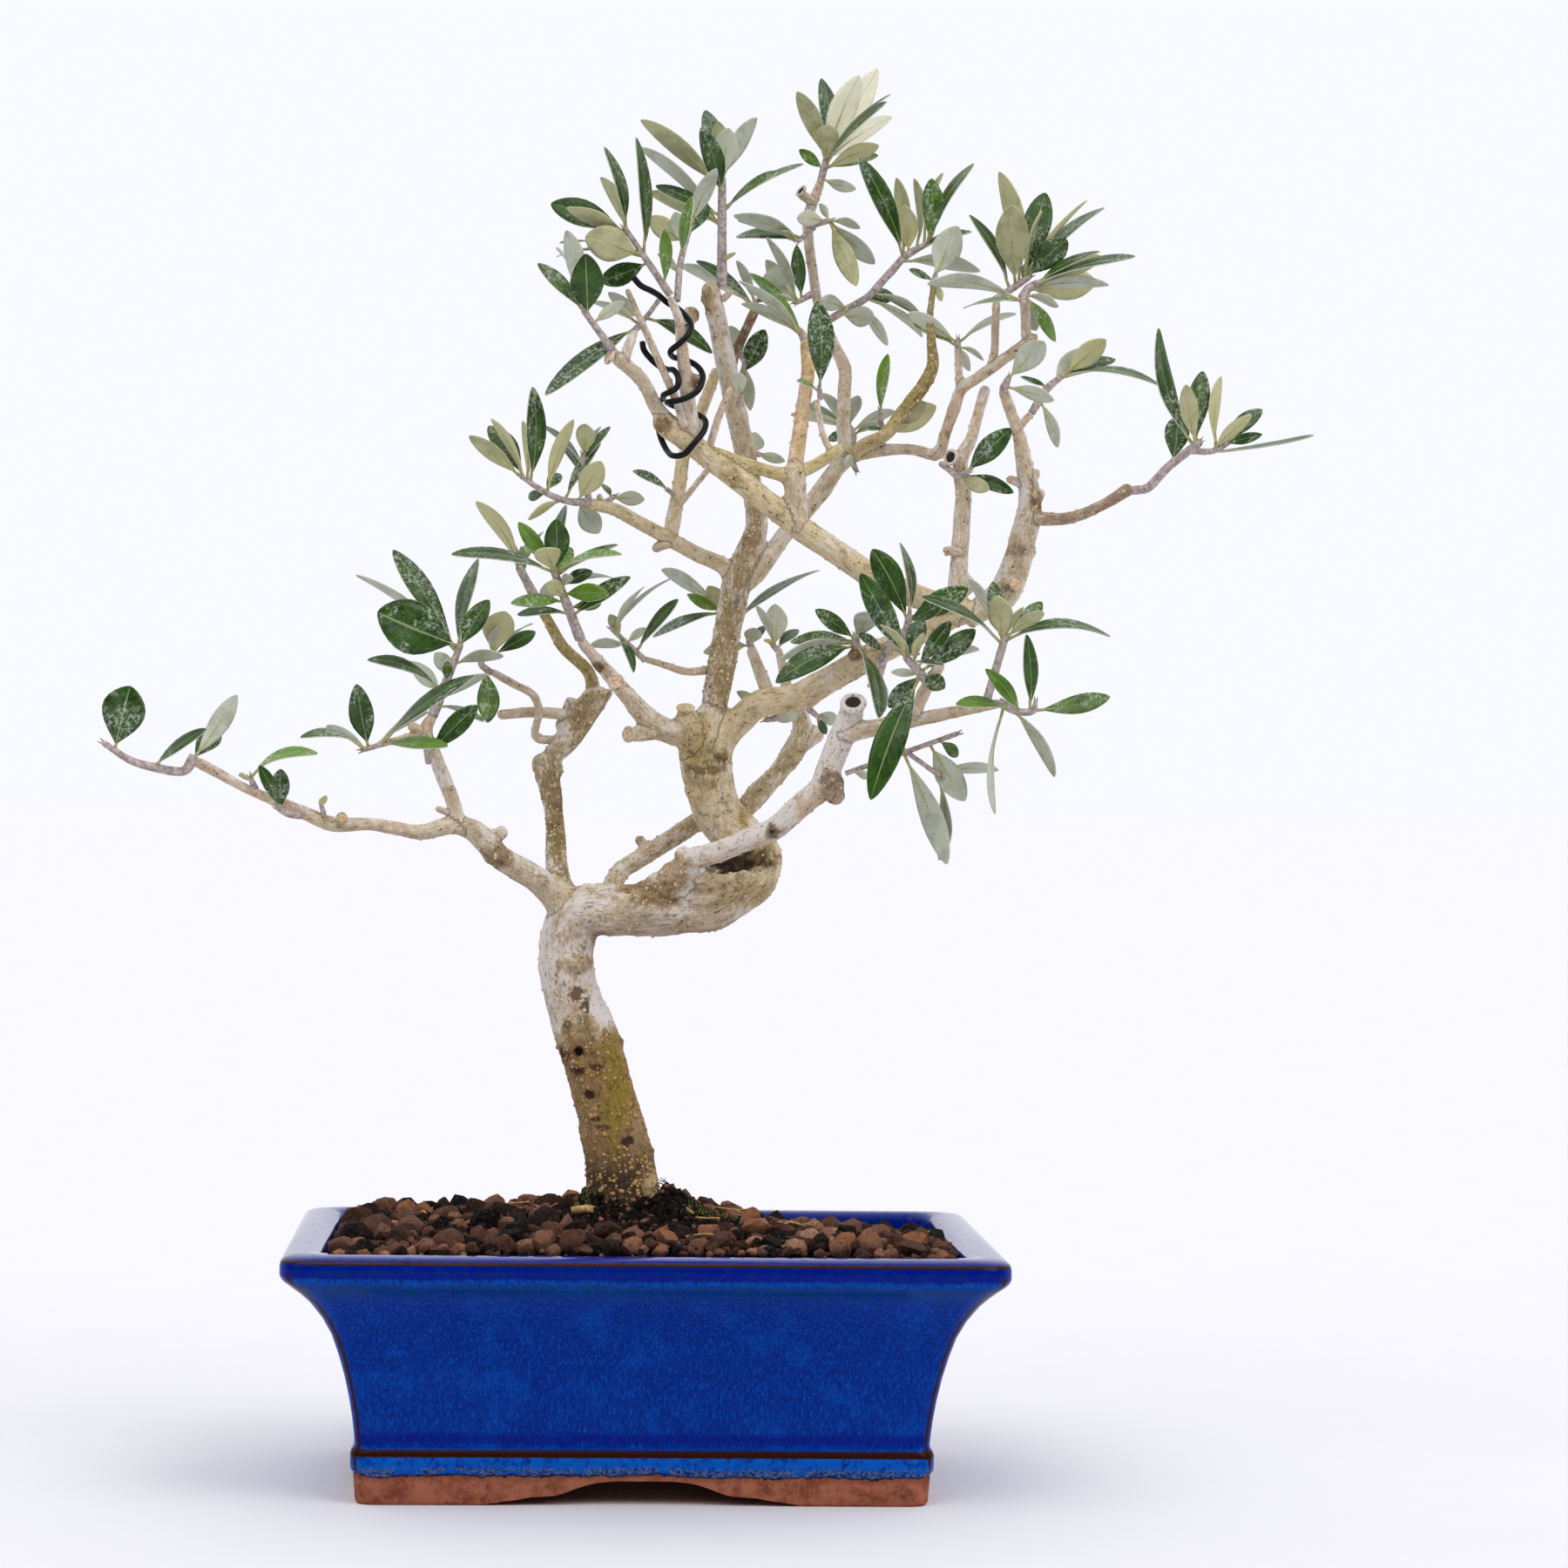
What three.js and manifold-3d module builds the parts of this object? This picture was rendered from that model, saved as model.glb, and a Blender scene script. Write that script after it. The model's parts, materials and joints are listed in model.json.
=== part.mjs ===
// Olive bonsai: a small trained olive tree with its training wire, in a glazed clay pot of soil.
// Millimetres, +Z up, +Y to the back. The shapes are laid out round the middle of the pot's footprint
// on the ground, and the group is moved so that the origin is the middle of the whole plant's box.

import * as THREE from "three";
import { mergeVertices } from "three/addons/utils/BufferGeometryUtils.js";
import Module from "manifold-3d";

const wasm = await Module();
wasm.setup();

// ---------------------------------------------------------------- driving dimensions

const GAP = 0.35; // clear space between pieces that touch

const POT_WIDTH = 225;
const POT_DEPTH = 160;
const POT_HEIGHT = 78;
const RIM_WIDTH = 13; // flat band round the mouth
const RIM_CORNER = 10; // radius of the rim's outer corners, seen from above
const RIM_CORNER_STEPS = 2;
const POT_UNDERSIDE = 7.6; // height of the clay above the ground between the feet
const POT_FLOOR = 14; // height of the floor inside
const FOOT_WALL = 10; // the feet stand in a ring this wide
const FOOT_GAP = 51; // half the space between the feet at the ground, along the long sides
const FOOT_GAP_SHORT = 26; // the same along the short sides
const DRAIN_RADIUS = 7;
const DRAIN_SPACING = 96;
const DRAIN_SIDES = 16;

// The pot's outside: height, and how far it stands in from the rim's outline.
const POT_OUTSIDE = [
  [0, 23.5], [9, 22.8], [10.5, 21.6], [17, 21.6], [19, 22.8], [27, 22], [40, 19.5], [53, 15.5],
  [64, 9], [69.5, 3], [71.5, 0.6], [73, 0], [76.8, 0], [POT_HEIGHT, 1],
];
// The pot's inside, from the floor up, and past the mouth.
const POT_INSIDE = [
  [POT_FLOOR, 31], [18, 29.5], [40, 27], [54, 23], [66, 15.8], [76.6, RIM_WIDTH + 0.4],
  [POT_HEIGHT + 2, RIM_WIDTH],
];

const MESH_SIZE = 25; // plastic drain mesh: side, thickness, strand and opening
const MESH_THICKNESS = 1.4;
const MESH_HOLES = 3;
const MESH_STRAND = 2;

const SOIL_EDGE = 76; // height of the soil along the pot's wall
const SOIL_DOME = 7;
const MOUND_HEIGHT = 5; // earth drawn up round the foot of the trunk
const MOUND_RADIUS = 17;
const GRAIN_STEP = 16; // spacing of the clay grains
const GRAIN_RELIEF = 3.2;

const TRUNK_SIDES = 10;
const LIMB_SIDES = 6;
const TWIG_SIDES = 5;
const LIMB_RADIUS = 3.4; // a branch this thick at its base is made with a limb's sides
const STEM_SIDES = 4;
const BLADE = 0.7; // thickness of a leaf
const LONG_LEAF = 30; // a leaf over this length has its outline measured at one more place

const WIRE_RADIUS = 1;
const WIRE_SIDES = 6;

// ---------------------------------------------------------------- the tree, by hand
// Every row of the trunk and branches is a point on the middle line: x, y, z and radius.

const TRUNK = [
  [-4, 0, 72.5, 13.6], [-4.5, 0, 80, 13.3], [-6, 0, 87, 12.2], [-7, 0, 100.5, 11.2],
  [-11, 0, 116.5, 10.2], [-14.5, 0, 128.5, 9.9], [-18, 0, 140.5, 10.3], [-22.5, 0, 152, 9.3],
  [-25.5, 0, 164, 9], [-25, 0, 174.5, 9], [-21, -2, 182, 8.7], [-10, -5, 183, 8.4], [5, -7, 183.5, 8.7],
  [20.5, -6, 186, 9.3], [32.5, -1, 193, 8.8], [36, 7, 200.5, 8.2], [30.5, 15, 207, 8],
  [24, 19, 214.5, 8], [20.5, 19, 225.5, 8.3], [19, 18, 238.5, 8.6], [20, 18, 243.5, 6.6],
];

// Branches start inside what they grow from and end where they were pruned, or where a leafy shoot goes on.
const BRANCHES = {
  knuckle_stub: [[16.5, 16, 235.5, 4.9], [13.5, 14, 242, 4], [12.5, 13, 247.5, 3]],
  left_branch: [
    [-24.5, 0, 181.5, 6.2], [-28.5, -1, 187, 5.6], [-36, -4, 193, 4.2], [-47, -12, 199.5, 3.9],
    [-55.5, -17, 208, 3.6], [-62, -20, 210, 3.1], [-72.5, -24, 207.5, 2.4], [-88, -31, 210, 2.1],
    [-100.5, -35, 210, 2.5], [-126, -42, 220.5, 1.6], [-141, -44, 228.5, 1.9],
  ],
  left_branch_side: [
    [-60.5, -20, 208.5, 2.8], [-62.5, -20, 217.5, 2.5], [-71.5, -20, 239.5, 2.4],
    [-69.5, -19, 244.5, 1.7],
  ],
  left_side_knob: [[-71.5, -20, 239, 1.8], [-75.5, -22, 241, 1.7]],
  left_side_twig: [[-71.5, -20, 238, 1.3], [-76.5, -22, 238, 1.1], [-81.5, -25, 236.5, 1]],
  left_spur: [[-62.5, -20, 213.5, 1.3], [-67, -22, 215, 1.1]],
  upright_left: [
    [-23, 0, 184, 4.8], [-27.5, 3, 190, 4.1], [-29, 8, 196.5, 3.8], [-29.5, 14, 207, 3.3],
    [-30.5, 18, 217, 3.1], [-32, 21, 225.5, 3.9], [-31, 23, 232, 3.4], [-26, 26, 238.5, 4.3],
    [-17, 28, 252, 4.5],
  ],
  upright_left_olive: [
    [-17.5, 28, 250.5, 2.5], [-19, 29, 260, 2.2], [-28, 30, 269, 2], [-36.5, 30, 283.5, 1.7],
  ],
  upright_left_rod: [[-26.5, 26, 246.5, 1.9], [-37.5, 23, 247, 1.9], [-47.5, 19, 246, 1.7]],
  upright_left_twig: [
    [-28.5, 26, 238, 1.4], [-36.5, 21, 239, 1.4], [-35.5, 18, 247.5, 1.4], [-37.5, 16, 252.5, 1.4],
    [-50.5, 11, 259.5, 1.3],
  ],
  knuckle_left: [
    [16.5, 18, 239.5, 4.3], [9.5, 14, 240.5, 4], [4, 9, 242.5, 4], [-2, 5, 247, 3.4],
    [-22, -9, 269, 1.8],
  ],
  knuckle_left_cut: [[2.5, 8, 241.5, 3.4], [-4.5, 4, 240, 2.6]],
  behind_branch: [
    [-14.5, 4, 183.5, 3.7], [-8, 14, 195.5, 3.1], [17.5, 33, 211.5, 3.2], [33, 40, 216, 3.5],
    [45, 45, 228.5, 3.4], [50.5, 46, 236.5, 3.9], [53, 47, 243, 3.5], [51.5, 47, 249, 2.9],
  ],
  behind_knob: [[50.5, 46, 237, 3.5], [57.5, 48, 241.5, 3.2]],
  front_branch: [
    [9, -12, 191, 4.8], [12.5, -19, 199, 3.8], [23, -26, 203, 3.5], [39.5, -32, 210.5, 3.7],
    [53.5, -38, 223.5, 4], [60.5, -42, 242, 4.2], [62.5, -44, 248, 3.7],
  ],
  front_side: [[60, -43, 240.5, 3], [107, -56, 250.5, 1.6]],
  front_side_twig: [[82, -50, 246, 1.9], [84, -50, 252.5, 2], [89, -52, 262, 1.9]],
  leader: [
    [20, 18, 235.5, 4.9], [21.5, 18, 247.5, 4.4], [29, 20, 292, 4.7], [35, 21, 307.5, 3.7],
    [35, 22, 314.5, 3.6], [31.5, 20, 330.5, 3.6], [23.5, 11, 363.5, 3.4], [18.5, 8, 385, 3.1],
  ],
  leader_twig: [[22.5, 20, 262, 1.6], [12.5, 17, 261, 1.4], [-0.5, 12, 264.5, 1.1]],
  leader_bud: [[22, 8, 382, 1.4], [25, 7, 384.5, 1]],
  right_fork: [
    [29.5, 20, 288.5, 3.2], [35.5, 21, 293.5, 2.9], [44, 24, 306, 2.9], [57, 26, 322, 3.2],
    [62, 24, 329.5, 2.9], [66, 22, 333, 2.9], [77, 19, 335, 2.1], [86.5, 16, 335, 1.9],
    [94, 14, 333.5, 2], [101, 9, 354.5, 2], [123.5, 2, 371, 2],
  ],
  fork_stub: [
    [64.5, 22, 334, 2.6], [63.5, 23, 343, 2.4], [64, 26, 362, 2.2], [57, 28, 377.5, 1.7],
    [54.5, 30, 386.5, 1.7], [52, 32, 403, 1.7], [51.5, 32, 412.5, 1.9], [55, 33, 423.5, 1.6],
  ],
  top_knob: [[54, 32, 417.5, 1.7], [49.5, 31, 420, 1.7]],
  fork_twig_a: [[100.5, 9, 353.5, 1.3], [100, 12, 367.5, 1.3]],
  fork_twig_b: [[121.5, 3, 370, 1.7], [120.5, 0, 383, 1.7]],
  fork_twig_c: [[110, 6, 360.5, 1.6], [111.5, 7, 366.5, 1.4], [112, 8, 382.5, 1.4]],
  olive_shoot: [
    [66.5, 20, 333, 2.3], [69.5, 16, 336, 2.3], [76.5, 10, 339.5, 2.3], [88.5, 9, 355.5, 2.3],
    [91.5, 9, 362, 2.1], [90.5, 10, 378.5, 1.1], [91.5, 10, 388, 1.1],
  ],
  right_limb: [
    [21, 18, 230, 6.3], [25, 18, 239, 4.9], [30, 16, 245, 4.7], [36.5, 12, 250.5, 4.6],
    [49, 8, 253, 4.7], [72, 1, 266.5, 4.2], [83, 0, 272, 4], [101, -4, 281.5, 4.2],
  ],
  limb_twig_a: [[46, 12, 253.5, 2.1], [43, 16, 267.5, 1.3]],
  limb_twig_b: [[40, 16, 253, 2.4], [34.5, 24, 268, 1.9]],
  limb_spur: [[67.5, 2, 261.5, 2.8], [67.5, 0, 268, 2.5]],
  diagonal: [
    [103, -4, 280, 3.7], [79, -4, 288.5, 3.9], [69.5, -5, 293.5, 4.1], [48.5, -5, 307, 4.1],
    [25.5, -8, 324, 3.7], [3.5, -8, 340, 3.8],
  ],
  upright_centre: [[47, -6, 308, 3.4], [45.5, -8, 324.5, 3.7]],
  hub_left: [[45.5, -8, 323.5, 2.8], [36.5, -8, 325.5, 2.2], [19, -8, 331, 2.1]],
  hub_right: [[45.5, -8, 324.5, 2.5], [53, -7, 328, 2.1], [60, -4, 333, 2]],
  hub_stem: [[45.5, -7, 324.5, 2.8], [50.5, 6, 359, 2.3], [50, 10, 368.5, 2.1]],
  hub_thin: [[57.5, -5, 332, 1.1], [55, -3, 338, 1.1], [53, 0, 348.5, 1.1]],
  peel_twig: [[17.5, -8, 330.5, 1.4], [21, -3, 342.5, 1.3], [25, 4, 352.5, 1.1]],
  upright_right: [
    [99, -4, 282, 3.4], [101.5, 2, 320, 2.7], [100.5, 3, 330.5, 2.5], [104, 4, 338, 2],
    [109, 12, 354.5, 1.9],
  ],
  upright_right_stub: [[100, -3, 300.5, 1.7], [95.5, -6, 301, 1.4]],
  outer_right: [
    [102, -4, 278.5, 3.4], [114, -4, 287, 5.1], [118, -5, 296, 4.8], [122, -8, 313.5, 3.9],
    [121.5, -9, 321.5, 3.4], [117.5, -14, 338, 2.2], [112, -18, 351.5, 1.8],
  ],
  outer_right_knob_a: [[122, -9, 313, 2.2], [125, -11, 319.5, 1.7]],
  outer_right_knob_b: [[121, -10, 321, 2], [123.5, -12, 326, 1.5]],
  outer_right_knob_c: [[120, -10, 322.5, 1.8], [115.5, -9, 324, 1.4]],
  outer_right_fork: [[117, -14, 340, 1.4], [121, -12, 344.5, 1.3]],
  outer_right_side: [
    [122.5, -9, 311.5, 2.5], [134, -15, 311.5, 2], [144, -21, 315.5, 1.8], [151, -26, 320, 2.2],
  ],
  crown_left_branch: [
    [28, 20, 291, 3.2], [25, 20, 295.5, 2.9], [15.5, 16, 299.5, 2.7], [-11.5, 1, 312.5, 2.1],
    [-19.5, -3, 314, 2.1],
  ],
  crown_left_knob: [[6.5, 11, 303.5, 2.3], [2, 9, 301, 1.7]],
  crown_left_shoot: [
    [6.5, 12, 304.5, 2.6], [9.5, 22, 321.5, 2.4], [11, 26, 332, 2.2], [21.5, 32, 360.5, 1.9],
  ],
  crown_left_twig: [[9.5, 17, 315.5, 1.1], [18.5, 13, 327, 1.1]],
  crown_left_up: [[-15.5, -1, 313, 1.4], [-17, -2, 316.5, 1.1]],
  wired_stem: [[12, -8, 336.5, 3.4], [11.5, -9, 343, 2.7], [7.5, -11, 373.5, 1.7], [5, -11, 379.5, 1.4]],
  wired_thin: [[10, -11, 338.5, 1.5], [7, -11, 347.5, 1.4], [-9, -11, 382, 1]],
  crown_left_arm: [
    [5.5, -8, 339, 2.8], [0.5, -9, 345.5, 2.4], [-4, -14, 353, 2.4], [-12, -20, 359.5, 2.4],
  ],
  crown_left_arm_twig: [[-10, -19, 359, 1.8], [-8.5, -18, 364, 1.7], [-7, -14, 368, 1.4]],
  dark_stem: [[25.5, 13, 359, 1.9], [27, 16, 365.5, 1.7], [33.5, 24, 380, 1.6]],
};

// Leafy shoots. A stem's rows are x, y, z and radius. A leaf's row is its root on the stem (x, y, z), its
// tip (x, y, z), its width, its turn and its bend. At turn 0 the upper face looks to the front, at 90 up and
// at 180 to the back. The bend is how far the middle is arched towards the upper face.
const SPRAYS = {
  left_tip: {
    stems: [
      [
        [-143, -44, 229.5, 1.8], [-145.5, -45, 226, 1.5], [-155, -46, 227, 1.4], [-162, -46, 229, 1.2],
        [-170, -46, 234, 1],
      ],
    ],
    leaves: [
      [-167, -46, 232, -162, -50, 252, 14, 10, 1.5], [-155, -46, 227, -138, -56, 239, 6, 55, 1.5],
      [-143, -44, 230, -130, -38, 250, 6.5, 170, 1.5], [-143, -44, 229, -136, -31, 239, 7, 10, 1],
    ],
  },
  left_branch_a: {
    stems: [[[-124, -42, 221.5, 1.1], [-125, -44, 224, 0.8]]],
    leaves: [
      [-125, -44, 224, -104, -50, 232, 6.5, 60, 4.5], [-125, -43, 223, -129, -39, 225, 3, 115, 0.5],
    ],
  },
  left_branch_b: {
    stems: [[[-110.5, -42, 212.5, 1.1], [-113.5, -45, 213, 1], [-116, -46, 214.5, 0.8]]],
    leaves: [
      [-115, -46, 214, -122, -51, 228, 4.5, 25, 1], [-115, -46, 214, -116, -40, 227, 6, 10, 1],
    ],
  },
  left_sprout: {
    stems: [[[-102.5, -37, 213, 0.8], [-103, -38, 215, 0.8]]],
    leaves: [
      [-103, -38, 215, -102, -40, 219, 3, 140, 0.5],
    ],
  },
  left_low: {
    stems: [[[-83, -26, 236, 1], [-90.5, -28, 233.5, 0.8]]],
    leaves: [
      [-89, -28, 234, -93, -35, 254, 8, 10, 1.5], [-90, -28, 233, -110, -40, 237, 6.5, 70, 3.5],
      [-90, -28, 234, -103, -18, 241, 5, 120, 1.5], [-85, -27, 235, -56, -43, 257, 8.5, 60, 3],
      [-85, -27, 235, -64, -37, 235, 6.5, 55, 1.5], [-87, -27, 235, -71, -13, 246, 6.5, 110, 1.5],
    ],
  },
  left_mid: {
    stems: [[[-70.5, -25, 230.5, 1], [-71, -29, 233, 0.8]]],
    leaves: [
      [-71, -27, 232, -55, -31, 248, 7, 10, 1.5],
    ],
  },
  left_heart: {
    stems: [[[-69, -19, 245.5, 1.7], [-61, -18, 267, 1.1]]],
    leaves: [
      [-61, -18, 267, -87, -28, 277, 17.5, 10, 2], [-62, -18, 265, -83, -6, 298, 8.5, 35, 3],
      [-62, -18, 265, -95, -1, 290, 8.5, 105, 3], [-61, -18, 265, -56, 1, 296, 8.5, 55, 2.5],
      [-61, -18, 266, -52, -16, 282, 7, 10, 1.5], [-66, -18, 252, -90, -26, 262, 7.5, 60, 3.5],
      [-66, -18, 252, -77, -10, 262, 5.5, 170, 1], [-64, -18, 258, -69, -8, 265, 5.5, 170, 1],
      [-65, -18, 256, -65, -26, 262, 3.5, 10, 0.5], [-63, -18, 261, -47, -26, 264, 5, 140, 1.5],
      [-67, -18, 249, -52, -31, 258, 6, 130, 1.5], [-68, -19, 248, -53, -29, 243, 5, 65, 1.5],
    ],
  },
  left_heart_right: {
    stems: [[[-52, 10, 260, 1.1], [-54.5, 8, 262, 1.1], [-53.5, 5, 264, 1], [-50.5, 3, 265, 0.8]]],
    leaves: [
      [-51, 3, 265, -47, -3, 279, 10.5, 170, 1], [-51, 4, 265, -49, -5, 274, 3.5, 135, 1],
      [-50, 3, 265, -37, 9, 273, 5, 10, 1], [-52, 4, 264, -38, 17, 276, 6, 75, 1.5],
      [-53, 9, 261, -52, 0, 243, 7.5, 10, 1.5],
    ],
  },
  left_upper: {
    stems: [[[-37, 30, 284.5, 1.7], [-42.5, 28, 294.5, 1.3]]],
    leaves: [
      [-42, 28, 294, -57, 22, 316, 7.5, 130, 2], [-42, 28, 295, -47, 36, 306, 4, 60, 1],
      [-41, 29, 292, -42, 31, 302, 3, 25, 0.5], [-42, 28, 293, -35, 50, 308, 7.5, 55, 2],
    ],
  },
  front_left: {
    stems: [[[-23, -10, 271, 1.7], [-31.5, -13, 292, 1.3]]],
    leaves: [
      [-31, -13, 291, -34, -35, 298, 8.5, 170, 1.5], [-31, -13, 291, -31, -19, 308, 8.5, 10, 1.5],
      [-32, -13, 292, -43, -15, 307, 5.5, 15, 1.5], [-32, -13, 291, -64, -23, 296, 8.5, 60, 2.5],
      [-31, -13, 291, -10, -22, 297, 6.5, 65, 3], [-31, -13, 290, -11, -7, 301, 6.5, 65, 1.5],
      [-31, -13, 289, -26, -3, 300, 5, 10, 1], [-31, -13, 290, -35, -5, 281, 5, 170, 1],
      [-28, -12, 283, -33, -20, 288, 5.5, 170, 0.5], [-30, -12, 286, -26, -22, 290, 3.5, 170, 1],
      [-28, -11, 282, -45, -18, 281, 5, 30, 1.5], [-27, -11, 278, -43, -4, 278, 5, 50, 1.5],
      [-29, -12, 284, -14, -24, 284, 6, 10, 1.5], [-30, -12, 287, -12, 10, 291, 7.5, 70, 2],
      [-30, -12, 287, -19, -10, 292, 4.5, 10, 1], [-27, -11, 280, -16, -6, 282, 4, 10, 1],
      [-26, -11, 277, -7, -18, 290, 6.5, 35, 1.5], [-31, -13, 290, -28, 4, 314, 8, 50, 2],
    ],
  },
  centre_left: {
    stems: [[[-2, 11, 265, 1.1], [-12, 8, 274, 0.8]]],
    leaves: [
      [-4, 10, 267, 9, 2, 284, 6, 55, 1.5], [-12, 8, 274, 8, 19, 292, 8, 75, 2],
      [-11, 8, 274, -2, -1, 288, 5.5, 110, 1.5], [-12, 8, 274, -5, 1, 260, 4.5, 55, 2],
      [-9, 9, 272, -13, 7, 279, 4, 170, 0.5], [-7, 9, 270, -1, 16, 275, 3, 170, 0.5],
      [-7, 9, 269, -19, 21, 269, 5, 125, 1],
    ],
  },
  behind_leader: {
    stems: [[[29, 28, 277.5, 1.2], [24.5, 35, 282, 0.9]]],
    leaves: [
      [25, 34, 282, 2, 40, 273, 7, 60, 2], [25, 35, 282, 5, 49, 296, 7.5, 120, 2],
      [25, 34, 282, 13, 32, 287, 4, 10, 1], [26, 33, 281, 20, 35, 290, 6.5, 170, 0.5],
      [29, 29, 278, 57, 35, 296, 8.5, 70, 2.5],
    ],
  },
  behind_leader_low: {
    stems: [[[34.5, 25, 269, 1.3], [33.5, 26, 271.5, 1]]],
    leaves: [
      [34, 26, 270, 35, 23, 276, 6, 170, 0.5], [34, 26, 270, 19, 38, 268, 5.5, 170, 1.5],
      [34, 26, 270, 39, 34, 277, 3, 25, 1],
    ],
  },
  limb_left: {
    stems: [[[42.5, 17, 268.5, 1.1], [41, 18, 270, 0.9]]],
    leaves: [
      [42, 17, 269, 35, 11, 283, 4.5, 130, 1], [42, 18, 270, 42, 27, 284, 7.5, 170, 1],
      [41, 18, 270, 38, 15, 272, 3, 120, 0.5], [42, 17, 269, 50, 31, 276, 4.5, 45, 1],
    ],
  },
  limb_under: {
    stems: [[[41.5, 14, 246, 1.1], [39, 17, 245.5, 0.9]]],
    leaves: [
      [40, 16, 246, 30, 30, 255, 5, 130, 1.5], [40, 16, 246, 52, 28, 250, 6, 170, 1],
    ],
  },
  limb_middle: {
    stems: [[[67, -1, 269.5, 1.7], [66.5, -2, 272.5, 1.3]]],
    leaves: [
      [67, -1, 270, 40, -17, 257, 8.5, 30, 2.5], [67, -1, 271, 42, -8, 265, 7, 130, 2],
      [67, -2, 271, 46, 8, 271, 6, 40, 1.5], [67, -1, 270, 72, -33, 246, 8.5, 50, 3],
      [67, -2, 272, 53, -8, 281, 5.5, 10, 1], [67, -2, 271, 70, -19, 280, 8, 170, 1.5],
    ],
  },
  limb_front: {
    stems: [[[72.5, -6, 257, 2], [76.5, -8, 269.5, 1.5]]],
    leaves: [
      [76, -8, 269, 87, -11, 267, 3, 150, 1], [74, -7, 262, 75, -17, 248, 4.5, 150, 1],
      [76, -8, 267, 66, -17, 273, 4, 30, 1],
    ],
  },
  front_right_low: {
    stems: [[[85, -53, 257.5, 1.6], [78.5, -55, 264.5, 1.2]]],
    leaves: [
      [79, -55, 264, 63, -64, 290, 8.5, 15, 2], [79, -55, 265, 69, -73, 274, 6, 105, 1.5],
      [79, -55, 264, 84, -49, 277, 6, 10, 1], [81, -54, 262, 83, -63, 272, 3.5, 145, 1],
      [82, -54, 261, 92, -57, 276, 5.5, 10, 1.5], [83, -54, 260, 101, -45, 274, 7, 10, 1.5],
      [80, -55, 263, 89, -64, 262, 3.5, 65, 1], [83, -54, 260, 103, -38, 268, 7, 110, 2],
      [79, -55, 265, 77, -57, 270, 3, 120, 0.5], [83, -54, 259, 67, -66, 220, 10, 10, 3],
      [83, -54, 259, 74, -45, 249, 5.5, 10, 1], [84, -53, 259, 90, -61, 255, 6, 10, 0.5],
      [83, -54, 259, 74, -52, 260, 3, 150, 0.5],
    ],
  },
  right_front_up: {
    stems: [[[104.5, -54, 253.5, 1.4], [109.5, -54, 271.5, 1.2]]],
    leaves: [
      [109, -54, 270, 106, -61, 284, 8, 170, 1], [109, -54, 270, 106, -48, 289, 6.5, 10, 1.5],
      [109, -54, 270, 99, -43, 290, 6.5, 110, 1.5], [109, -54, 271, 120, -66, 279, 5, 150, 1.5],
      [109, -54, 271, 122, -45, 283, 5.5, 10, 1.5], [109, -54, 271, 115, -54, 281, 3, 140, 1],
      [109, -54, 270, 142, -58, 272, 8.5, 65, 5], [109, -54, 269, 82, -65, 283, 8.5, 70, 3],
    ],
  },
  right_front_low: {
    stems: [
      [
        [108.5, -57, 250.5, 1.5], [113.5, -59, 248, 1.2], [118, -60, 248.5, 1.1],
        [118.5, -60, 250.5, 0.8],
      ],
    ],
    leaves: [
      [118, -60, 248, 141, -66, 253, 6.5, 25, -1.5], [117, -60, 248, 115, -64, 272, 6.5, 40, 1.5],
      [114, -59, 248, 102, -67, 261, 5, 20, 3], [111, -58, 249, 93, -67, 250, 5.5, 50, 1.5],
      [109, -57, 250, 107, -53, 216, 8.5, 105, 2.5], [112, -58, 249, 126, -52, 228, 7, 120, 2],
    ],
  },
  limb_end: {
    stems: [[[82, -15, 273, 1.7], [82.5, -18, 279, 1.1]]],
    leaves: [
      [82, -17, 277, 70, -22, 300, 9.5, 10, 2], [82, -18, 279, 80, -10, 303, 7, 60, 2],
      [82, -18, 278, 101, -22, 288, 8, 10, 1.5], [82, -17, 277, 92, -29, 282, 5, 10, 1],
    ],
  },
  dead_twig: {
    stems: [
      [[62, -42, 228.5, 0.8], [95.5, -44, 241, 0.8]],
      [[79.5, -43, 235.5, 0.8], [90, -46, 228, 0.8]],
    ],
    leaves: [
      [87, -44, 238, 98, -50, 220, 8.5, 170, 1.5], [79, -43, 235, 93, -47, 200, 8.5, 140, 2.5],
      [90, -46, 228, 92, -32, 201, 8, 110, 2], [90, -44, 239, 97, -36, 234, 4, 10, 1],
      [89, -46, 229, 110, -36, 230, 6, 125, 1.5], [63, -42, 229, 68, -46, 227, 3, 150, 0.5],
    ],
  },
  far_right: {
    stems: [
      [[153.5, -27, 320, 1.4], [157, -30, 320.5, 1.5], [163, -34, 327, 1.5], [172, -38, 334.5, 1.4]],
      [[170, -38, 332, 1.1], [176.5, -40, 332, 1], [183, -40, 336, 0.8]],
    ],
    leaves: [
      [171, -38, 333, 158, -44, 370, 8.5, 45, -3.5], [171, -38, 334, 166, -49, 352, 6, 170, 1.5],
      [171, -38, 334, 174, -32, 358, 7, 10, 1.5], [177, -40, 333, 179, -37, 356, 6.5, 125, 1.5],
      [164, -35, 328, 167, -26, 344, 8, 10, 1.5], [178, -40, 334, 193, -34, 346, 5.5, 10, 1.5],
      [176, -40, 332, 187, -49, 343, 5, 150, 1], [180, -40, 334, 191, -46, 337, 3.5, 10, 1],
      [175, -40, 332, 207, -48, 337, 8.5, 80, -1],
    ],
  },
  outer_right_b: {
    stems: [[[122.5, -11, 346.5, 1.3], [127, -8, 353.5, 1.3], [134, -5, 359.5, 0.8]]],
    leaves: [
      [131, -6, 358, 163, -14, 355, 8.5, 75, 4], [133, -5, 359, 146, -9, 370, 7.5, 170, 1],
      [132, -6, 358, 151, 4, 365, 6, 45, 1.5], [129, -7, 356, 142, 1, 368, 7, 170, 1.5],
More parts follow.
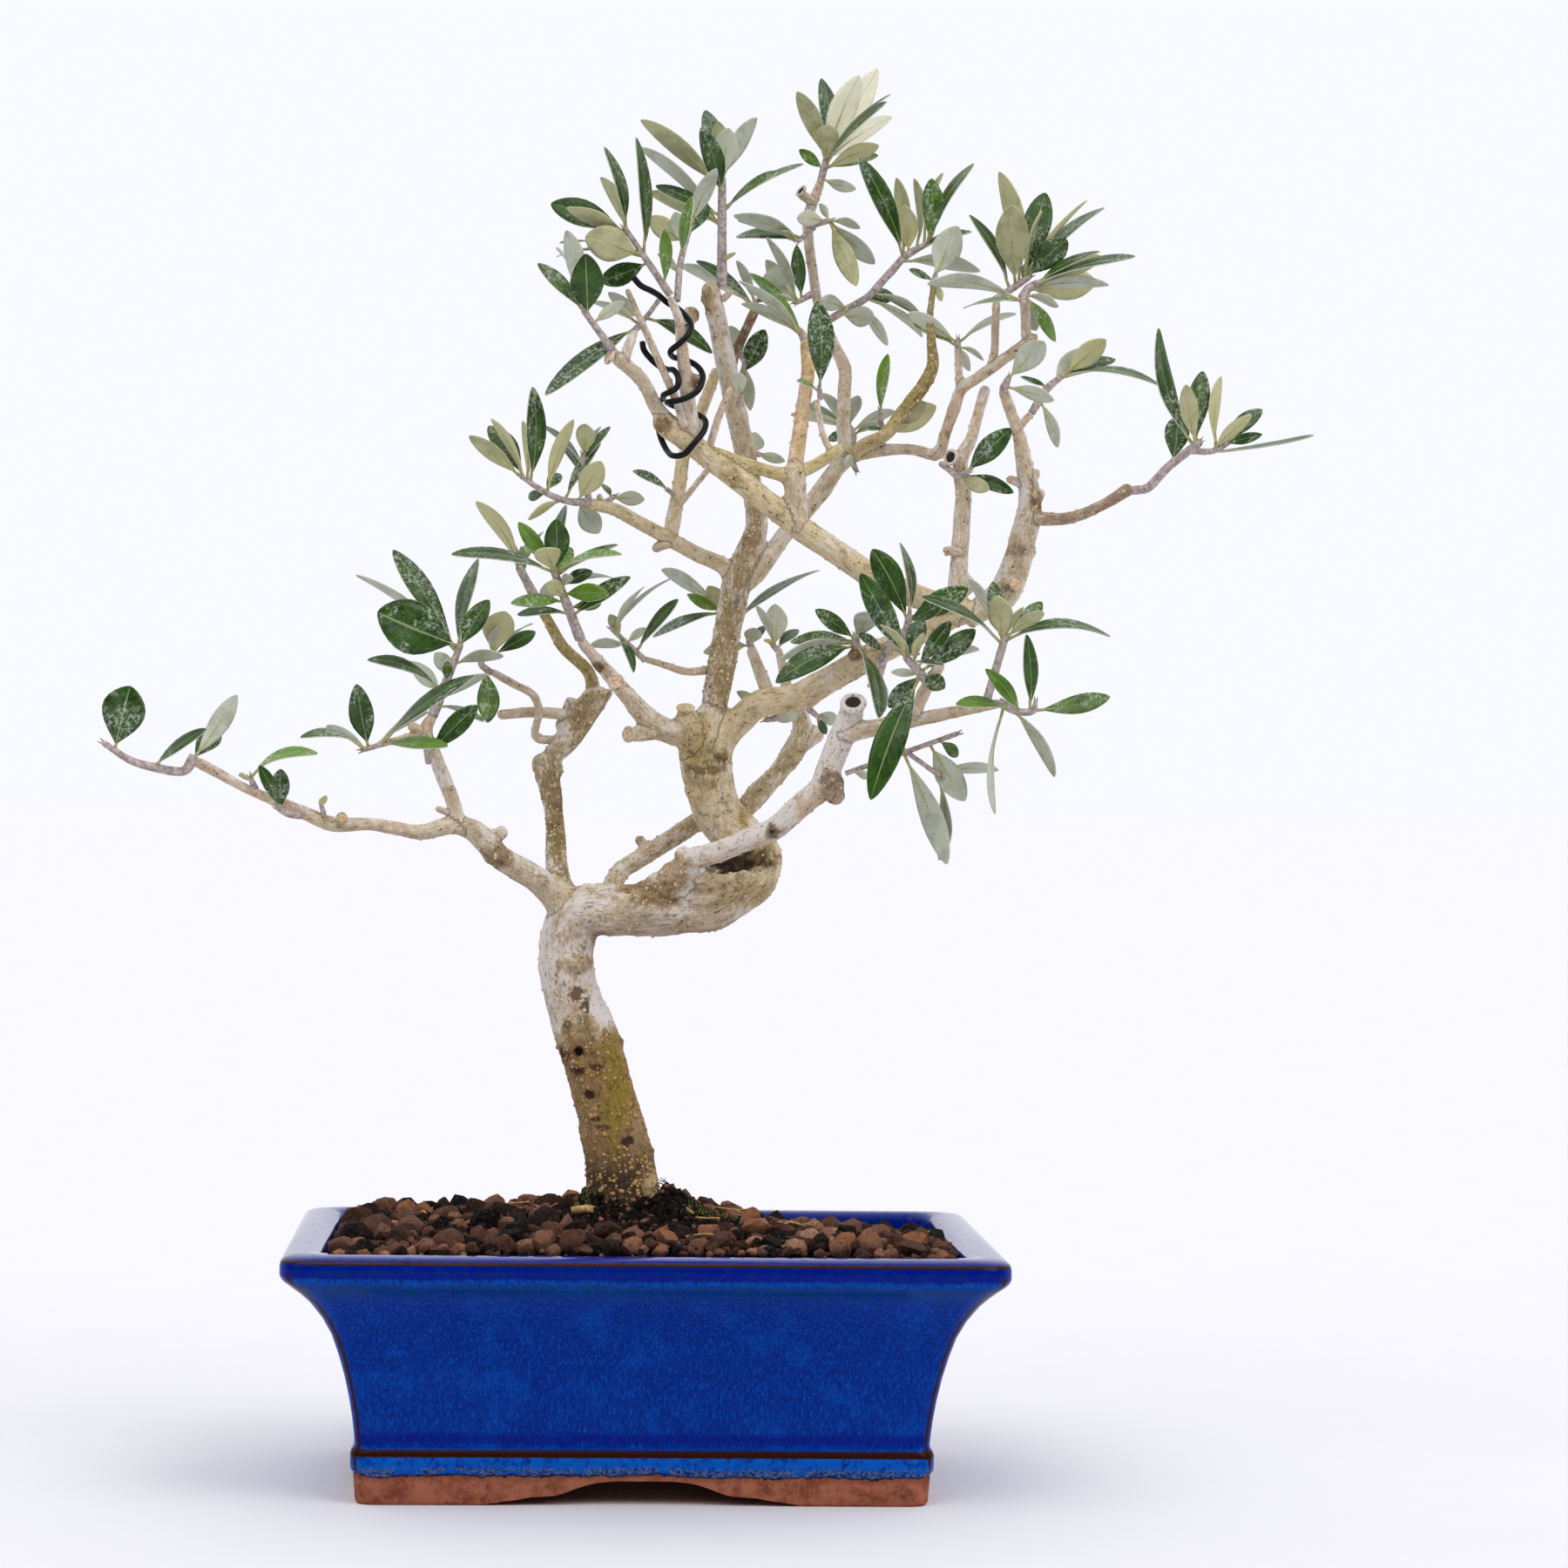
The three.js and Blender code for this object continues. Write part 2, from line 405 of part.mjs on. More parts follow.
      [128, -8, 354, 119, -4, 358, 3, 45, 0.5], [125, -10, 350, 130, -17, 334, 5, 135, 1.5],
    ],
  },
  outer_right_a: {
    stems: [[[112, -20, 353, 1.4], [113, -21, 355.5, 1]]],
    leaves: [
      [113, -21, 355, 124, -26, 367, 8.5, 170, 1], [112, -20, 353, 127, -29, 348, 5, 145, 1.5],
    ],
  },
  fork_low: {
    stems: [[[95, 6, 329.5, 1.1], [98.5, -8, 325, 1], [101.5, -10, 326, 0.8]]],
    leaves: [
      [101, -9, 326, 115, -15, 340, 7.5, 10, 1.5], [98, -8, 325, 108, -16, 320, 5, 170, 1],
      [100, -9, 326, 117, -6, 320, 5, 10, 1.5],
    ],
  },
  crown_right_a: {
    stems: [[[112.5, 8, 384.5, 1.4], [122.5, 8, 391.5, 1]]],
    leaves: [
      [118, 8, 389, 115, -7, 413, 11, 170, 2], [119, 8, 390, 114, 22, 428, 8.5, 135, 3],
      [121, 8, 391, 129, 19, 421, 9.5, 10, 2.5], [121, 8, 391, 126, 4, 413, 6, 105, 1.5],
      [122, 8, 391, 141, 6, 417, 8.5, 105, 2], [122, 8, 392, 149, 22, 417, 8.5, 60, 3],
      [122, 8, 392, 134, -1, 403, 9, 10, 1.5], [120, 8, 390, 125, 21, 398, 4.5, 20, 1],
      [116, 8, 388, 103, 10, 412, 7.5, 55, 2],
    ],
  },
  crown_right_b: {
    stems: [
      [[120, -1, 384.5, 1.6], [121.5, -1, 387, 1.3], [124, -2, 388.5, 1.1]],
      [[120.5, -1, 385, 1.4], [119, -6, 382, 1.1]],
    ],
    leaves: [
      [123, -2, 388, 155, -10, 397, 8.5, 70, 2], [124, -2, 388, 144, -5, 399, 6.5, 65, 1.5],
      [124, -2, 388, 146, 1, 398, 6.5, 150, 1.5], [121, -1, 387, 147, -7, 388, 7, 120, 2],
      [121, -1, 386, 145, 10, 391, 11, 170, 2], [120, -3, 384, 125, 6, 374, 6, 170, 1],
      [120, -1, 385, 130, -13, 380, 4.5, 120, 1], [119, -6, 382, 87, -16, 386, 8.5, 115, 4],
      [119, -5, 383, 101, 7, 381, 6, 70, 1.5], [120, -1, 385, 132, 10, 371, 5.5, 25, 1.5],
    ],
  },
  fork_mid: {
    stems: [[[100, 12, 368.5, 1.1], [100, 12, 370.5, 0.9]]],
    leaves: [
      [100, 12, 370, 83, 6, 379, 5.5, 145, 1.5], [100, 12, 369, 86, 19, 377, 4.5, 40, 1],
      [100, 12, 370, 120, 20, 381, 6.5, 105, 2], [100, 12, 369, 108, 6, 364, 3, 115, 1],
      [100, 12, 369, 105, 22, 362, 3.5, 170, 1],
    ],
  },
  olive_top: {
    stems: [[[91.5, 10, 389, 1.1], [92, 10, 391.5, 1]]],
    leaves: [
      [92, 10, 391, 100, 17, 409, 10, 170, 1.5], [92, 10, 390, 83, 5, 393, 3, 30, 0.5],
      [91, 10, 390, 94, 6, 383, 3, 130, 0.5],
    ],
  },
  crown_mid: {
    stems: [
      [[58.5, 29, 378.5, 1.3], [71.5, 29, 386.5, 1.3], [84, 30, 400.5, 1.3], [92.5, 30, 405.5, 0.9]],
    ],
    leaves: [
      [83, 30, 400, 67, 18, 431, 8.5, 30, 2.5], [83, 30, 400, 81, 34, 427, 7.5, 125, 2],
      [85, 30, 401, 83, 27, 417, 7.5, 170, 1], [91, 30, 405, 92, 27, 426, 7.5, 10, 1.5],
      [88, 30, 402, 87, 35, 427, 7, 105, 2], [92, 30, 405, 107, 38, 433, 8.5, 65, 2.5],
      [90, 30, 404, 97, 41, 430, 8, 100, 2], [88, 30, 403, 105, 22, 408, 5, 55, 1.5],
      [82, 30, 399, 108, 21, 395, 7.5, 120, 2], [68, 29, 384, 78, 24, 370, 5, 125, 1.5],
      [70, 29, 385, 81, 37, 388, 5.5, 10, 1], [65, 29, 383, 55, 20, 384, 5.5, 170, 1],
      [62, 29, 381, 73, 19, 379, 7, 170, 1], [73, 29, 388, 90, 35, 381, 5, 115, 1.5],
      [71, 29, 386, 91, 41, 375, 7, 105, 2],
    ],
  },
  crown_top: {
    stems: [[[55.5, 33, 425, 1.3], [57.5, 34, 433, 1.2]]],
    leaves: [
      [57, 34, 432, 47, 28, 454, 7, 150, 2], [57, 34, 432, 57, 55, 463, 8.5, 35, 2.5],
      [57, 34, 432, 57, 20, 442, 7.5, 170, 1], [57, 34, 432, 68, 35, 461, 9.5, 170, 2],
      [57, 34, 432, 75, 45, 465, 10, 170, 2.5], [57, 34, 432, 81, 58, 451, 8.5, 125, 2.5],
      [57, 34, 431, 78, 29, 454, 8.5, 75, 2], [57, 34, 430, 76, 20, 450, 8.5, 70, 2],
      [57, 34, 429, 74, 23, 436, 6, 150, 1.5], [57, 34, 429, 75, 38, 435, 5.5, 20, 1.5],
      [57, 34, 429, 48, 30, 435, 4, 10, 1], [56, 33, 426, 67, 28, 422, 4, 170, 1],
    ],
  },
  crown_top_low: {
    stems: [[[53, 28, 410, 1.3], [58, 25, 411, 0.9]]],
    leaves: [
      [57, 25, 411, 47, 20, 411, 5.5, 170, 1], [58, 25, 411, 55, 28, 417, 3, 135, 0.5],
      [58, 25, 411, 68, 19, 408, 3.5, 135, 1], [58, 25, 411, 67, 20, 389, 7, 170, 1.5],
      [58, 25, 411, 74, 33, 398, 6, 165, 1.5],
    ],
  },
  crown_side: {
    stems: [[[52.5, 29, 408.5, 1], [48, 25, 404, 0.8]]],
    leaves: [
      [49, 26, 405, 26, 17, 411, 7, 130, 2], [48, 25, 404, 28, 40, 407, 7, 45, 2],
      [48, 25, 404, 28, 29, 411, 6, 115, 1.5], [48, 25, 404, 42, 22, 407, 3, 115, 0.5],
    ],
  },
  crown_inner: {
    stems: [[[52, 28, 386.5, 1.2], [47.5, 24, 383.5, 0.8]]],
    leaves: [
      [50, 25, 385, 47, 20, 402, 5, 10, 1], [48, 24, 384, 37, 16, 404, 6.5, 115, 1.5],
      [48, 24, 384, 39, 14, 384, 3.5, 115, 1], [48, 24, 384, 38, 37, 399, 6, 170, 1.5],
    ],
  },
  hub_leaves: {
    stems: [[[49.5, 11, 370.5, 1.7], [48, 12, 373, 1.1]]],
    leaves: [
      [49, 11, 371, 31, 8, 391, 7, 55, 2], [49, 11, 371, 27, -5, 387, 8.5, 105, 2],
      [49, 11, 371, 29, 16, 382, 6.5, 110, 1.5],
    ],
  },
  hub_leaf_front: {
    stems: [[[54, -2, 350.5, 1], [53.5, -5, 352.5, 0.8]]],
    leaves: [
      [54, -4, 352, 52, -12, 380, 9, 10, 2], [54, -4, 352, 46, -7, 355, 3, 60, 0.5],
    ],
  },
  hub_behind: {
    stems: [[[67, 28, 338, 1.3], [67.5, 34, 341.5, 1.2], [66, 37, 345, 0.9]]],
    leaves: [
      [67, 35, 343, 47, 39, 348, 5.5, 120, 1.5], [67, 36, 344, 49, 44, 352, 5.5, 130, 1.5],
      [66, 36, 344, 58, 48, 356, 5, 125, 1.5], [67, 35, 343, 59, 32, 339, 3.5, 10, 0.5],
      [67, 36, 344, 69, 31, 354, 5, 170, 1], [67, 35, 342, 82, 41, 350, 4.5, 145, 1],
      [67, 33, 341, 76, 25, 345, 3.5, 135, 1],
    ],
  },
  leaf_behind_hub: {
    stems: [[[33, 25, 333.5, 1.3], [36, 28, 333.5, 1]]],
    leaves: [
      [35, 27, 334, 45, 35, 332, 3.5, 170, 1], [34, 26, 334, 35, 32, 341, 7, 170, 0.5],
    ],
  },
  fork_red_twig: {
    stems: [[[76, 17, 337.5, 1.1], [75, 15, 347, 0.9]]],
    leaves: [
      [75, 15, 346, 77, 12, 366, 5.5, 45, 1.5], [76, 16, 342, 71, 11, 341, 3, 45, 0.5],
      [76, 16, 342, 90, 10, 350, 7, 170, 1], [76, 16, 340, 94, 21, 350, 9, 170, 1.5],
      [76, 16, 340, 84, 12, 343, 3, 135, 0.5],
    ],
  },
  fork_under: {
    stems: [[[67, 19, 329.5, 1], [67.5, 17, 328, 0.8]]],
    leaves: [
      [67, 18, 329, 63, 7, 331, 4, 170, 1],
    ],
  },
  wired_top: {
    stems: [[[4, -11, 382, 1.3], [-10, -11, 402, 0.8]]],
    leaves: [
      [-4, -11, 394, -23, -21, 398, 11.5, 170, 1.5], [-10, -11, 402, -17, -6, 429, 8, 55, 2],
      [-3, -11, 394, -7, -14, 431, 8.5, 60, 2.5], [-2, -11, 392, -18, -3, 386, 7.5, 10, -1],
      [-8, -11, 400, -29, -21, 407, 6.5, 130, 1.5], [-9, -11, 401, -34, -1, 411, 9, 10, 2],
      [-9, -11, 401, -18, 0, 420, 6.5, 125, 1.5], [3, -11, 384, 2, -19, 401, 5, 35, 1.5],
      [-4, -11, 395, -31, 3, 399, 8.5, 75, 2], [-3, -11, 394, -32, 7, 395, 8.5, 70, 2.5],
    ],
  },
  wired_side: {
    stems: [[[7, -9, 380.5, 1.1], [8, -6, 392.5, 1.1], [11, -4, 404, 0.8]]],
    leaves: [
      [11, -4, 404, 19, -12, 422, 6, 155, 1.5], [9, -5, 398, 6, -2, 409, 6, 170, 1],
      [8, -6, 394, 11, -18, 412, 6, 50, 1.5], [10, -5, 401, 17, 1, 412, 4.5, 10, 1],
      [10, -5, 399, -2, 4, 408, 7, 170, 1], [8, -7, 388, 1, 3, 396, 4, 125, 1],
    ],
  },
  leader_shoot: {
    stems: [[[22, 7, 387.5, 1.7], [21.5, 5, 421, 1.3]]],
    leaves: [
      [22, 5, 416, 14, -6, 436, 7, 10, 1.5], [22, 6, 405, -5, 13, 432, 8.5, 110, 2.5],
      [22, 5, 418, -5, 13, 441, 8.5, 130, 2.5], [22, 5, 406, -2, 18, 418, 8, 120, 2],
      [22, 5, 421, 23, 0, 437, 8.5, 170, 1], [22, 5, 421, 33, 16, 443, 7.5, 135, 2],
      [22, 5, 421, 20, 6, 440, 6.5, 170, 1.5], [22, 5, 419, 17, 28, 447, 8.5, 30, 2.5],
      [22, 5, 410, 39, -2, 423, 6, 60, 1.5], [22, 5, 411, 48, 7, 427, 8.5, 70, 2],
      [22, 5, 409, 0, 9, 419, 6.5, 45, 1.5], [22, 6, 394, 26, 2, 397, 3, 115, 0.5],
    ],
  },
  dark_stem_top: {
    stems: [[[34, 25, 381.5, 1.3], [34, 26, 383.5, 1]]],
    leaves: [
      [34, 25, 382, 14, 19, 396, 7, 55, 2], [34, 26, 383, 45, 28, 396, 7.5, 170, 1],
      [34, 26, 383, 28, 32, 398, 4.5, 130, 1], [34, 26, 383, 40, 22, 388, 4, 10, 0.5],
      [34, 25, 382, 9, 39, 397, 8.5, 110, 2],
    ],
  },
  dark_stem_mid: {
    stems: [[[29, 20, 365.5, 1], [30.5, 23, 363, 0.9], [29.5, 25, 359, 0.9]]],
    leaves: [
      [29, 25, 359, 37, 20, 374, 7.5, 10, 1], [30, 22, 363, 33, 29, 348, 4.5, 165, 1],
      [30, 22, 364, 26, 30, 376, 6, 170, 1],
    ],
  },
  leader_leaf: {
    stems: [[[27.5, -1, 347.5, 0.8], [28, -4, 349.5, 0.8]]],
    leaves: [
      [28, -4, 349, 27, -8, 357, 5, 170, 0.5],
    ],
  },
  arm_tip: {
    stems: [[[-13.5, -22, 361.5, 1.3], [-23, -26, 373.5, 1]]],
    leaves: [
      [-22, -26, 373, -38, -30, 388, 6, 40, 1.5], [-22, -25, 372, -23, -33, 391, 11, 10, 1.5],
      [-23, -26, 373, -29, -20, 400, 7.5, 140, 2], [-21, -25, 372, -32, 1, 397, 8.5, 75, 2.5],
      [-20, -25, 370, -10, -18, 378, 4, 170, 1],
    ],
  },
  arm_twig: {
    stems: [[[-6.5, -12, 369.5, 1.1], [-1.5, -2, 376.5, 0.8], [1.5, 1, 381, 0.8]]],
    leaves: [
      [-6, -10, 371, -35, -24, 347, 8.5, 40, 3], [-3, -5, 374, 19, 1, 364, 7, 40, 2],
      [-5, -9, 372, -21, -17, 378, 5, 115, 1.5], [-4, -6, 373, -15, 2, 383, 4.5, 170, 1],
    ],
  },
  upper_left: {
    stems: [
      [[-21, -4, 314.5, 1.4], [-27, -7, 314.5, 1.1], [-33.5, -10, 316.5, 1.1], [-42, -14, 321.5, 0.8]],
      [[-20.5, -4, 315, 1.1], [-22.5, -6, 329, 1]],
    ],
    leaves: [
      [-42, -14, 322, -59, -20, 334, 6, 145, 1.5], [-41, -14, 321, -52, -15, 340, 6, 120, 1.5],
      [-41, -14, 321, -53, 1, 339, 7.5, 10, 2], [-40, -13, 321, -42, -8, 340, 5.5, 125, 1.5],
      [-39, -13, 320, -39, -19, 350, 8.5, 45, 2], [-34, -10, 317, -26, -18, 340, 7, 130, 2],
      [-22, -6, 326, -36, 4, 340, 6, 70, 1.5], [-23, -6, 329, -22, -14, 339, 6.5, 170, 1],
      [-22, -6, 327, -14, -5, 339, 4, 50, 1], [-23, -6, 328, -17, 9, 340, 5.5, 60, 1.5],
      [-28, -8, 315, -17, -3, 334, 6, 55, 1.5], [-24, -6, 315, -17, -16, 327, 8, 170, 1],
      [-24, -5, 315, -17, 3, 305, 7.5, 170, 1], [-35, -10, 317, -30, 0, 324, 4.5, 10, 1],
      [-34, -10, 317, -40, -1, 316, 3.5, 10, 1], [-29, -8, 315, -40, -14, 308, 4, 125, 1],
      [-21, -5, 319, -31, 4, 335, 5.5, 60, 1.5],
    ],
  },
  crown_left_leaf: {
    stems: [[[-14.5, 7, 315.5, 1], [-12, 11, 317.5, 0.9]]],
    leaves: [
      [-13, 10, 317, -2, 15, 317, 5, 170, 1], [-13, 10, 317, -16, 14, 322, 3, 45, 0.5],
    ],
  },
  crown_shoot_leaf: {
    stems: [[[7, 17, 319.5, 0.9], [6, 15, 320, 0.8]]],
    leaves: [
      [7, 16, 320, -6, 10, 326, 4, 45, 1],
    ],
  },
  centre_right_hang: {
    stems: [[[52.5, 0, 248.5, 1.1], [54.5, -4, 246.5, 0.8]]],
    leaves: [
      [54, -2, 247, 61, -6, 245, 4.5, 170, 0.5], [54, -3, 247, 58, 3, 241, 3, 15, 0.5],
    ],
  },
};

// The wire has two legs wound up two shoots from one loop round the branch that carries both: x, y, z.
const WIRE_LEGS = [
  [
    [-7.5, -16, 386], [-5, -15, 383.5], [-1.5, -13.5, 382], [1, -10, 381], [4, -7, 379],
    [7, -6.5, 377.5], [10, -8, 374.5], [11.5, -11.5, 371], [10, -15, 367.5], [7.5, -15, 365],
    [5, -12.5, 363], [6, -8.2, 361.5], [9.5, -6, 361], [13.5, -7, 359], [15.5, -10, 355.5],
    [14, -14, 350.5], [11.5, -14.5, 348.5], [8, -15.5, 347], [5, -14, 346.5], [4.3, -10.3, 346.7],
    [4.8, -5.5, 346.7], [8.5, -3.5, 345.5], [13, -3.5, 344], [16.5, -7, 341.5], [16, -11.5, 337.5],
    [13, -14, 333.5], [10, -13.5, 330],
  ],
  [
    [13, -14, 333.5], [10, -13.5, 330], [6.5, -10.5, 329.5], [4.5, -6, 331.5], [2.5, -2.5, 336],
    [1.5, -1, 340.5], [1, -2.5, 345.5], [3, -7, 348.5], [3, -11, 349], [4.5, -14.5, 349.5],
    [7, -15.5, 351], [7.5, -14.5, 354], [6, -11, 357], [4, -8, 357.5], [1.5, -8, 358.5],
    [-1.5, -8.5, 361], [-3.5, -9, 363.5], [-4, -8, 366],
  ],
];

const CLAY = { color: 0x0b3fa4, roughness: 0.25, metalness: 0 };
const EARTH = { color: 0x6a4738, roughness: 1, metalness: 0 };
const BARK = { color: 0xb09c7e, roughness: 0.85, metalness: 0 };
const FOLIAGE = { color: 0x4a6d44, roughness: 0.6, metalness: 0 };
const PLASTIC = { color: 0x1c1d1f, roughness: 0.6, metalness: 0 };
const WIRE = { color: 0x17181b, roughness: 0.4, metalness: 0.4 };

// ---------------------------------------------------------------- solids and meshes

function solid(geometry) {
  geometry.deleteAttribute("normal");
  geometry.deleteAttribute("uv");
  const merged = mergeVertices(geometry, 1e-4);
  const vertProperties = new Float32Array(merged.attributes.position.array);
  const triVerts = new Uint32Array(merged.index.array);
  return new wasm.Manifold(new wasm.Mesh({ numProp: 3, vertProperties, triVerts }));
}

function join(solids) {
  return solids.reduce((sum, next) => sum.add(next));
}

function piece(name, body, finish) {
  const { vertProperties, triVerts } = body.getMesh();
  const geometry = new THREE.BufferGeometry();
  geometry.setAttribute("position", new THREE.BufferAttribute(vertProperties, 3));
  geometry.setIndex(new THREE.BufferAttribute(triVerts, 1));
  geometry.computeVertexNormals();
  const mesh = new THREE.Mesh(geometry, new THREE.MeshStandardMaterial(finish));
  mesh.name = name;
  return mesh;
}

// A closed skin over rings of points that all run the same way round, with flat ends.
function skin(rings) {
  const count = rings[0].length;
  const positions = rings.flat().flatMap((point) => point.toArray());
  const index = [];
  for (let i = 0; i + 1 < rings.length; i++) {
    for (let j = 0; j < count; j++) {
      const a = i * count + j;
      const b = i * count + ((j + 1) % count);
      index.push(a, b, b + count, a, b + count, a + count);
    }
  }
  const last = (rings.length - 1) * count;
  for (let j = 1; j + 1 < count; j++) {
    index.push(0, j + 1, j, last, last + j, last + j + 1);
  }
  const geometry = new THREE.BufferGeometry();
  geometry.setAttribute("position", new THREE.Float32BufferAttribute(positions, 3));
  geometry.setIndex(index);
  return geometry;
}

// ---------------------------------------------------------------- pot, drain meshes and soil

function rimOutline(inset) {
  const x = POT_WIDTH / 2 - inset;
  const y = POT_DEPTH / 2 - inset;
  const r = Math.max(RIM_CORNER - inset * 0.2, 4);
  const outline = new THREE.Shape();
  outline.absarc(x - r, y - r, r, 0, Math.PI / 2);
  outline.absarc(r - x, y - r, r, Math.PI / 2, Math.PI);
  outline.absarc(r - x, r - y, r, Math.PI, 1.5 * Math.PI);
  outline.absarc(x - r, r - y, r, 1.5 * Math.PI, 2 * Math.PI);
  return outline.getPoints(RIM_CORNER_STEPS).slice(0, -1);
}

function potForm(profile, extraInset = 0) {
  const rings = profile.map(([z, inset]) =>
    rimOutline(inset + extraInset).map((point) => new THREE.Vector3(point.x, point.y, z)));
  return solid(skin(rings));
}

// The space under one side of the pot: it rises from the ground in a low scallop, then in an arch.
function footArch(halfGap, length) {
  const rise = [[1, -1], [0.86, 1], [0.69, 2.4], [0.53, 3], [0.41, 5.2], [0.29, 7], [0.16, POT_UNDERSIDE]];
  const outline = [...rise, ...rise.slice().reverse().map(([x, z]) => [-x, z])];
  const shape = new THREE.Shape(outline.map(([x, z]) => new THREE.Vector2(x * halfGap, z)));
  const geometry = new THREE.ExtrudeGeometry(shape, { depth: length, bevelEnabled: false });
  geometry.translate(0, 0, -length / 2);
  geometry.rotateX(Math.PI / 2);
  return geometry;
}

function pot() {
  const outside = POT_OUTSIDE[0][1];
  const hollowX = POT_WIDTH - 2 * (outside + FOOT_WALL);
  const hollowY = POT_DEPTH - 2 * (outside + FOOT_WALL);
  const underside = new THREE.BoxGeometry(hollowX, hollowY, 2 * POT_UNDERSIDE);
  const sideArch = footArch(FOOT_GAP_SHORT, POT_WIDTH + 20).rotateZ(Math.PI / 2);
  let body = potForm(POT_OUTSIDE)
    .subtract(potForm(POT_INSIDE))
    .subtract(solid(underside))
    .subtract(solid(footArch(FOOT_GAP, POT_DEPTH + 20)))
    .subtract(solid(sideArch));
  for (const x of drainPlaces()) {
    const hole = new THREE.CylinderGeometry(DRAIN_RADIUS, DRAIN_RADIUS, POT_FLOOR * 2, DRAIN_SIDES);
    body = body.subtract(solid(hole.rotateX(Math.PI / 2).translate(x, 0, POT_FLOOR)));
  }
  return body;
}

function drainPlaces() {
  return [-DRAIN_SPACING / 2, DRAIN_SPACING / 2];
}

// A lattice of flat strands laid over the hole at x.
function drainMesh(x) {
  const pitch = (MESH_SIZE - MESH_STRAND) / MESH_HOLES;
  const height = POT_FLOOR + GAP + MESH_THICKNESS / 2;
  const strands = [];
  for (let i = 0; i <= MESH_HOLES; i++) {
    const place = (i - MESH_HOLES / 2) * pitch;
    const along = new THREE.BoxGeometry(MESH_SIZE, MESH_STRAND, MESH_THICKNESS);
    const across = new THREE.BoxGeometry(MESH_STRAND, MESH_SIZE, MESH_THICKNESS);
    strands.push(solid(along.translate(x, place, height)), solid(across.translate(x + place, 0, height)));
  }
  return join(strands);
}

// A repeatable scatter: a number from 0 to 1 for each whole x and y.
function scatter(x, y) {
  const wave = Math.sin(x * 127.1 + y * 311.7) * 43758.5453;
  return wave - Math.floor(wave);
}

function soilHeight(x, y) {
  const [trunkX, trunkY] = TRUNK[1];
  const acrossX = 1 - (2 * x / POT_WIDTH) ** 2;
  const acrossY = 1 - (2 * y / POT_DEPTH) ** 2;
  const near = ((x - trunkX) ** 2 + (y - trunkY) ** 2) / (2 * MOUND_RADIUS ** 2);
  return SOIL_EDGE + SOIL_DOME * acrossX * acrossY + MOUND_HEIGHT * Math.exp(-near);
}

// The filling is the pot's hollow under a bed of grains, each a peak between low seams.
function soil(trunkHole) {
  const cellsX = 2 * Math.round(POT_WIDTH / GRAIN_STEP);
  const cellsY = 2 * Math.round(POT_DEPTH / GRAIN_STEP);
  const bed = new THREE.BoxGeometry(POT_WIDTH, POT_DEPTH, POT_HEIGHT, cellsX, cellsY, 1);
  const position = bed.attributes.position;
  for (let i = 0; i < position.count; i++) {
    const x = position.getX(i);
    const y = position.getY(i);
    if (position.getZ(i) < 0) {
      continue;
    }
    const column = Math.round((x / POT_WIDTH + 0.5) * cellsX);
    const row = Math.round((y / POT_DEPTH + 0.5) * cellsY);
    const peak = column % 2 === 1 && row % 2 === 1;
    const lift = peak ? 0.45 + 0.55 * scatter(column, row) : 0.25 * scatter(column, row);
    const drift = peak ? GRAIN_STEP * 0.16 : GRAIN_STEP * 0.1;
    const inner = Math.abs(x) < POT_WIDTH / 2 - 1 && Math.abs(y) < POT_DEPTH / 2 - 1;
    position.setX(i, inner ? x + drift * (scatter(row, column + 7) - 0.5) * 2 : x);
    position.setY(i, inner ? y + drift * (scatter(row + 9, column) - 0.5) * 2 : y);
    position.setZ(i, soilHeight(x, y) - 1 + GRAIN_RELIEF * lift);
  }
  let body = potForm(POT_INSIDE, GAP).intersect(solid(bed)).subtract(trunkHole);
  const floorGap = POT_FLOOR + GAP;
  body = body.subtract(solid(new THREE.BoxGeometry(POT_WIDTH, POT_DEPTH, 2 * floorGap)));
  for (const x of drainPlaces()) {
    const recess = new THREE.BoxGeometry(MESH_SIZE + 2 * GAP, MESH_SIZE + 2 * GAP, MESH_THICKNESS + GAP + 1);
    const height = floorGap + (MESH_THICKNESS + GAP - 1) / 2;
    body = body.subtract(solid(recess.translate(x, 0, height)));
  }
  return body;
}

// ---------------------------------------------------------------- wood, shoots, leaves and wire

// A round stem along rows of x, y, z and radius: one ring at each row, square to the way that it runs. It can
// be grown on all sides, as the space to keep clear round it.
function stem(rows, sides, grow = 0) {
  const points = rows.map(([x, y, z]) => new THREE.Vector3(x, y, z));
  const lastPoint = points.length - 1;
  const way = (i) => points[Math.min(i + 1, lastPoint)].clone().sub(points[Math.max(i - 1, 0)]).normalize();
  const first = way(0);
  points[lastPoint].addScaledVector(way(lastPoint), grow);
  points[0].addScaledVector(first, -grow);
  let across = new THREE.Vector3(0, 1, 0).cross(first);
  if (across.length() < 0.3) {
    across = new THREE.Vector3(1, 0, 0).cross(first);
  }
  const rings = points.map((point, i) => {
    const along = way(i);
    across.addScaledVector(along, -across.dot(along)).normalize();
    const up = along.clone().cross(across);
    const radius = rows[i][3] + grow;
    const ring = [];
    for (let k = 0; k < sides; k++) {
      const angle = (2 * Math.PI * k) / sides;
      const spot = point.clone().addScaledVector(across, radius * Math.cos(angle));
      ring.push(spot.addScaledVector(up, radius * Math.sin(angle)));
    }
    return ring;
  });
  return solid(skin(rings));
}

function branchSides(rows) {
  return rows[0][3] >= LIMB_RADIUS ? LIMB_SIDES : TWIG_SIDES;
}

function wood(grow = 0) {
  const branches = Object.values(BRANCHES).map((rows) => stem(rows, branchSides(rows), grow));
  return join([stem(TRUNK, TRUNK_SIDES, grow), ...branches]);
}

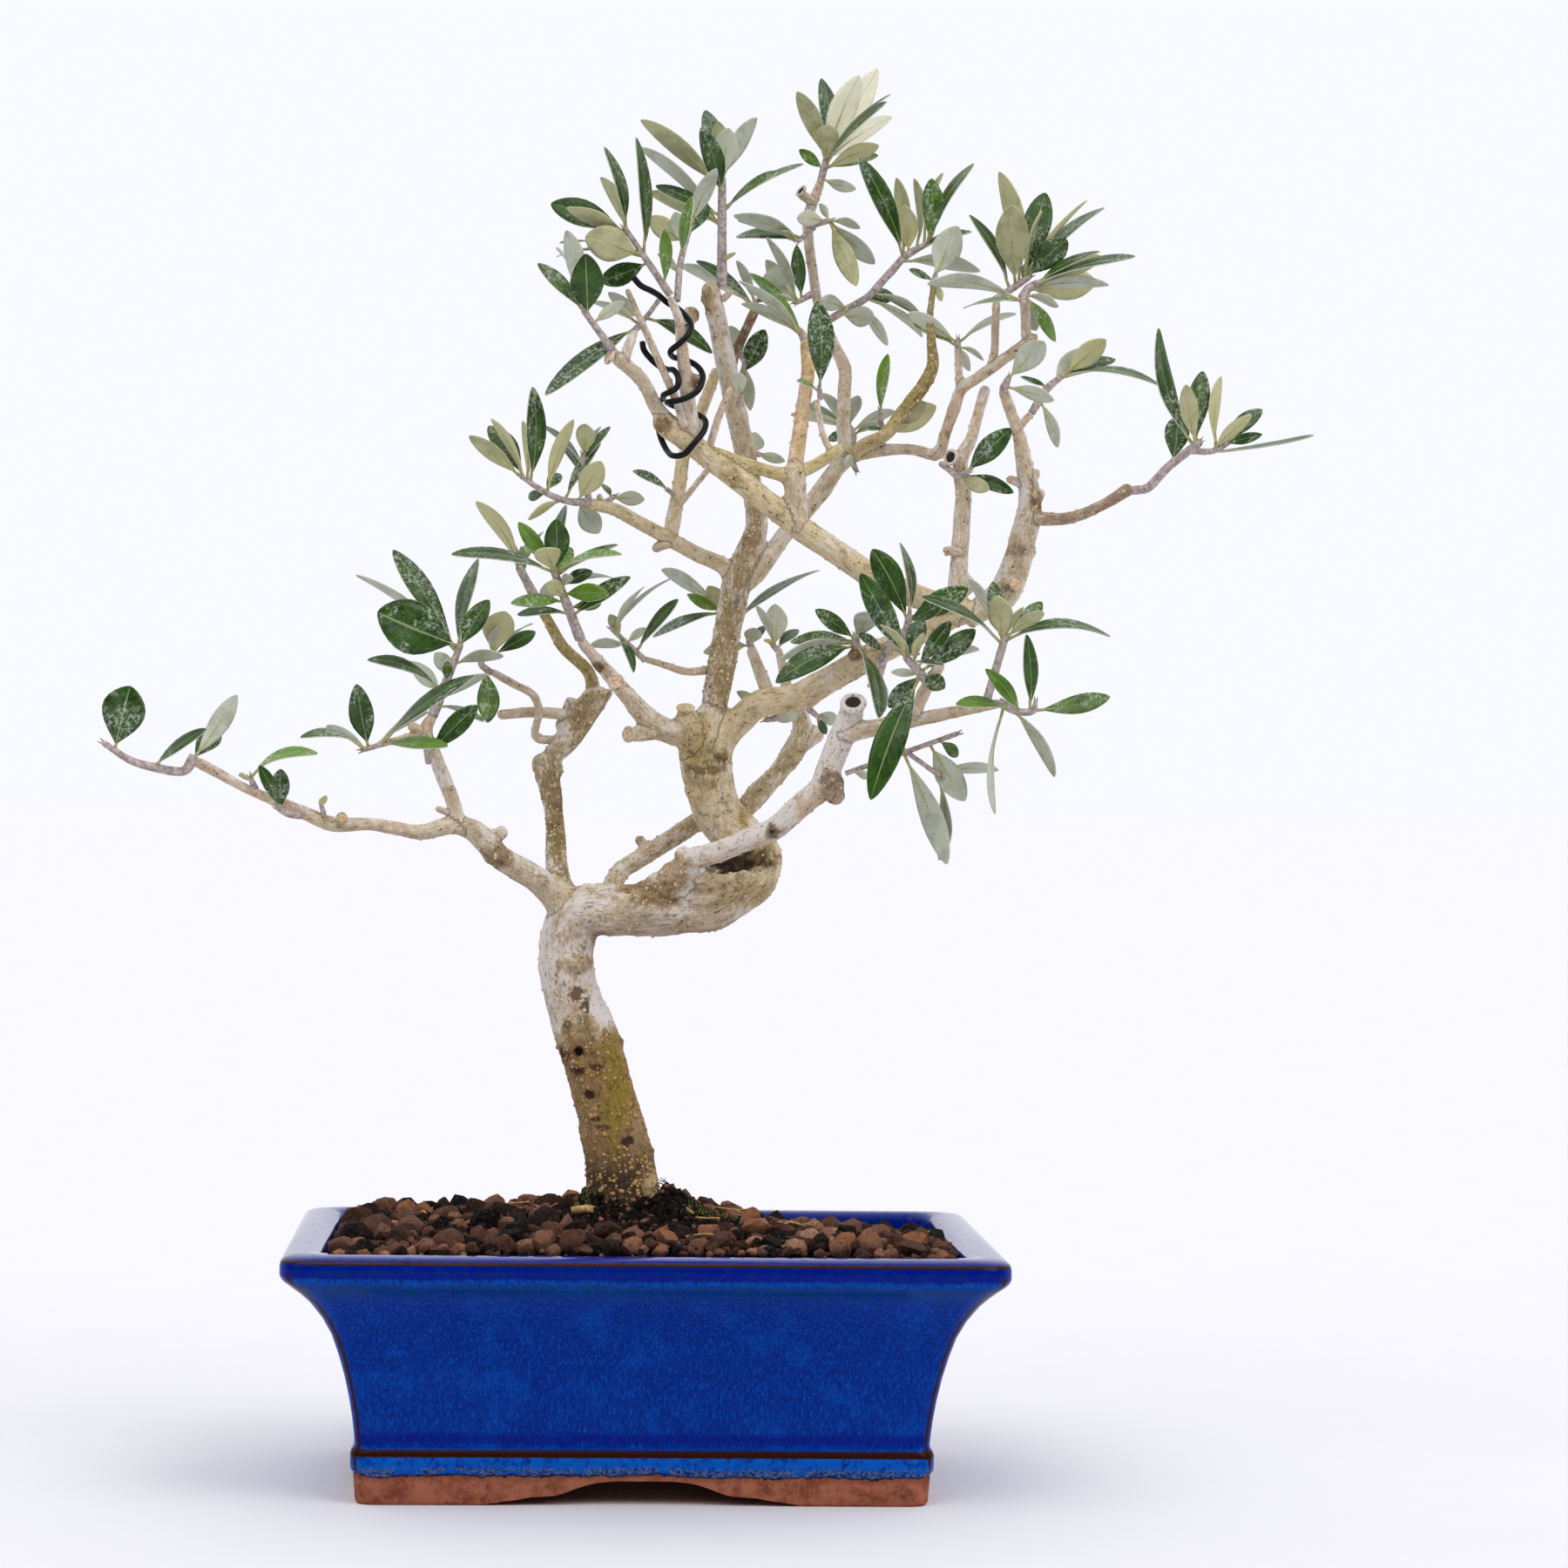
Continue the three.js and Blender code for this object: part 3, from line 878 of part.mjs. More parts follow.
// The nearest point on the middle line of a shoot's stems.
function onStem(stems, spot) {
  const target = new THREE.Vector3(...spot);
  let best = target;
  let bestDistance = Infinity;
  for (const rows of stems) {
    for (let i = 0; i + 1 < rows.length; i++) {
      const line = new THREE.Line3(
        new THREE.Vector3(...rows[i].slice(0, 3)), new THREE.Vector3(...rows[i + 1].slice(0, 3)));
      const closest = line.closestPointToPoint(target, true, new THREE.Vector3());
      if (closest.distanceTo(target) < bestDistance) {
        bestDistance = closest.distanceTo(target);
        best = closest;
      }
    }
  }
  return best;
}

// Where the outline of a leaf turns, along its length, and its width there as a share of the widest.
const LONG_OUTLINE = [[0.36, 0.92], [0.7, 0.96]];
const SHORT_OUTLINE = [[0.52, 1]];

function leaf(stems, [rx, ry, rz, tx, ty, tz, width, turn, bend]) {
  const root = onStem(stems, [rx, ry, rz]);
  const tip = new THREE.Vector3(tx, ty, tz);
  const length = tip.distanceTo(root);
  const along = tip.clone().sub(root).normalize();
  const front = new THREE.Vector3(0, -1, 0);
  front.addScaledVector(along, -front.dot(along)).normalize();
  const upward = along.clone().cross(front);
  if (upward.z < -0.05) {
    upward.negate();
  }
  const angle = THREE.MathUtils.degToRad(turn);
  const face = front.multiplyScalar(Math.cos(angle)).addScaledVector(upward, Math.sin(angle));
  const across = along.clone().cross(face);
  const outline = length > LONG_LEAF ? LONG_OUTLINE : SHORT_OUTLINE;
  const stations = [[0, 0], ...outline, [1, 0]];
  const corners = stations.map(([share, part]) => {
    const middle = root.clone().lerp(tip, share).addScaledVector(face, bend * 4 * share * (1 - share));
    const side = across.clone().multiplyScalar((width / 2) * part);
    const depth = face.clone().multiplyScalar(BLADE / 2);
    return [
      middle.clone().sub(side).add(depth), middle.clone().add(side).add(depth),
      middle.clone().add(side).sub(depth), middle.clone().sub(side).sub(depth),
    ];
  });
  return solid(leafSkin(corners));
}

// The blade's two faces are split the same way, and it closes onto a short edge at its root and its tip.
function leafSkin(corners) {
  const positions = corners.flat().flatMap((point) => point.toArray());
  const index = [];
  for (let i = 0; i + 1 < corners.length; i++) {
    const [a, b, c, d] = [0, 1, 2, 3].map((k) => 4 * i + k);
    index.push(a, b, b + 4, a, b + 4, a + 4);
    index.push(c, d, c + 4, d, d + 4, c + 4);
    index.push(b, c, b + 4, c, c + 4, b + 4);
    index.push(d, a, d + 4, a, a + 4, d + 4);
  }
  const geometry = new THREE.BufferGeometry();
  geometry.setAttribute("position", new THREE.Float32BufferAttribute(positions, 3));
  geometry.setIndex(index);
  return geometry;
}

function shoot({ stems, leaves }) {
  const twigs = stems.map((rows) => stem(rows, STEM_SIDES));
  return join([...twigs, ...leaves.map((row) => leaf(stems, row))]);
}

function wire() {
  const circle = new THREE.Shape().absarc(0, 0, WIRE_RADIUS, 0, 2 * Math.PI);
  const legs = WIRE_LEGS.map((rows) => {
    const points = rows.map((row) => new THREE.Vector3(...row));
    const path = new THREE.CatmullRomCurve3(points, false, "centripetal");
    const options = { steps: 2 * (rows.length - 1), curveSegments: WIRE_SIDES / 2, extrudePath: path };
    return solid(new THREE.ExtrudeGeometry(circle, options));
  });
  return join(legs);
}

// ---------------------------------------------------------------- assembly

const group = new THREE.Group();
const clearance = wood(GAP);

group.add(piece("pot", pot(), CLAY));
group.add(piece("drain_mesh_left", drainMesh(drainPlaces()[0]), PLASTIC));
group.add(piece("drain_mesh_right", drainMesh(drainPlaces()[1]), PLASTIC));
group.add(piece("soil", soil(stem(TRUNK.slice(0, 5), TRUNK_SIDES, GAP)), EARTH));
group.add(piece("trunk_and_branches", wood(), BARK));
group.add(piece("training_wire", wire(), WIRE));
for (const [name, growth] of Object.entries(SPRAYS)) {
  group.add(piece(`shoot_${name}`, shoot(growth).subtract(clearance), FOLIAGE));
}

// The origin is the middle of the plant's box, on the ground.
const box = new THREE.Box3().setFromObject(group);
const middle = box.getCenter(new THREE.Vector3());
group.position.set(-middle.x, -middle.y, -box.min.z);
group.updateMatrixWorld(true);

export default group;
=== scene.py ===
"""An olive grown as a bonsai in a glazed pot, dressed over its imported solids.

Sizes are in millimetres, apart from heights in the glaze, with the middle of the pot at
x = y = 0 and the ground at z = 0. One matrix takes each finished mesh into the frame's metres.
"""

import json
import logging
import math
import random
from collections.abc import Callable, Iterable, Sequence
from dataclasses import dataclass
from enum import Enum
from typing import Any, NamedTuple

import bmesh
import bpy
from mathutils import Matrix, Vector, kdtree, noise

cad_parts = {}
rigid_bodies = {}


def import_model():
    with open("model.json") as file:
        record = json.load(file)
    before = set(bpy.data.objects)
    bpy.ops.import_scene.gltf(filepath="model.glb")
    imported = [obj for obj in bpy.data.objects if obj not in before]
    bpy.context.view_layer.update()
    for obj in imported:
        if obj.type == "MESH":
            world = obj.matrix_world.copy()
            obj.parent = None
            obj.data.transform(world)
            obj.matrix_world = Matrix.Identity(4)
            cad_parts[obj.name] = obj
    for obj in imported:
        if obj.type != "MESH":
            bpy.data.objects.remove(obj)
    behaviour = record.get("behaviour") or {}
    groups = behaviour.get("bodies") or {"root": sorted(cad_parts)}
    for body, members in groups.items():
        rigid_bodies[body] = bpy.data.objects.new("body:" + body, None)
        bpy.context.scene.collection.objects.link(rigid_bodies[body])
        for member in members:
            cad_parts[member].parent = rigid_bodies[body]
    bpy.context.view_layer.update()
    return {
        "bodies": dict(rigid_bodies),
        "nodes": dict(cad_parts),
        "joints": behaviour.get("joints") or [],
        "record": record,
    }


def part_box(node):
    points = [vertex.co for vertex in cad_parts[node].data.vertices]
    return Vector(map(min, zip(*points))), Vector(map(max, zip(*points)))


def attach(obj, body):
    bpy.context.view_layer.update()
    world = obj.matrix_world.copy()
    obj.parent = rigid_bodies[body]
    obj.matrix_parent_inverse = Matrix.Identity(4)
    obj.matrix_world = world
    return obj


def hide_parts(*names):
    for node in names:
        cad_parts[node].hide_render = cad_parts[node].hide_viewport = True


log = logging.getLogger("olive_bonsai")

FRAME_SIDE = 1800  # the camera frame's side in pixels, which its lens is worked out from
MM = 0.001  # a millimetre in the frame's metres
POT_WIDTH = 225.0  # the rim's outside, across
POT_DEPTH = 160.0  # and from front to back
Row = tuple[float, ...]


class LeafKind(Enum):
    """What a leaf is like underneath."""

    FULL = "silvered grey-green underneath"
    YOUNG = "olive-tan underneath"
    PALE = "cream underneath"


UP = LeafKind.FULL
YOUNG = LeafKind.YOUNG
PALE = LeafKind.PALE


class Growth(NamedTuple):
    """One leafy shoot: stems as rows of x, y, z and radius, and its leaves.

    A leaf is the place that it grows from, its tip, its width, how far its upper face is
    turned up from the front in degrees, how far it bows, and its kind.
    """

    stems: tuple[tuple[Row, ...], ...]
    leaves: tuple[tuple[Any, ...], ...]


# The rows of TRUNK, BRANCHES and SHOOTS weren't typed in millimetres. A helper script worked them out from
# points, widths and depths that were chosen by hand, thinned them out and wrote these tables.
TRUNK = (
    (-4, 0, 72.5, 13.6), (-4.5, 0, 80, 13.3), (-6, 0, 87, 12.2), (-7, 0, 100.5, 11.2),
    (-11, 0, 116.5, 10.2), (-14.5, 0, 128.5, 9.9), (-18, 0, 140.5, 10.3), (-22.5, 0, 152, 9.3),
    (-25.5, 0, 164, 9), (-25, 0, 174.5, 9), (-21, -2, 182, 8.7), (-10, -5, 183, 8.4),
    (5, -7, 183.5, 8.7), (20.5, -6, 186, 9.3), (32.5, -1, 193, 8.8), (36, 7, 200.5, 8.2),
    (30.5, 15, 207, 8), (24, 19, 214.5, 8), (20.5, 19, 225.5, 8.3), (19, 18, 238.5, 8.6),
    (20, 18, 243.5, 6.6),
)
BRANCHES = {
    "knuckle_stub": ((16.5, 16, 235.5, 4.9), (13.5, 14, 242, 4), (12.5, 13, 247.5, 3)),
    "left_branch": (
        (-24.5, 0, 181.5, 6.2), (-28.5, -1, 187, 5.6), (-36, -4, 193, 4.2), (-47, -12, 199.5, 3.9),
        (-55.5, -17, 208, 3.6), (-62, -20, 210, 3.1), (-72.5, -24, 207.5, 2.4),
        (-88, -31, 210, 2.1), (-100.5, -35, 210, 2.5), (-126, -42, 220.5, 1.6),
        (-141, -44, 228.5, 1.9),
    ),
    "left_branch_side": (
        (-60.5, -20, 208.5, 2.8), (-62.5, -20, 217.5, 2.5), (-71.5, -20, 239.5, 2.4),
        (-69.5, -19, 244.5, 1.7),
    ),
    "left_side_knob": ((-71.5, -20, 239, 1.8), (-75.5, -22, 241, 1.7)),
    "left_side_twig": ((-71.5, -20, 238, 1.3), (-76.5, -22, 238, 1.1), (-81.5, -25, 236.5, 1)),
    "left_spur": ((-62.5, -20, 213.5, 1.3), (-67, -22, 215, 1.1)),
    "upright_left": (
        (-23, 0, 184, 4.8), (-27.5, 3, 190, 4.1), (-29, 8, 196.5, 3.8), (-29.5, 14, 207, 3.3),
        (-30.5, 18, 217, 3.1), (-32, 21, 225.5, 3.9), (-31, 23, 232, 3.4), (-26, 26, 238.5, 4.3),
        (-17, 28, 252, 4.5),
    ),
    "upright_left_olive": (
        (-17.5, 28, 250.5, 2.5), (-19, 29, 260, 2.2), (-28, 30, 269, 2), (-36.5, 30, 283.5, 1.7),
    ),
    "upright_left_rod": ((-26.5, 26, 246.5, 1.9), (-37.5, 23, 247, 1.9), (-47.5, 19, 246, 1.7)),
    "upright_left_twig": (
        (-28.5, 26, 238, 1.4), (-36.5, 21, 239, 1.4), (-35.5, 18, 247.5, 1.4),
        (-37.5, 16, 252.5, 1.4), (-50.5, 11, 259.5, 1.3),
    ),
    "knuckle_left": (
        (16.5, 18, 239.5, 4.3), (9.5, 14, 240.5, 4), (4, 9, 242.5, 4), (-2, 5, 247, 3.4),
        (-22, -9, 269, 1.8),
    ),
    "knuckle_left_cut": ((2.5, 8, 241.5, 3.4), (-4.5, 4, 240, 2.6)),
    "behind_branch": (
        (-14.5, 4, 183.5, 3.7), (-8, 14, 195.5, 3.1), (17.5, 33, 211.5, 3.2), (33, 40, 216, 3.5),
        (45, 45, 228.5, 3.4), (50.5, 46, 236.5, 3.9), (53, 47, 243, 3.5), (51.5, 47, 249, 2.9),
    ),
    "behind_knob": ((50.5, 46, 237, 3.5), (57.5, 48, 241.5, 3.2)),
    "front_branch": (
        (9, -12, 191, 4.8), (12.5, -19, 199, 3.8), (23, -26, 203, 3.5), (39.5, -32, 210.5, 3.7),
        (53.5, -38, 223.5, 4), (60.5, -42, 242, 4.2), (62.5, -44, 248, 3.7),
    ),
    "front_side": ((60, -43, 240.5, 3), (107, -56, 250.5, 1.6)),
    "front_side_twig": ((82, -50, 246, 1.9), (84, -50, 252.5, 2), (89, -52, 262, 1.9)),
    "leader": (
        (20, 18, 235.5, 4.9), (21.5, 18, 247.5, 4.4), (29, 20, 292, 4.7), (35, 21, 307.5, 3.7),
        (35, 22, 314.5, 3.6), (31.5, 20, 330.5, 3.6), (23.5, 11, 363.5, 3.4), (18.5, 8, 385, 3.1),
    ),
    "leader_twig": ((22.5, 20, 262, 1.6), (12.5, 17, 261, 1.4), (-0.5, 12, 264.5, 1.1)),
    "leader_bud": ((22, 8, 382, 1.4), (25, 7, 384.5, 1)),
    "right_fork": (
        (29.5, 20, 288.5, 3.2), (35.5, 21, 293.5, 2.9), (44, 24, 306, 2.9), (57, 26, 322, 3.2),
        (62, 24, 329.5, 2.9), (66, 22, 333, 2.9), (77, 19, 335, 2.1), (86.5, 16, 335, 1.9),
        (94, 14, 333.5, 2), (101, 9, 354.5, 2), (123.5, 2, 371, 2),
    ),
    "fork_stub": (
        (64.5, 22, 334, 2.6), (63.5, 23, 343, 2.4), (64, 26, 362, 2.2), (57, 28, 377.5, 1.7),
        (54.5, 30, 386.5, 1.7), (52, 32, 403, 1.7), (51.5, 32, 412.5, 1.9), (55, 33, 423.5, 1.6),
    ),
    "top_knob": ((54, 32, 417.5, 1.7), (49.5, 31, 420, 1.7)),
    "fork_twig_a": ((100.5, 9, 353.5, 1.3), (100, 12, 367.5, 1.3)),
    "fork_twig_b": ((121.5, 3, 370, 1.7), (120.5, 0, 383, 1.7)),
    "fork_twig_c": ((110, 6, 360.5, 1.6), (111.5, 7, 366.5, 1.4), (112, 8, 382.5, 1.4)),
    "olive_shoot": (
        (66.5, 20, 333, 2.3), (69.5, 16, 336, 2.3), (76.5, 10, 339.5, 2.3), (88.5, 9, 355.5, 2.3),
        (91.5, 9, 362, 2.1), (90.5, 10, 378.5, 1.1), (91.5, 10, 388, 1.1),
    ),
    "right_limb": (
        (21, 18, 230, 6.3), (25, 18, 239, 4.9), (30, 16, 245, 4.7), (36.5, 12, 250.5, 4.6),
        (49, 8, 253, 4.7), (72, 1, 266.5, 4.2), (83, 0, 272, 4), (101, -4, 281.5, 4.2),
    ),
    "limb_twig_a": ((46, 12, 253.5, 2.1), (43, 16, 267.5, 1.3)),
    "limb_twig_b": ((40, 16, 253, 2.4), (34.5, 24, 268, 1.9)),
    "limb_spur": ((67.5, 2, 261.5, 2.8), (67.5, 0, 268, 2.5)),
    "diagonal": (
        (103, -4, 280, 3.7), (79, -4, 288.5, 3.9), (69.5, -5, 293.5, 4.1), (48.5, -5, 307, 4.1),
        (25.5, -8, 324, 3.7), (3.5, -8, 340, 3.8),
    ),
    "upright_centre": ((47, -6, 308, 3.4), (45.5, -8, 324.5, 3.7)),
    "hub_left": ((45.5, -8, 323.5, 2.8), (36.5, -8, 325.5, 2.2), (19, -8, 331, 2.1)),
    "hub_right": ((45.5, -8, 324.5, 2.5), (53, -7, 328, 2.1), (60, -4, 333, 2)),
    "hub_stem": ((45.5, -7, 324.5, 2.8), (50.5, 6, 359, 2.3), (50, 10, 368.5, 2.1)),
    "hub_thin": ((57.5, -5, 332, 1.1), (55, -3, 338, 1.1), (53, 0, 348.5, 1.1)),
    "peel_twig": ((17.5, -8, 330.5, 1.4), (21, -3, 342.5, 1.3), (25, 4, 352.5, 1.1)),
    "upright_right": (
        (99, -4, 282, 3.4), (101.5, 2, 320, 2.7), (100.5, 3, 330.5, 2.5), (104, 4, 338, 2),
        (109, 12, 354.5, 1.9),
    ),
    "upright_right_stub": ((100, -3, 300.5, 1.7), (95.5, -6, 301, 1.4)),
    "outer_right": (
        (102, -4, 278.5, 3.4), (114, -4, 287, 5.1), (118, -5, 296, 4.8), (122, -8, 313.5, 3.9),
        (121.5, -9, 321.5, 3.4), (117.5, -14, 338, 2.2), (112, -18, 351.5, 1.8),
    ),
    "outer_right_knob_a": ((122, -9, 313, 2.2), (125, -11, 319.5, 1.7)),
    "outer_right_knob_b": ((121, -10, 321, 2), (123.5, -12, 326, 1.5)),
    "outer_right_knob_c": ((120, -10, 322.5, 1.8), (115.5, -9, 324, 1.4)),
    "outer_right_fork": ((117, -14, 340, 1.4), (121, -12, 344.5, 1.3)),
    "outer_right_side": (
        (122.5, -9, 311.5, 2.5), (134, -15, 311.5, 2), (144, -21, 315.5, 1.8),
        (151, -26, 320, 2.2),
    ),
    "crown_left_branch": (
        (28, 20, 291, 3.2), (25, 20, 295.5, 2.9), (15.5, 16, 299.5, 2.7), (-11.5, 1, 312.5, 2.1),
        (-19.5, -3, 314, 2.1),
    ),
    "crown_left_knob": ((6.5, 11, 303.5, 2.3), (2, 9, 301, 1.7)),
    "crown_left_shoot": (
        (6.5, 12, 304.5, 2.6), (9.5, 22, 321.5, 2.4), (11, 26, 332, 2.2), (21.5, 32, 360.5, 1.9),
    ),
    "crown_left_twig": ((9.5, 17, 315.5, 1.1), (18.5, 13, 327, 1.1)),
    "crown_left_up": ((-15.5, -1, 313, 1.4), (-17, -2, 316.5, 1.1)),
    "wired_stem": (
        (12, -8, 336.5, 3.4), (11.5, -9, 343, 2.7), (7.5, -11, 373.5, 1.7), (5, -11, 379.5, 1.4),
    ),
    "wired_thin": ((10, -11, 338.5, 1.5), (7, -11, 347.5, 1.4), (-9, -11, 382, 1)),
    "crown_left_arm": (
        (5.5, -8, 339, 2.8), (0.5, -9, 345.5, 2.4), (-4, -14, 353, 2.4), (-12, -20, 359.5, 2.4),
    ),
    "crown_left_arm_twig": ((-10, -19, 359, 1.8), (-8.5, -18, 364, 1.7), (-7, -14, 368, 1.4)),
    "dark_stem": ((25.5, 13, 359, 1.9), (27, 16, 365.5, 1.7), (33.5, 24, 380, 1.6)),
}
SHOOTS = {
    "left_tip": Growth(
        stems=(
            (
                (-143, -44, 229.5, 1.8), (-145.5, -45, 226, 1.5), (-155, -46, 227, 1.4),
                (-162, -46, 229, 1.2), (-170, -46, 234, 1),
            ),
        ),
        leaves=(
            (-167, -46, 232, -162, -50, 252, 14, 10, 1.5, UP),
            (-155, -46, 227, -138, -56, 239, 6, 55, 1.5, UP),
            (-143, -44, 230, -130, -38, 250, 6.5, 170, 1.5, UP),
            (-143, -44, 229, -136, -31, 239, 7, 10, 1, UP),
        ),
    ),
    "left_branch_a": Growth(
        stems=(((-124, -42, 221.5, 1.1), (-125, -44, 224, 0.8),),),
        leaves=(
            (-125, -44, 224, -104, -50, 232, 6.5, 60, 4.5, UP),
            (-125, -43, 223, -129, -39, 225, 3, 115, 0.5, YOUNG),
        ),
    ),
    "left_branch_b": Growth(
        stems=(((-110.5, -42, 212.5, 1.1), (-113.5, -45, 213, 1), (-116, -46, 214.5, 0.8),),),
        leaves=(
            (-115, -46, 214, -122, -51, 228, 4.5, 25, 1, UP),
            (-115, -46, 214, -116, -40, 227, 6, 10, 1, UP),
        ),
    ),
    "left_sprout": Growth(
        stems=(((-102.5, -37, 213, 0.8), (-103, -38, 215, 0.8),),),
        leaves=(
            (-103, -38, 215, -102, -40, 219, 3, 140, 0.5, YOUNG),
        ),
    ),
    "left_low": Growth(
        stems=(((-83, -26, 236, 1), (-90.5, -28, 233.5, 0.8),),),
        leaves=(
            (-89, -28, 234, -93, -35, 254, 8, 10, 1.5, UP),
            (-90, -28, 233, -110, -40, 237, 6.5, 70, 3.5, UP),
            (-90, -28, 234, -103, -18, 241, 5, 120, 1.5, UP),
            (-85, -27, 235, -56, -43, 257, 8.5, 60, 3, UP),
            (-85, -27, 235, -64, -37, 235, 6.5, 55, 1.5, UP),
            (-87, -27, 235, -71, -13, 246, 6.5, 110, 1.5, UP),
        ),
    ),
    "left_mid": Growth(
        stems=(((-70.5, -25, 230.5, 1), (-71, -29, 233, 0.8),),),
        leaves=(
            (-71, -27, 232, -55, -31, 248, 7, 10, 1.5, UP),
        ),
    ),
    "left_heart": Growth(
        stems=(((-69, -19, 245.5, 1.7), (-61, -18, 267, 1.1),),),
        leaves=(
            (-61, -18, 267, -87, -28, 277, 17.5, 10, 2, UP),
            (-62, -18, 265, -83, -6, 298, 8.5, 35, 3, UP),
            (-62, -18, 265, -95, -1, 290, 8.5, 105, 3, UP),
            (-61, -18, 265, -56, 1, 296, 8.5, 55, 2.5, UP),
            (-61, -18, 266, -52, -16, 282, 7, 10, 1.5, UP),
            (-66, -18, 252, -90, -26, 262, 7.5, 60, 3.5, UP),
            (-66, -18, 252, -77, -10, 262, 5.5, 170, 1, UP),
            (-64, -18, 258, -69, -8, 265, 5.5, 170, 1, UP),
            (-65, -18, 256, -65, -26, 262, 3.5, 10, 0.5, UP),
            (-63, -18, 261, -47, -26, 264, 5, 140, 1.5, UP),
            (-67, -18, 249, -52, -31, 258, 6, 130, 1.5, UP),
            (-68, -19, 248, -53, -29, 243, 5, 65, 1.5, UP),
        ),
    ),
    "left_heart_right": Growth(
        stems=(
            ((-52, 10, 260, 1.1), (-54.5, 8, 262, 1.1), (-53.5, 5, 264, 1), (-50.5, 3, 265, 0.8),),
        ),
        leaves=(
            (-51, 3, 265, -47, -3, 279, 10.5, 170, 1, YOUNG),
            (-51, 4, 265, -49, -5, 274, 3.5, 135, 1, UP), (-50, 3, 265, -37, 9, 273, 5, 10, 1, UP),
            (-52, 4, 264, -38, 17, 276, 6, 75, 1.5, UP),
            (-53, 9, 261, -52, 0, 243, 7.5, 10, 1.5, UP),
        ),
    ),
    "left_upper": Growth(
        stems=(((-37, 30, 284.5, 1.7), (-42.5, 28, 294.5, 1.3),),),
        leaves=(
            (-42, 28, 294, -57, 22, 316, 7.5, 130, 2, YOUNG),
            (-42, 28, 295, -47, 36, 306, 4, 60, 1, UP),
            (-41, 29, 292, -42, 31, 302, 3, 25, 0.5, UP),
            (-42, 28, 293, -35, 50, 308, 7.5, 55, 2, UP),
        ),
    ),
    "front_left": Growth(
        stems=(((-23, -10, 271, 1.7), (-31.5, -13, 292, 1.3),),),
        leaves=(
            (-31, -13, 291, -34, -35, 298, 8.5, 170, 1.5, YOUNG),
            (-31, -13, 291, -31, -19, 308, 8.5, 10, 1.5, UP),
            (-32, -13, 292, -43, -15, 307, 5.5, 15, 1.5, UP),
            (-32, -13, 291, -64, -23, 296, 8.5, 60, 2.5, UP),
            (-31, -13, 291, -10, -22, 297, 6.5, 65, 3, UP),
            (-31, -13, 290, -11, -7, 301, 6.5, 65, 1.5, UP),
            (-31, -13, 289, -26, -3, 300, 5, 10, 1, UP),
            (-31, -13, 290, -35, -5, 281, 5, 170, 1, UP),
            (-28, -12, 283, -33, -20, 288, 5.5, 170, 0.5, YOUNG),
            (-30, -12, 286, -26, -22, 290, 3.5, 170, 1, UP),
            (-28, -11, 282, -45, -18, 281, 5, 30, 1.5, UP),
            (-27, -11, 278, -43, -4, 278, 5, 50, 1.5, UP),
            (-29, -12, 284, -14, -24, 284, 6, 10, 1.5, UP),
            (-30, -12, 287, -12, 10, 291, 7.5, 70, 2, UP),
            (-30, -12, 287, -19, -10, 292, 4.5, 10, 1, UP),
            (-27, -11, 280, -16, -6, 282, 4, 10, 1, UP),
            (-26, -11, 277, -7, -18, 290, 6.5, 35, 1.5, UP),
            (-31, -13, 290, -28, 4, 314, 8, 50, 2, UP),
        ),
    ),
    "centre_left": Growth(
        stems=(((-2, 11, 265, 1.1), (-12, 8, 274, 0.8),),),
        leaves=(
            (-4, 10, 267, 9, 2, 284, 6, 55, 1.5, UP), (-12, 8, 274, 8, 19, 292, 8, 75, 2, UP),
            (-11, 8, 274, -2, -1, 288, 5.5, 110, 1.5, UP),
            (-12, 8, 274, -5, 1, 260, 4.5, 55, 2, UP),
            (-9, 9, 272, -13, 7, 279, 4, 170, 0.5, YOUNG),
            (-7, 9, 270, -1, 16, 275, 3, 170, 0.5, UP), (-7, 9, 269, -19, 21, 269, 5, 125, 1, UP),
        ),
    ),
    "behind_leader": Growth(
        stems=(((29, 28, 277.5, 1.2), (24.5, 35, 282, 0.9),),),
        leaves=(
            (25, 34, 282, 2, 40, 273, 7, 60, 2, UP), (25, 35, 282, 5, 49, 296, 7.5, 120, 2, UP),
            (25, 34, 282, 13, 32, 287, 4, 10, 1, UP),
            (26, 33, 281, 20, 35, 290, 6.5, 170, 0.5, YOUNG),
            (29, 29, 278, 57, 35, 296, 8.5, 70, 2.5, UP),
        ),
    ),
    "behind_leader_low": Growth(
        stems=(((34.5, 25, 269, 1.3), (33.5, 26, 271.5, 1),),),
        leaves=(
            (34, 26, 270, 35, 23, 276, 6, 170, 0.5, UP),
            (34, 26, 270, 19, 38, 268, 5.5, 170, 1.5, UP),
            (34, 26, 270, 39, 34, 277, 3, 25, 1, UP),
        ),
    ),
    "limb_left": Growth(
        stems=(((42.5, 17, 268.5, 1.1), (41, 18, 270, 0.9),),),
        leaves=(
            (42, 17, 269, 35, 11, 283, 4.5, 130, 1, UP),
            (42, 18, 270, 42, 27, 284, 7.5, 170, 1, UP),
            (41, 18, 270, 38, 15, 272, 3, 120, 0.5, YOUNG),
            (42, 17, 269, 50, 31, 276, 4.5, 45, 1, UP),
        ),
    ),
    "limb_under": Growth(
        stems=(((41.5, 14, 246, 1.1), (39, 17, 245.5, 0.9),),),
        leaves=(
            (40, 16, 246, 30, 30, 255, 5, 130, 1.5, UP), (40, 16, 246, 52, 28, 250, 6, 170, 1, UP),
        ),
    ),
    "limb_middle": Growth(
        stems=(((67, -1, 269.5, 1.7), (66.5, -2, 272.5, 1.3),),),
        leaves=(
            (67, -1, 270, 40, -17, 257, 8.5, 30, 2.5, UP),
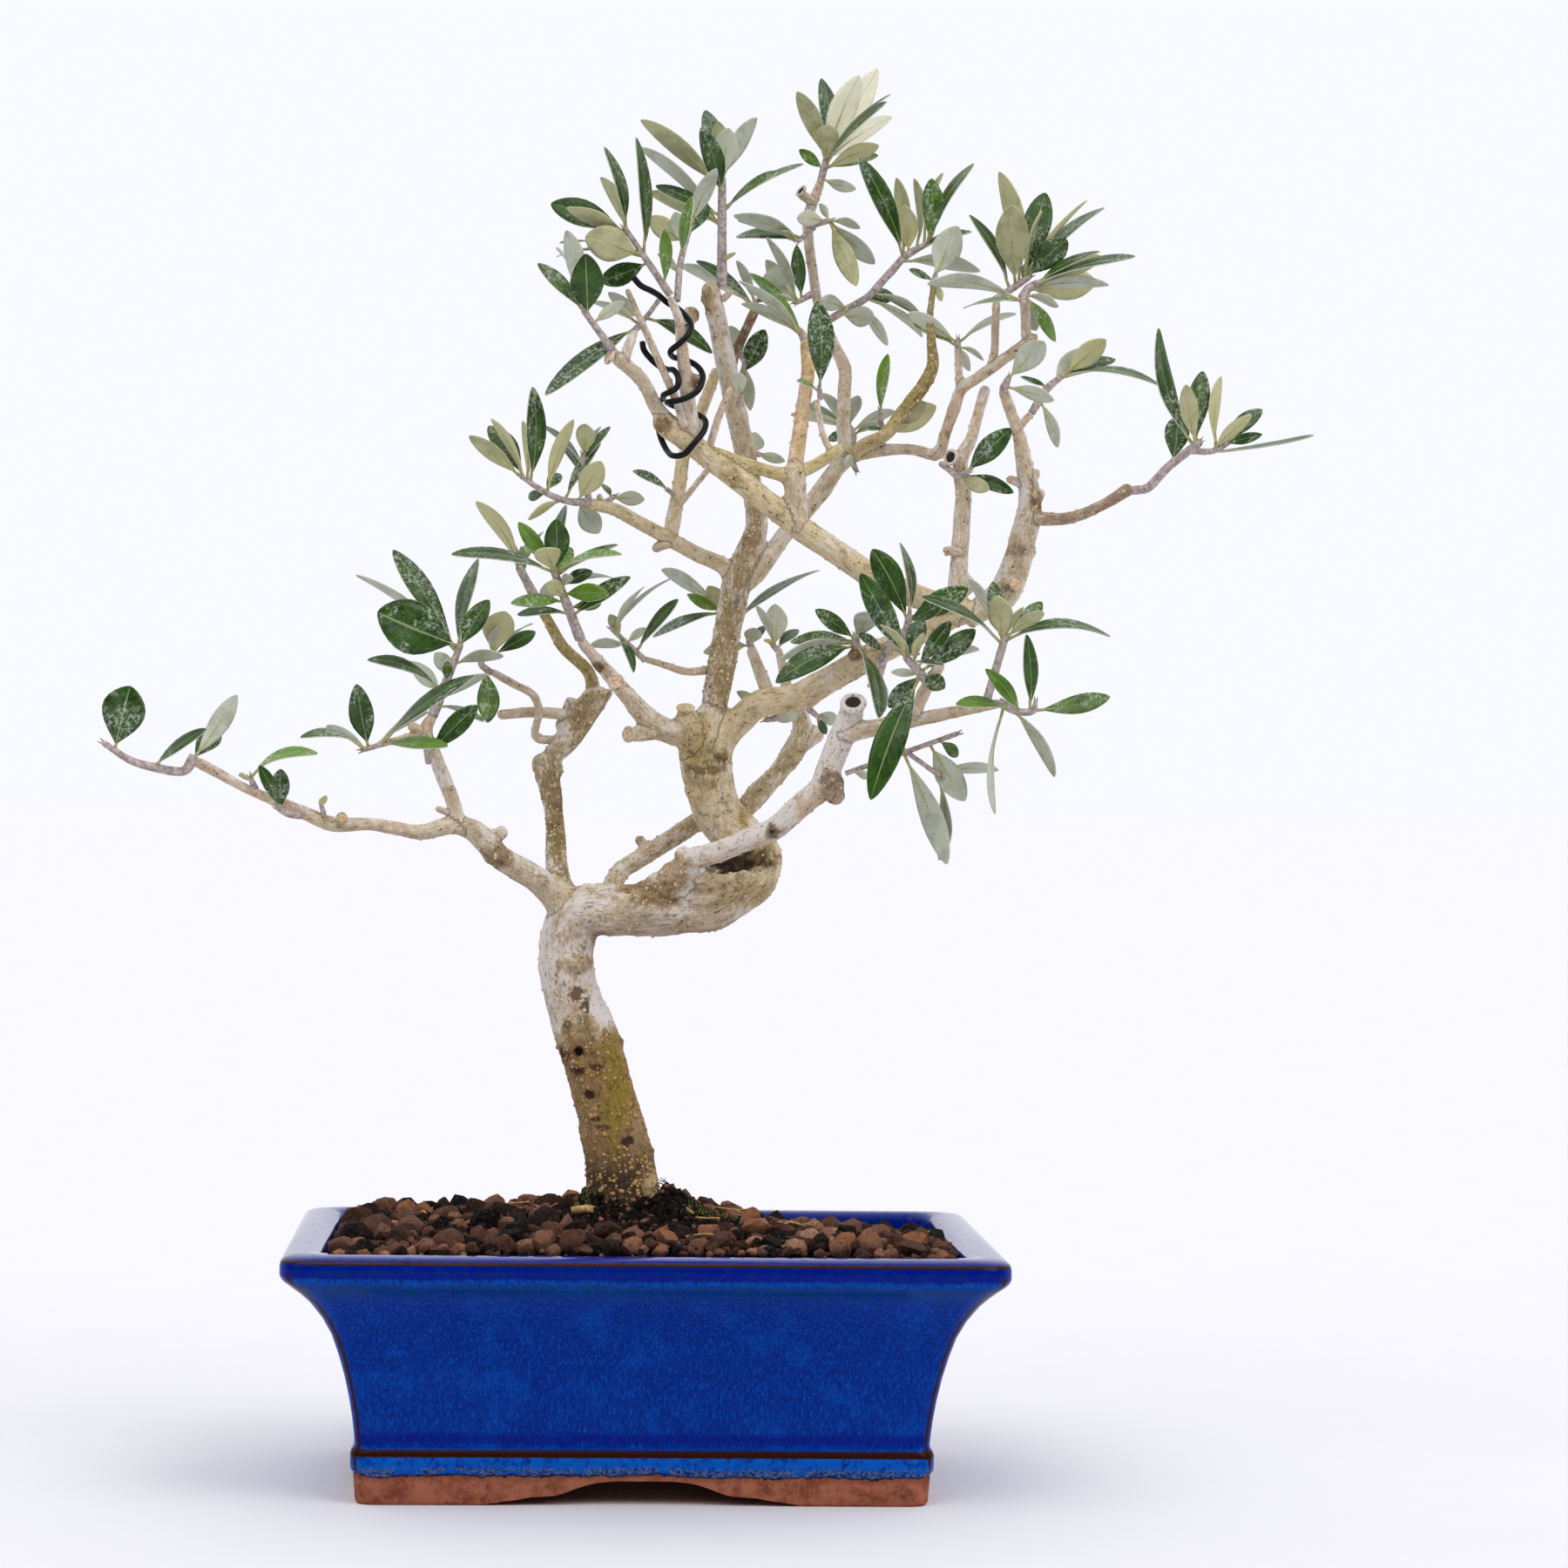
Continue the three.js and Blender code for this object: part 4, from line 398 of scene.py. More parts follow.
            (67, -1, 271, 42, -8, 265, 7, 130, 2, UP), (67, -2, 271, 46, 8, 271, 6, 40, 1.5, UP),
            (67, -1, 270, 72, -33, 246, 8.5, 50, 3, UP),
            (67, -2, 272, 53, -8, 281, 5.5, 10, 1, UP),
            (67, -2, 271, 70, -19, 280, 8, 170, 1.5, UP),
        ),
    ),
    "limb_front": Growth(
        stems=(((72.5, -6, 257, 2), (76.5, -8, 269.5, 1.5),),),
        leaves=(
            (76, -8, 269, 87, -11, 267, 3, 150, 1, UP),
            (74, -7, 262, 75, -17, 248, 4.5, 150, 1, UP),
            (76, -8, 267, 66, -17, 273, 4, 30, 1, UP),
        ),
    ),
    "front_right_low": Growth(
        stems=(((85, -53, 257.5, 1.6), (78.5, -55, 264.5, 1.2),),),
        leaves=(
            (79, -55, 264, 63, -64, 290, 8.5, 15, 2, UP),
            (79, -55, 265, 69, -73, 274, 6, 105, 1.5, YOUNG),
            (79, -55, 264, 84, -49, 277, 6, 10, 1, UP),
            (81, -54, 262, 83, -63, 272, 3.5, 145, 1, YOUNG),
            (82, -54, 261, 92, -57, 276, 5.5, 10, 1.5, UP),
            (83, -54, 260, 101, -45, 274, 7, 10, 1.5, UP),
            (80, -55, 263, 89, -64, 262, 3.5, 65, 1, UP),
            (83, -54, 260, 103, -38, 268, 7, 110, 2, UP),
            (79, -55, 265, 77, -57, 270, 3, 120, 0.5, YOUNG),
            (83, -54, 259, 67, -66, 220, 10, 10, 3, UP),
            (83, -54, 259, 74, -45, 249, 5.5, 10, 1, UP),
            (84, -53, 259, 90, -61, 255, 6, 10, 0.5, UP),
            (83, -54, 259, 74, -52, 260, 3, 150, 0.5, UP),
        ),
    ),
    "right_front_up": Growth(
        stems=(((104.5, -54, 253.5, 1.4), (109.5, -54, 271.5, 1.2),),),
        leaves=(
            (109, -54, 270, 106, -61, 284, 8, 170, 1, YOUNG),
            (109, -54, 270, 106, -48, 289, 6.5, 10, 1.5, UP),
            (109, -54, 270, 99, -43, 290, 6.5, 110, 1.5, UP),
            (109, -54, 271, 120, -66, 279, 5, 150, 1.5, YOUNG),
            (109, -54, 271, 122, -45, 283, 5.5, 10, 1.5, UP),
            (109, -54, 271, 115, -54, 281, 3, 140, 1, YOUNG),
            (109, -54, 270, 142, -58, 272, 8.5, 65, 5, UP),
            (109, -54, 269, 82, -65, 283, 8.5, 70, 3, UP),
        ),
    ),
    "right_front_low": Growth(
        stems=(
            (
                (108.5, -57, 250.5, 1.5), (113.5, -59, 248, 1.2), (118, -60, 248.5, 1.1),
                (118.5, -60, 250.5, 0.8),
            ),
        ),
        leaves=(
            (118, -60, 248, 141, -66, 253, 6.5, 25, -1.5, UP),
            (117, -60, 248, 115, -64, 272, 6.5, 40, 1.5, UP),
            (114, -59, 248, 102, -67, 261, 5, 20, 3, UP),
            (111, -58, 249, 93, -67, 250, 5.5, 50, 1.5, UP),
            (109, -57, 250, 107, -53, 216, 8.5, 105, 2.5, UP),
            (112, -58, 249, 126, -52, 228, 7, 120, 2, UP),
        ),
    ),
    "limb_end": Growth(
        stems=(((82, -15, 273, 1.7), (82.5, -18, 279, 1.1),),),
        leaves=(
            (82, -17, 277, 70, -22, 300, 9.5, 10, 2, UP),
            (82, -18, 279, 80, -10, 303, 7, 60, 2, UP),
            (82, -18, 278, 101, -22, 288, 8, 10, 1.5, UP),
            (82, -17, 277, 92, -29, 282, 5, 10, 1, UP),
        ),
    ),
    "dead_twig": Growth(
        stems=(
            ((62, -42, 228.5, 0.8), (95.5, -44, 241, 0.8),),
            ((79.5, -43, 235.5, 0.8), (90, -46, 228, 0.8),),
        ),
        leaves=(
            (87, -44, 238, 98, -50, 220, 8.5, 170, 1.5, UP),
            (79, -43, 235, 93, -47, 200, 8.5, 140, 2.5, UP),
            (90, -46, 228, 92, -32, 201, 8, 110, 2, UP),
            (90, -44, 239, 97, -36, 234, 4, 10, 1, UP),
            (89, -46, 229, 110, -36, 230, 6, 125, 1.5, UP),
            (63, -42, 229, 68, -46, 227, 3, 150, 0.5, UP),
        ),
    ),
    "far_right": Growth(
        stems=(
            (
                (153.5, -27, 320, 1.4), (157, -30, 320.5, 1.5), (163, -34, 327, 1.5),
                (172, -38, 334.5, 1.4),
            ),
            ((170, -38, 332, 1.1), (176.5, -40, 332, 1), (183, -40, 336, 0.8),),
        ),
        leaves=(
            (171, -38, 333, 158, -44, 370, 8.5, 45, -3.5, UP),
            (171, -38, 334, 166, -49, 352, 6, 170, 1.5, YOUNG),
            (171, -38, 334, 174, -32, 358, 7, 10, 1.5, UP),
            (177, -40, 333, 179, -37, 356, 6.5, 125, 1.5, YOUNG),
            (164, -35, 328, 167, -26, 344, 8, 10, 1.5, UP),
            (178, -40, 334, 193, -34, 346, 5.5, 10, 1.5, UP),
            (176, -40, 332, 187, -49, 343, 5, 150, 1, YOUNG),
            (180, -40, 334, 191, -46, 337, 3.5, 10, 1, UP),
            (175, -40, 332, 207, -48, 337, 8.5, 80, -1, UP),
        ),
    ),
    "outer_right_b": Growth(
        stems=(((122.5, -11, 346.5, 1.3), (127, -8, 353.5, 1.3), (134, -5, 359.5, 0.8),),),
        leaves=(
            (131, -6, 358, 163, -14, 355, 8.5, 75, 4, UP),
            (133, -5, 359, 146, -9, 370, 7.5, 170, 1, YOUNG),
            (132, -6, 358, 151, 4, 365, 6, 45, 1.5, UP),
            (129, -7, 356, 142, 1, 368, 7, 170, 1.5, UP),
            (128, -8, 354, 119, -4, 358, 3, 45, 0.5, UP),
            (125, -10, 350, 130, -17, 334, 5, 135, 1.5, UP),
        ),
    ),
    "outer_right_a": Growth(
        stems=(((112, -20, 353, 1.4), (113, -21, 355.5, 1),),),
        leaves=(
            (113, -21, 355, 124, -26, 367, 8.5, 170, 1, UP),
            (112, -20, 353, 127, -29, 348, 5, 145, 1.5, UP),
        ),
    ),
    "fork_low": Growth(
        stems=(((95, 6, 329.5, 1.1), (98.5, -8, 325, 1), (101.5, -10, 326, 0.8),),),
        leaves=(
            (101, -9, 326, 115, -15, 340, 7.5, 10, 1.5, UP),
            (98, -8, 325, 108, -16, 320, 5, 170, 1, YOUNG),
            (100, -9, 326, 117, -6, 320, 5, 10, 1.5, UP),
        ),
    ),
    "crown_right_a": Growth(
        stems=(((112.5, 8, 384.5, 1.4), (122.5, 8, 391.5, 1),),),
        leaves=(
            (118, 8, 389, 115, -7, 413, 11, 170, 2, YOUNG),
            (119, 8, 390, 114, 22, 428, 8.5, 135, 3, YOUNG),
            (121, 8, 391, 129, 19, 421, 9.5, 10, 2.5, UP),
            (121, 8, 391, 126, 4, 413, 6, 105, 1.5, YOUNG),
            (122, 8, 391, 141, 6, 417, 8.5, 105, 2, YOUNG),
            (122, 8, 392, 149, 22, 417, 8.5, 60, 3, UP),
            (122, 8, 392, 134, -1, 403, 9, 10, 1.5, UP),
            (120, 8, 390, 125, 21, 398, 4.5, 20, 1, UP),
            (116, 8, 388, 103, 10, 412, 7.5, 55, 2, UP),
        ),
    ),
    "crown_right_b": Growth(
        stems=(
            ((120, -1, 384.5, 1.6), (121.5, -1, 387, 1.3), (124, -2, 388.5, 1.1),),
            ((120.5, -1, 385, 1.4), (119, -6, 382, 1.1),),
        ),
        leaves=(
            (123, -2, 388, 155, -10, 397, 8.5, 70, 2, UP),
            (124, -2, 388, 144, -5, 399, 6.5, 65, 1.5, UP),
            (124, -2, 388, 146, 1, 398, 6.5, 150, 1.5, YOUNG),
            (121, -1, 387, 147, -7, 388, 7, 120, 2, UP),
            (121, -1, 386, 145, 10, 391, 11, 170, 2, YOUNG),
            (120, -3, 384, 125, 6, 374, 6, 170, 1, UP),
            (120, -1, 385, 130, -13, 380, 4.5, 120, 1, UP),
            (119, -6, 382, 87, -16, 386, 8.5, 115, 4, UP),
            (119, -5, 383, 101, 7, 381, 6, 70, 1.5, UP),
            (120, -1, 385, 132, 10, 371, 5.5, 25, 1.5, UP),
        ),
    ),
    "fork_mid": Growth(
        stems=(((100, 12, 368.5, 1.1), (100, 12, 370.5, 0.9),),),
        leaves=(
            (100, 12, 370, 83, 6, 379, 5.5, 145, 1.5, UP),
            (100, 12, 369, 86, 19, 377, 4.5, 40, 1, UP),
            (100, 12, 370, 120, 20, 381, 6.5, 105, 2, UP),
            (100, 12, 369, 108, 6, 364, 3, 115, 1, UP),
            (100, 12, 369, 105, 22, 362, 3.5, 170, 1, UP),
        ),
    ),
    "olive_top": Growth(
        stems=(((91.5, 10, 389, 1.1), (92, 10, 391.5, 1),),),
        leaves=(
            (92, 10, 391, 100, 17, 409, 10, 170, 1.5, UP),
            (92, 10, 390, 83, 5, 393, 3, 30, 0.5, UP),
            (91, 10, 390, 94, 6, 383, 3, 130, 0.5, YOUNG),
        ),
    ),
    "crown_mid": Growth(
        stems=(
            (
                (58.5, 29, 378.5, 1.3), (71.5, 29, 386.5, 1.3), (84, 30, 400.5, 1.3),
                (92.5, 30, 405.5, 0.9),
            ),
        ),
        leaves=(
            (83, 30, 400, 67, 18, 431, 8.5, 30, 2.5, UP),
            (83, 30, 400, 81, 34, 427, 7.5, 125, 2, YOUNG),
            (85, 30, 401, 83, 27, 417, 7.5, 170, 1, YOUNG),
            (91, 30, 405, 92, 27, 426, 7.5, 10, 1.5, UP),
            (88, 30, 402, 87, 35, 427, 7, 105, 2, YOUNG),
            (92, 30, 405, 107, 38, 433, 8.5, 65, 2.5, UP),
            (90, 30, 404, 97, 41, 430, 8, 100, 2, YOUNG),
            (88, 30, 403, 105, 22, 408, 5, 55, 1.5, UP),
            (82, 30, 399, 108, 21, 395, 7.5, 120, 2, UP),
            (68, 29, 384, 78, 24, 370, 5, 125, 1.5, UP),
            (70, 29, 385, 81, 37, 388, 5.5, 10, 1, UP),
            (65, 29, 383, 55, 20, 384, 5.5, 170, 1, UP), (62, 29, 381, 73, 19, 379, 7, 170, 1, UP),
            (73, 29, 388, 90, 35, 381, 5, 115, 1.5, UP), (71, 29, 386, 91, 41, 375, 7, 105, 2, UP),
        ),
    ),
    "crown_top": Growth(
        stems=(((55.5, 33, 425, 1.3), (57.5, 34, 433, 1.2),),),
        leaves=(
            (57, 34, 432, 47, 28, 454, 7, 150, 2, YOUNG),
            (57, 34, 432, 57, 55, 463, 8.5, 35, 2.5, UP),
            (57, 34, 432, 57, 20, 442, 7.5, 170, 1, YOUNG),
            (57, 34, 432, 68, 35, 461, 9.5, 170, 2, PALE),
            (57, 34, 432, 75, 45, 465, 10, 170, 2.5, PALE),
            (57, 34, 432, 81, 58, 451, 8.5, 125, 2.5, PALE),
            (57, 34, 431, 78, 29, 454, 8.5, 75, 2, UP), (57, 34, 430, 76, 20, 450, 8.5, 70, 2, UP),
            (57, 34, 429, 74, 23, 436, 6, 150, 1.5, YOUNG),
            (57, 34, 429, 75, 38, 435, 5.5, 20, 1.5, UP), (57, 34, 429, 48, 30, 435, 4, 10, 1, UP),
            (56, 33, 426, 67, 28, 422, 4, 170, 1, UP),
        ),
    ),
    "crown_top_low": Growth(
        stems=(((53, 28, 410, 1.3), (58, 25, 411, 0.9),),),
        leaves=(
            (57, 25, 411, 47, 20, 411, 5.5, 170, 1, UP),
            (58, 25, 411, 55, 28, 417, 3, 135, 0.5, UP),
            (58, 25, 411, 68, 19, 408, 3.5, 135, 1, UP),
            (58, 25, 411, 67, 20, 389, 7, 170, 1.5, YOUNG),
            (58, 25, 411, 74, 33, 398, 6, 165, 1.5, UP),
        ),
    ),
    "crown_side": Growth(
        stems=(((52.5, 29, 408.5, 1), (48, 25, 404, 0.8),),),
        leaves=(
            (49, 26, 405, 26, 17, 411, 7, 130, 2, UP), (48, 25, 404, 28, 40, 407, 7, 45, 2, UP),
            (48, 25, 404, 28, 29, 411, 6, 115, 1.5, UP),
            (48, 25, 404, 42, 22, 407, 3, 115, 0.5, YOUNG),
        ),
    ),
    "crown_inner": Growth(
        stems=(((52, 28, 386.5, 1.2), (47.5, 24, 383.5, 0.8),),),
        leaves=(
            (50, 25, 385, 47, 20, 402, 5, 10, 1, UP),
            (48, 24, 384, 37, 16, 404, 6.5, 115, 1.5, UP),
            (48, 24, 384, 39, 14, 384, 3.5, 115, 1, UP),
            (48, 24, 384, 38, 37, 399, 6, 170, 1.5, UP),
        ),
    ),
    "hub_leaves": Growth(
        stems=(((49.5, 11, 370.5, 1.7), (48, 12, 373, 1.1),),),
        leaves=(
            (49, 11, 371, 31, 8, 391, 7, 55, 2, UP), (49, 11, 371, 27, -5, 387, 8.5, 105, 2, UP),
            (49, 11, 371, 29, 16, 382, 6.5, 110, 1.5, UP),
        ),
    ),
    "hub_leaf_front": Growth(
        stems=(((54, -2, 350.5, 1), (53.5, -5, 352.5, 0.8),),),
        leaves=(
            (54, -4, 352, 52, -12, 380, 9, 10, 2, UP), (54, -4, 352, 46, -7, 355, 3, 60, 0.5, UP),
        ),
    ),
    "hub_behind": Growth(
        stems=(((67, 28, 338, 1.3), (67.5, 34, 341.5, 1.2), (66, 37, 345, 0.9),),),
        leaves=(
            (67, 35, 343, 47, 39, 348, 5.5, 120, 1.5, UP),
            (67, 36, 344, 49, 44, 352, 5.5, 130, 1.5, UP),
            (66, 36, 344, 58, 48, 356, 5, 125, 1.5, UP),
            (67, 35, 343, 59, 32, 339, 3.5, 10, 0.5, UP),
            (67, 36, 344, 69, 31, 354, 5, 170, 1, UP), (67, 35, 342, 82, 41, 350, 4.5, 145, 1, UP),
            (67, 33, 341, 76, 25, 345, 3.5, 135, 1, UP),
        ),
    ),
    "leaf_behind_hub": Growth(
        stems=(((33, 25, 333.5, 1.3), (36, 28, 333.5, 1),),),
        leaves=(
            (35, 27, 334, 45, 35, 332, 3.5, 170, 1, UP),
            (34, 26, 334, 35, 32, 341, 7, 170, 0.5, UP),
        ),
    ),
    "fork_red_twig": Growth(
        stems=(((76, 17, 337.5, 1.1), (75, 15, 347, 0.9),),),
        leaves=(
            (75, 15, 346, 77, 12, 366, 5.5, 45, 1.5, UP),
            (76, 16, 342, 71, 11, 341, 3, 45, 0.5, UP),
            (76, 16, 342, 90, 10, 350, 7, 170, 1, YOUNG),
            (76, 16, 340, 94, 21, 350, 9, 170, 1.5, YOUNG),
            (76, 16, 340, 84, 12, 343, 3, 135, 0.5, UP),
        ),
    ),
    "fork_under": Growth(
        stems=(((67, 19, 329.5, 1), (67.5, 17, 328, 0.8),),),
        leaves=(
            (67, 18, 329, 63, 7, 331, 4, 170, 1, UP),
        ),
    ),
    "wired_top": Growth(
        stems=(((4, -11, 382, 1.3), (-10, -11, 402, 0.8),),),
        leaves=(
            (-4, -11, 394, -23, -21, 398, 11.5, 170, 1.5, YOUNG),
            (-10, -11, 402, -17, -6, 429, 8, 55, 2, UP),
            (-3, -11, 394, -7, -14, 431, 8.5, 60, 2.5, UP),
            (-2, -11, 392, -18, -3, 386, 7.5, 10, -1, UP),
            (-8, -11, 400, -29, -21, 407, 6.5, 130, 1.5, YOUNG),
            (-9, -11, 401, -34, -1, 411, 9, 10, 2, UP),
            (-9, -11, 401, -18, 0, 420, 6.5, 125, 1.5, YOUNG),
            (3, -11, 384, 2, -19, 401, 5, 35, 1.5, UP),
            (-4, -11, 395, -31, 3, 399, 8.5, 75, 2, UP),
            (-3, -11, 394, -32, 7, 395, 8.5, 70, 2.5, UP),
        ),
    ),
    "wired_side": Growth(
        stems=(((7, -9, 380.5, 1.1), (8, -6, 392.5, 1.1), (11, -4, 404, 0.8),),),
        leaves=(
            (11, -4, 404, 19, -12, 422, 6, 155, 1.5, UP), (9, -5, 398, 6, -2, 409, 6, 170, 1, UP),
            (8, -6, 394, 11, -18, 412, 6, 50, 1.5, UP), (10, -5, 401, 17, 1, 412, 4.5, 10, 1, UP),
            (10, -5, 399, -2, 4, 408, 7, 170, 1, YOUNG), (8, -7, 388, 1, 3, 396, 4, 125, 1, UP),
        ),
    ),
    "leader_shoot": Growth(
        stems=(((22, 7, 387.5, 1.7), (21.5, 5, 421, 1.3),),),
        leaves=(
            (22, 5, 416, 14, -6, 436, 7, 10, 1.5, UP),
            (22, 6, 405, -5, 13, 432, 8.5, 110, 2.5, UP),
            (22, 5, 418, -5, 13, 441, 8.5, 130, 2.5, YOUNG),
            (22, 5, 406, -2, 18, 418, 8, 120, 2, YOUNG), (22, 5, 421, 23, 0, 437, 8.5, 170, 1, UP),
            (22, 5, 421, 33, 16, 443, 7.5, 135, 2, UP),
            (22, 5, 421, 20, 6, 440, 6.5, 170, 1.5, YOUNG),
            (22, 5, 419, 17, 28, 447, 8.5, 30, 2.5, UP), (22, 5, 410, 39, -2, 423, 6, 60, 1.5, UP),
            (22, 5, 411, 48, 7, 427, 8.5, 70, 2, UP), (22, 5, 409, 0, 9, 419, 6.5, 45, 1.5, UP),
            (22, 6, 394, 26, 2, 397, 3, 115, 0.5, YOUNG),
        ),
    ),
    "dark_stem_top": Growth(
        stems=(((34, 25, 381.5, 1.3), (34, 26, 383.5, 1),),),
        leaves=(
            (34, 25, 382, 14, 19, 396, 7, 55, 2, UP), (34, 26, 383, 45, 28, 396, 7.5, 170, 1, UP),
            (34, 26, 383, 28, 32, 398, 4.5, 130, 1, UP),
            (34, 26, 383, 40, 22, 388, 4, 10, 0.5, UP), (34, 25, 382, 9, 39, 397, 8.5, 110, 2, UP),
        ),
    ),
    "dark_stem_mid": Growth(
        stems=(((29, 20, 365.5, 1), (30.5, 23, 363, 0.9), (29.5, 25, 359, 0.9),),),
        leaves=(
            (29, 25, 359, 37, 20, 374, 7.5, 10, 1, UP),
            (30, 22, 363, 33, 29, 348, 4.5, 165, 1, UP), (30, 22, 364, 26, 30, 376, 6, 170, 1, UP),
        ),
    ),
    "leader_leaf": Growth(
        stems=(((27.5, -1, 347.5, 0.8), (28, -4, 349.5, 0.8),),),
        leaves=(
            (28, -4, 349, 27, -8, 357, 5, 170, 0.5, UP),
        ),
    ),
    "arm_tip": Growth(
        stems=(((-13.5, -22, 361.5, 1.3), (-23, -26, 373.5, 1),),),
        leaves=(
            (-22, -26, 373, -38, -30, 388, 6, 40, 1.5, UP),
            (-22, -25, 372, -23, -33, 391, 11, 10, 1.5, UP),
            (-23, -26, 373, -29, -20, 400, 7.5, 140, 2, UP),
            (-21, -25, 372, -32, 1, 397, 8.5, 75, 2.5, UP),
            (-20, -25, 370, -10, -18, 378, 4, 170, 1, UP),
        ),
    ),
    "arm_twig": Growth(
        stems=(((-6.5, -12, 369.5, 1.1), (-1.5, -2, 376.5, 0.8), (1.5, 1, 381, 0.8),),),
        leaves=(
            (-6, -10, 371, -35, -24, 347, 8.5, 40, 3, UP), (-3, -5, 374, 19, 1, 364, 7, 40, 2, UP),
            (-5, -9, 372, -21, -17, 378, 5, 115, 1.5, UP),
            (-4, -6, 373, -15, 2, 383, 4.5, 170, 1, UP),
        ),
    ),
    "upper_left": Growth(
        stems=(
            (
                (-21, -4, 314.5, 1.4), (-27, -7, 314.5, 1.1), (-33.5, -10, 316.5, 1.1),
                (-42, -14, 321.5, 0.8),
            ),
            ((-20.5, -4, 315, 1.1), (-22.5, -6, 329, 1),),
        ),
        leaves=(
            (-42, -14, 322, -59, -20, 334, 6, 145, 1.5, YOUNG),
            (-41, -14, 321, -52, -15, 340, 6, 120, 1.5, YOUNG),
            (-41, -14, 321, -53, 1, 339, 7.5, 10, 2, UP),
            (-40, -13, 321, -42, -8, 340, 5.5, 125, 1.5, YOUNG),
            (-39, -13, 320, -39, -19, 350, 8.5, 45, 2, UP),
            (-34, -10, 317, -26, -18, 340, 7, 130, 2, YOUNG),
            (-22, -6, 326, -36, 4, 340, 6, 70, 1.5, UP),
            (-23, -6, 329, -22, -14, 339, 6.5, 170, 1, YOUNG),
            (-22, -6, 327, -14, -5, 339, 4, 50, 1, UP),
            (-23, -6, 328, -17, 9, 340, 5.5, 60, 1.5, UP),
            (-28, -8, 315, -17, -3, 334, 6, 55, 1.5, UP),
            (-24, -6, 315, -17, -16, 327, 8, 170, 1, YOUNG),
            (-24, -5, 315, -17, 3, 305, 7.5, 170, 1, UP),
            (-35, -10, 317, -30, 0, 324, 4.5, 10, 1, UP),
            (-34, -10, 317, -40, -1, 316, 3.5, 10, 1, UP),
            (-29, -8, 315, -40, -14, 308, 4, 125, 1, YOUNG),
            (-21, -5, 319, -31, 4, 335, 5.5, 60, 1.5, UP),
        ),
    ),
    "crown_left_leaf": Growth(
        stems=(((-14.5, 7, 315.5, 1), (-12, 11, 317.5, 0.9),),),
        leaves=(
            (-13, 10, 317, -2, 15, 317, 5, 170, 1, UP),
            (-13, 10, 317, -16, 14, 322, 3, 45, 0.5, UP),
        ),
    ),
    "crown_shoot_leaf": Growth(
        stems=(((7, 17, 319.5, 0.9), (6, 15, 320, 0.8),),),
        leaves=(
            (7, 16, 320, -6, 10, 326, 4, 45, 1, UP),
        ),
    ),
    "centre_right_hang": Growth(
        stems=(((52.5, 0, 248.5, 1.1), (54.5, -4, 246.5, 0.8),),),
        leaves=(
            (54, -2, 247, 61, -6, 245, 4.5, 170, 0.5, UP),
            (54, -3, 247, 58, 3, 241, 3, 15, 0.5, UP),
        ),
    ),
}

# ------------------------------------------------------------------ small tools


def srgb(code: str, alpha: float = 1.0) -> tuple[float, float, float, float]:
    """Turns an sRGB hex colour into linear values.

    Args:
        code: Six hex digits, with or without a leading #.
        alpha: The fourth value.

    Returns:
        Red, green, blue and alpha, ready for a shader socket.
    """
    digits = code.lstrip("#")
    parts = [int(digits[i : i + 2], 16) / 255 for i in (0, 2, 4)]
    linear = [c / 12.92 if c <= 0.04045 else ((c + 0.055) / 1.055) ** 2.4 for c in parts]
    return (linear[0], linear[1], linear[2], alpha)


def add_node(
    tree: bpy.types.NodeTree, kind: str, inputs: dict[Any, Any] | None = None, **settings: Any
) -> bpy.types.Node:
    """Adds a node, sets it, and fills or links its sockets.

    Args:
        tree: The material's node tree.
        kind: The node's type name.
        inputs: Socket names or numbers, each with a value or an output socket to link.
        **settings: The node's own properties. A stops list fills a colour ramp.

    Returns:
        The new node.
    """
    node = tree.nodes.new(kind)
    stops = settings.pop("stops", None)
    for name, value in settings.items():
        setattr(node, name, value)
    if stops:
        ramp = node.color_ramp.elements
        while len(ramp) < len(stops):
            ramp.new(0.5)
        for element, (place, colour) in zip(ramp, stops):
            element.position = place
            element.color = colour if isinstance(colour, tuple) else srgb(colour)
    for name, value in (inputs or {}).items():
        if isinstance(value, bpy.types.NodeSocket):
            tree.links.new(value, node.inputs[name])
        else:
            node.inputs[name].default_value = value
    return node


def within(value: float) -> float:
    """Holds a value between 0 and 1."""
    return max(0.0, min(1.0, value))


def any_way(rng: random.Random) -> Vector:
    """Draws a direction by chance."""
    return Vector((rng.gauss(0, 1), rng.gauss(0, 1), rng.gauss(0, 1))).normalized()


def as_mesh(bm: bmesh.types.BMesh, name: str) -> bpy.types.Mesh:
    """Writes a bmesh into a new mesh and frees it."""
    mesh = bpy.data.meshes.new(name)
    bm.to_mesh(mesh)
    bm.free()
    return mesh


def extrude(
    bm: bmesh.types.BMesh, edges: Sequence[bmesh.types.BMEdge]
) -> tuple[list[bmesh.types.BMVert], list[bmesh.types.BMEdge]]:
    """Extrudes a ring of edges.

    Args:
        bm: The mesh that it is made in.
        edges: The ring.

    Returns:
        The new ring's points, still lying on the old one, and its edges.
    """
    new = bmesh.ops.extrude_edge_only(bm, edges=edges)["geom"]
    verts = [item for item in new if isinstance(item, bmesh.types.BMVert)]
    return verts, [item for item in new if isinstance(item, bmesh.types.BMEdge)]


BEND_REACH = 7.0  # how far a bend spreads to each side of its row, in millimetres


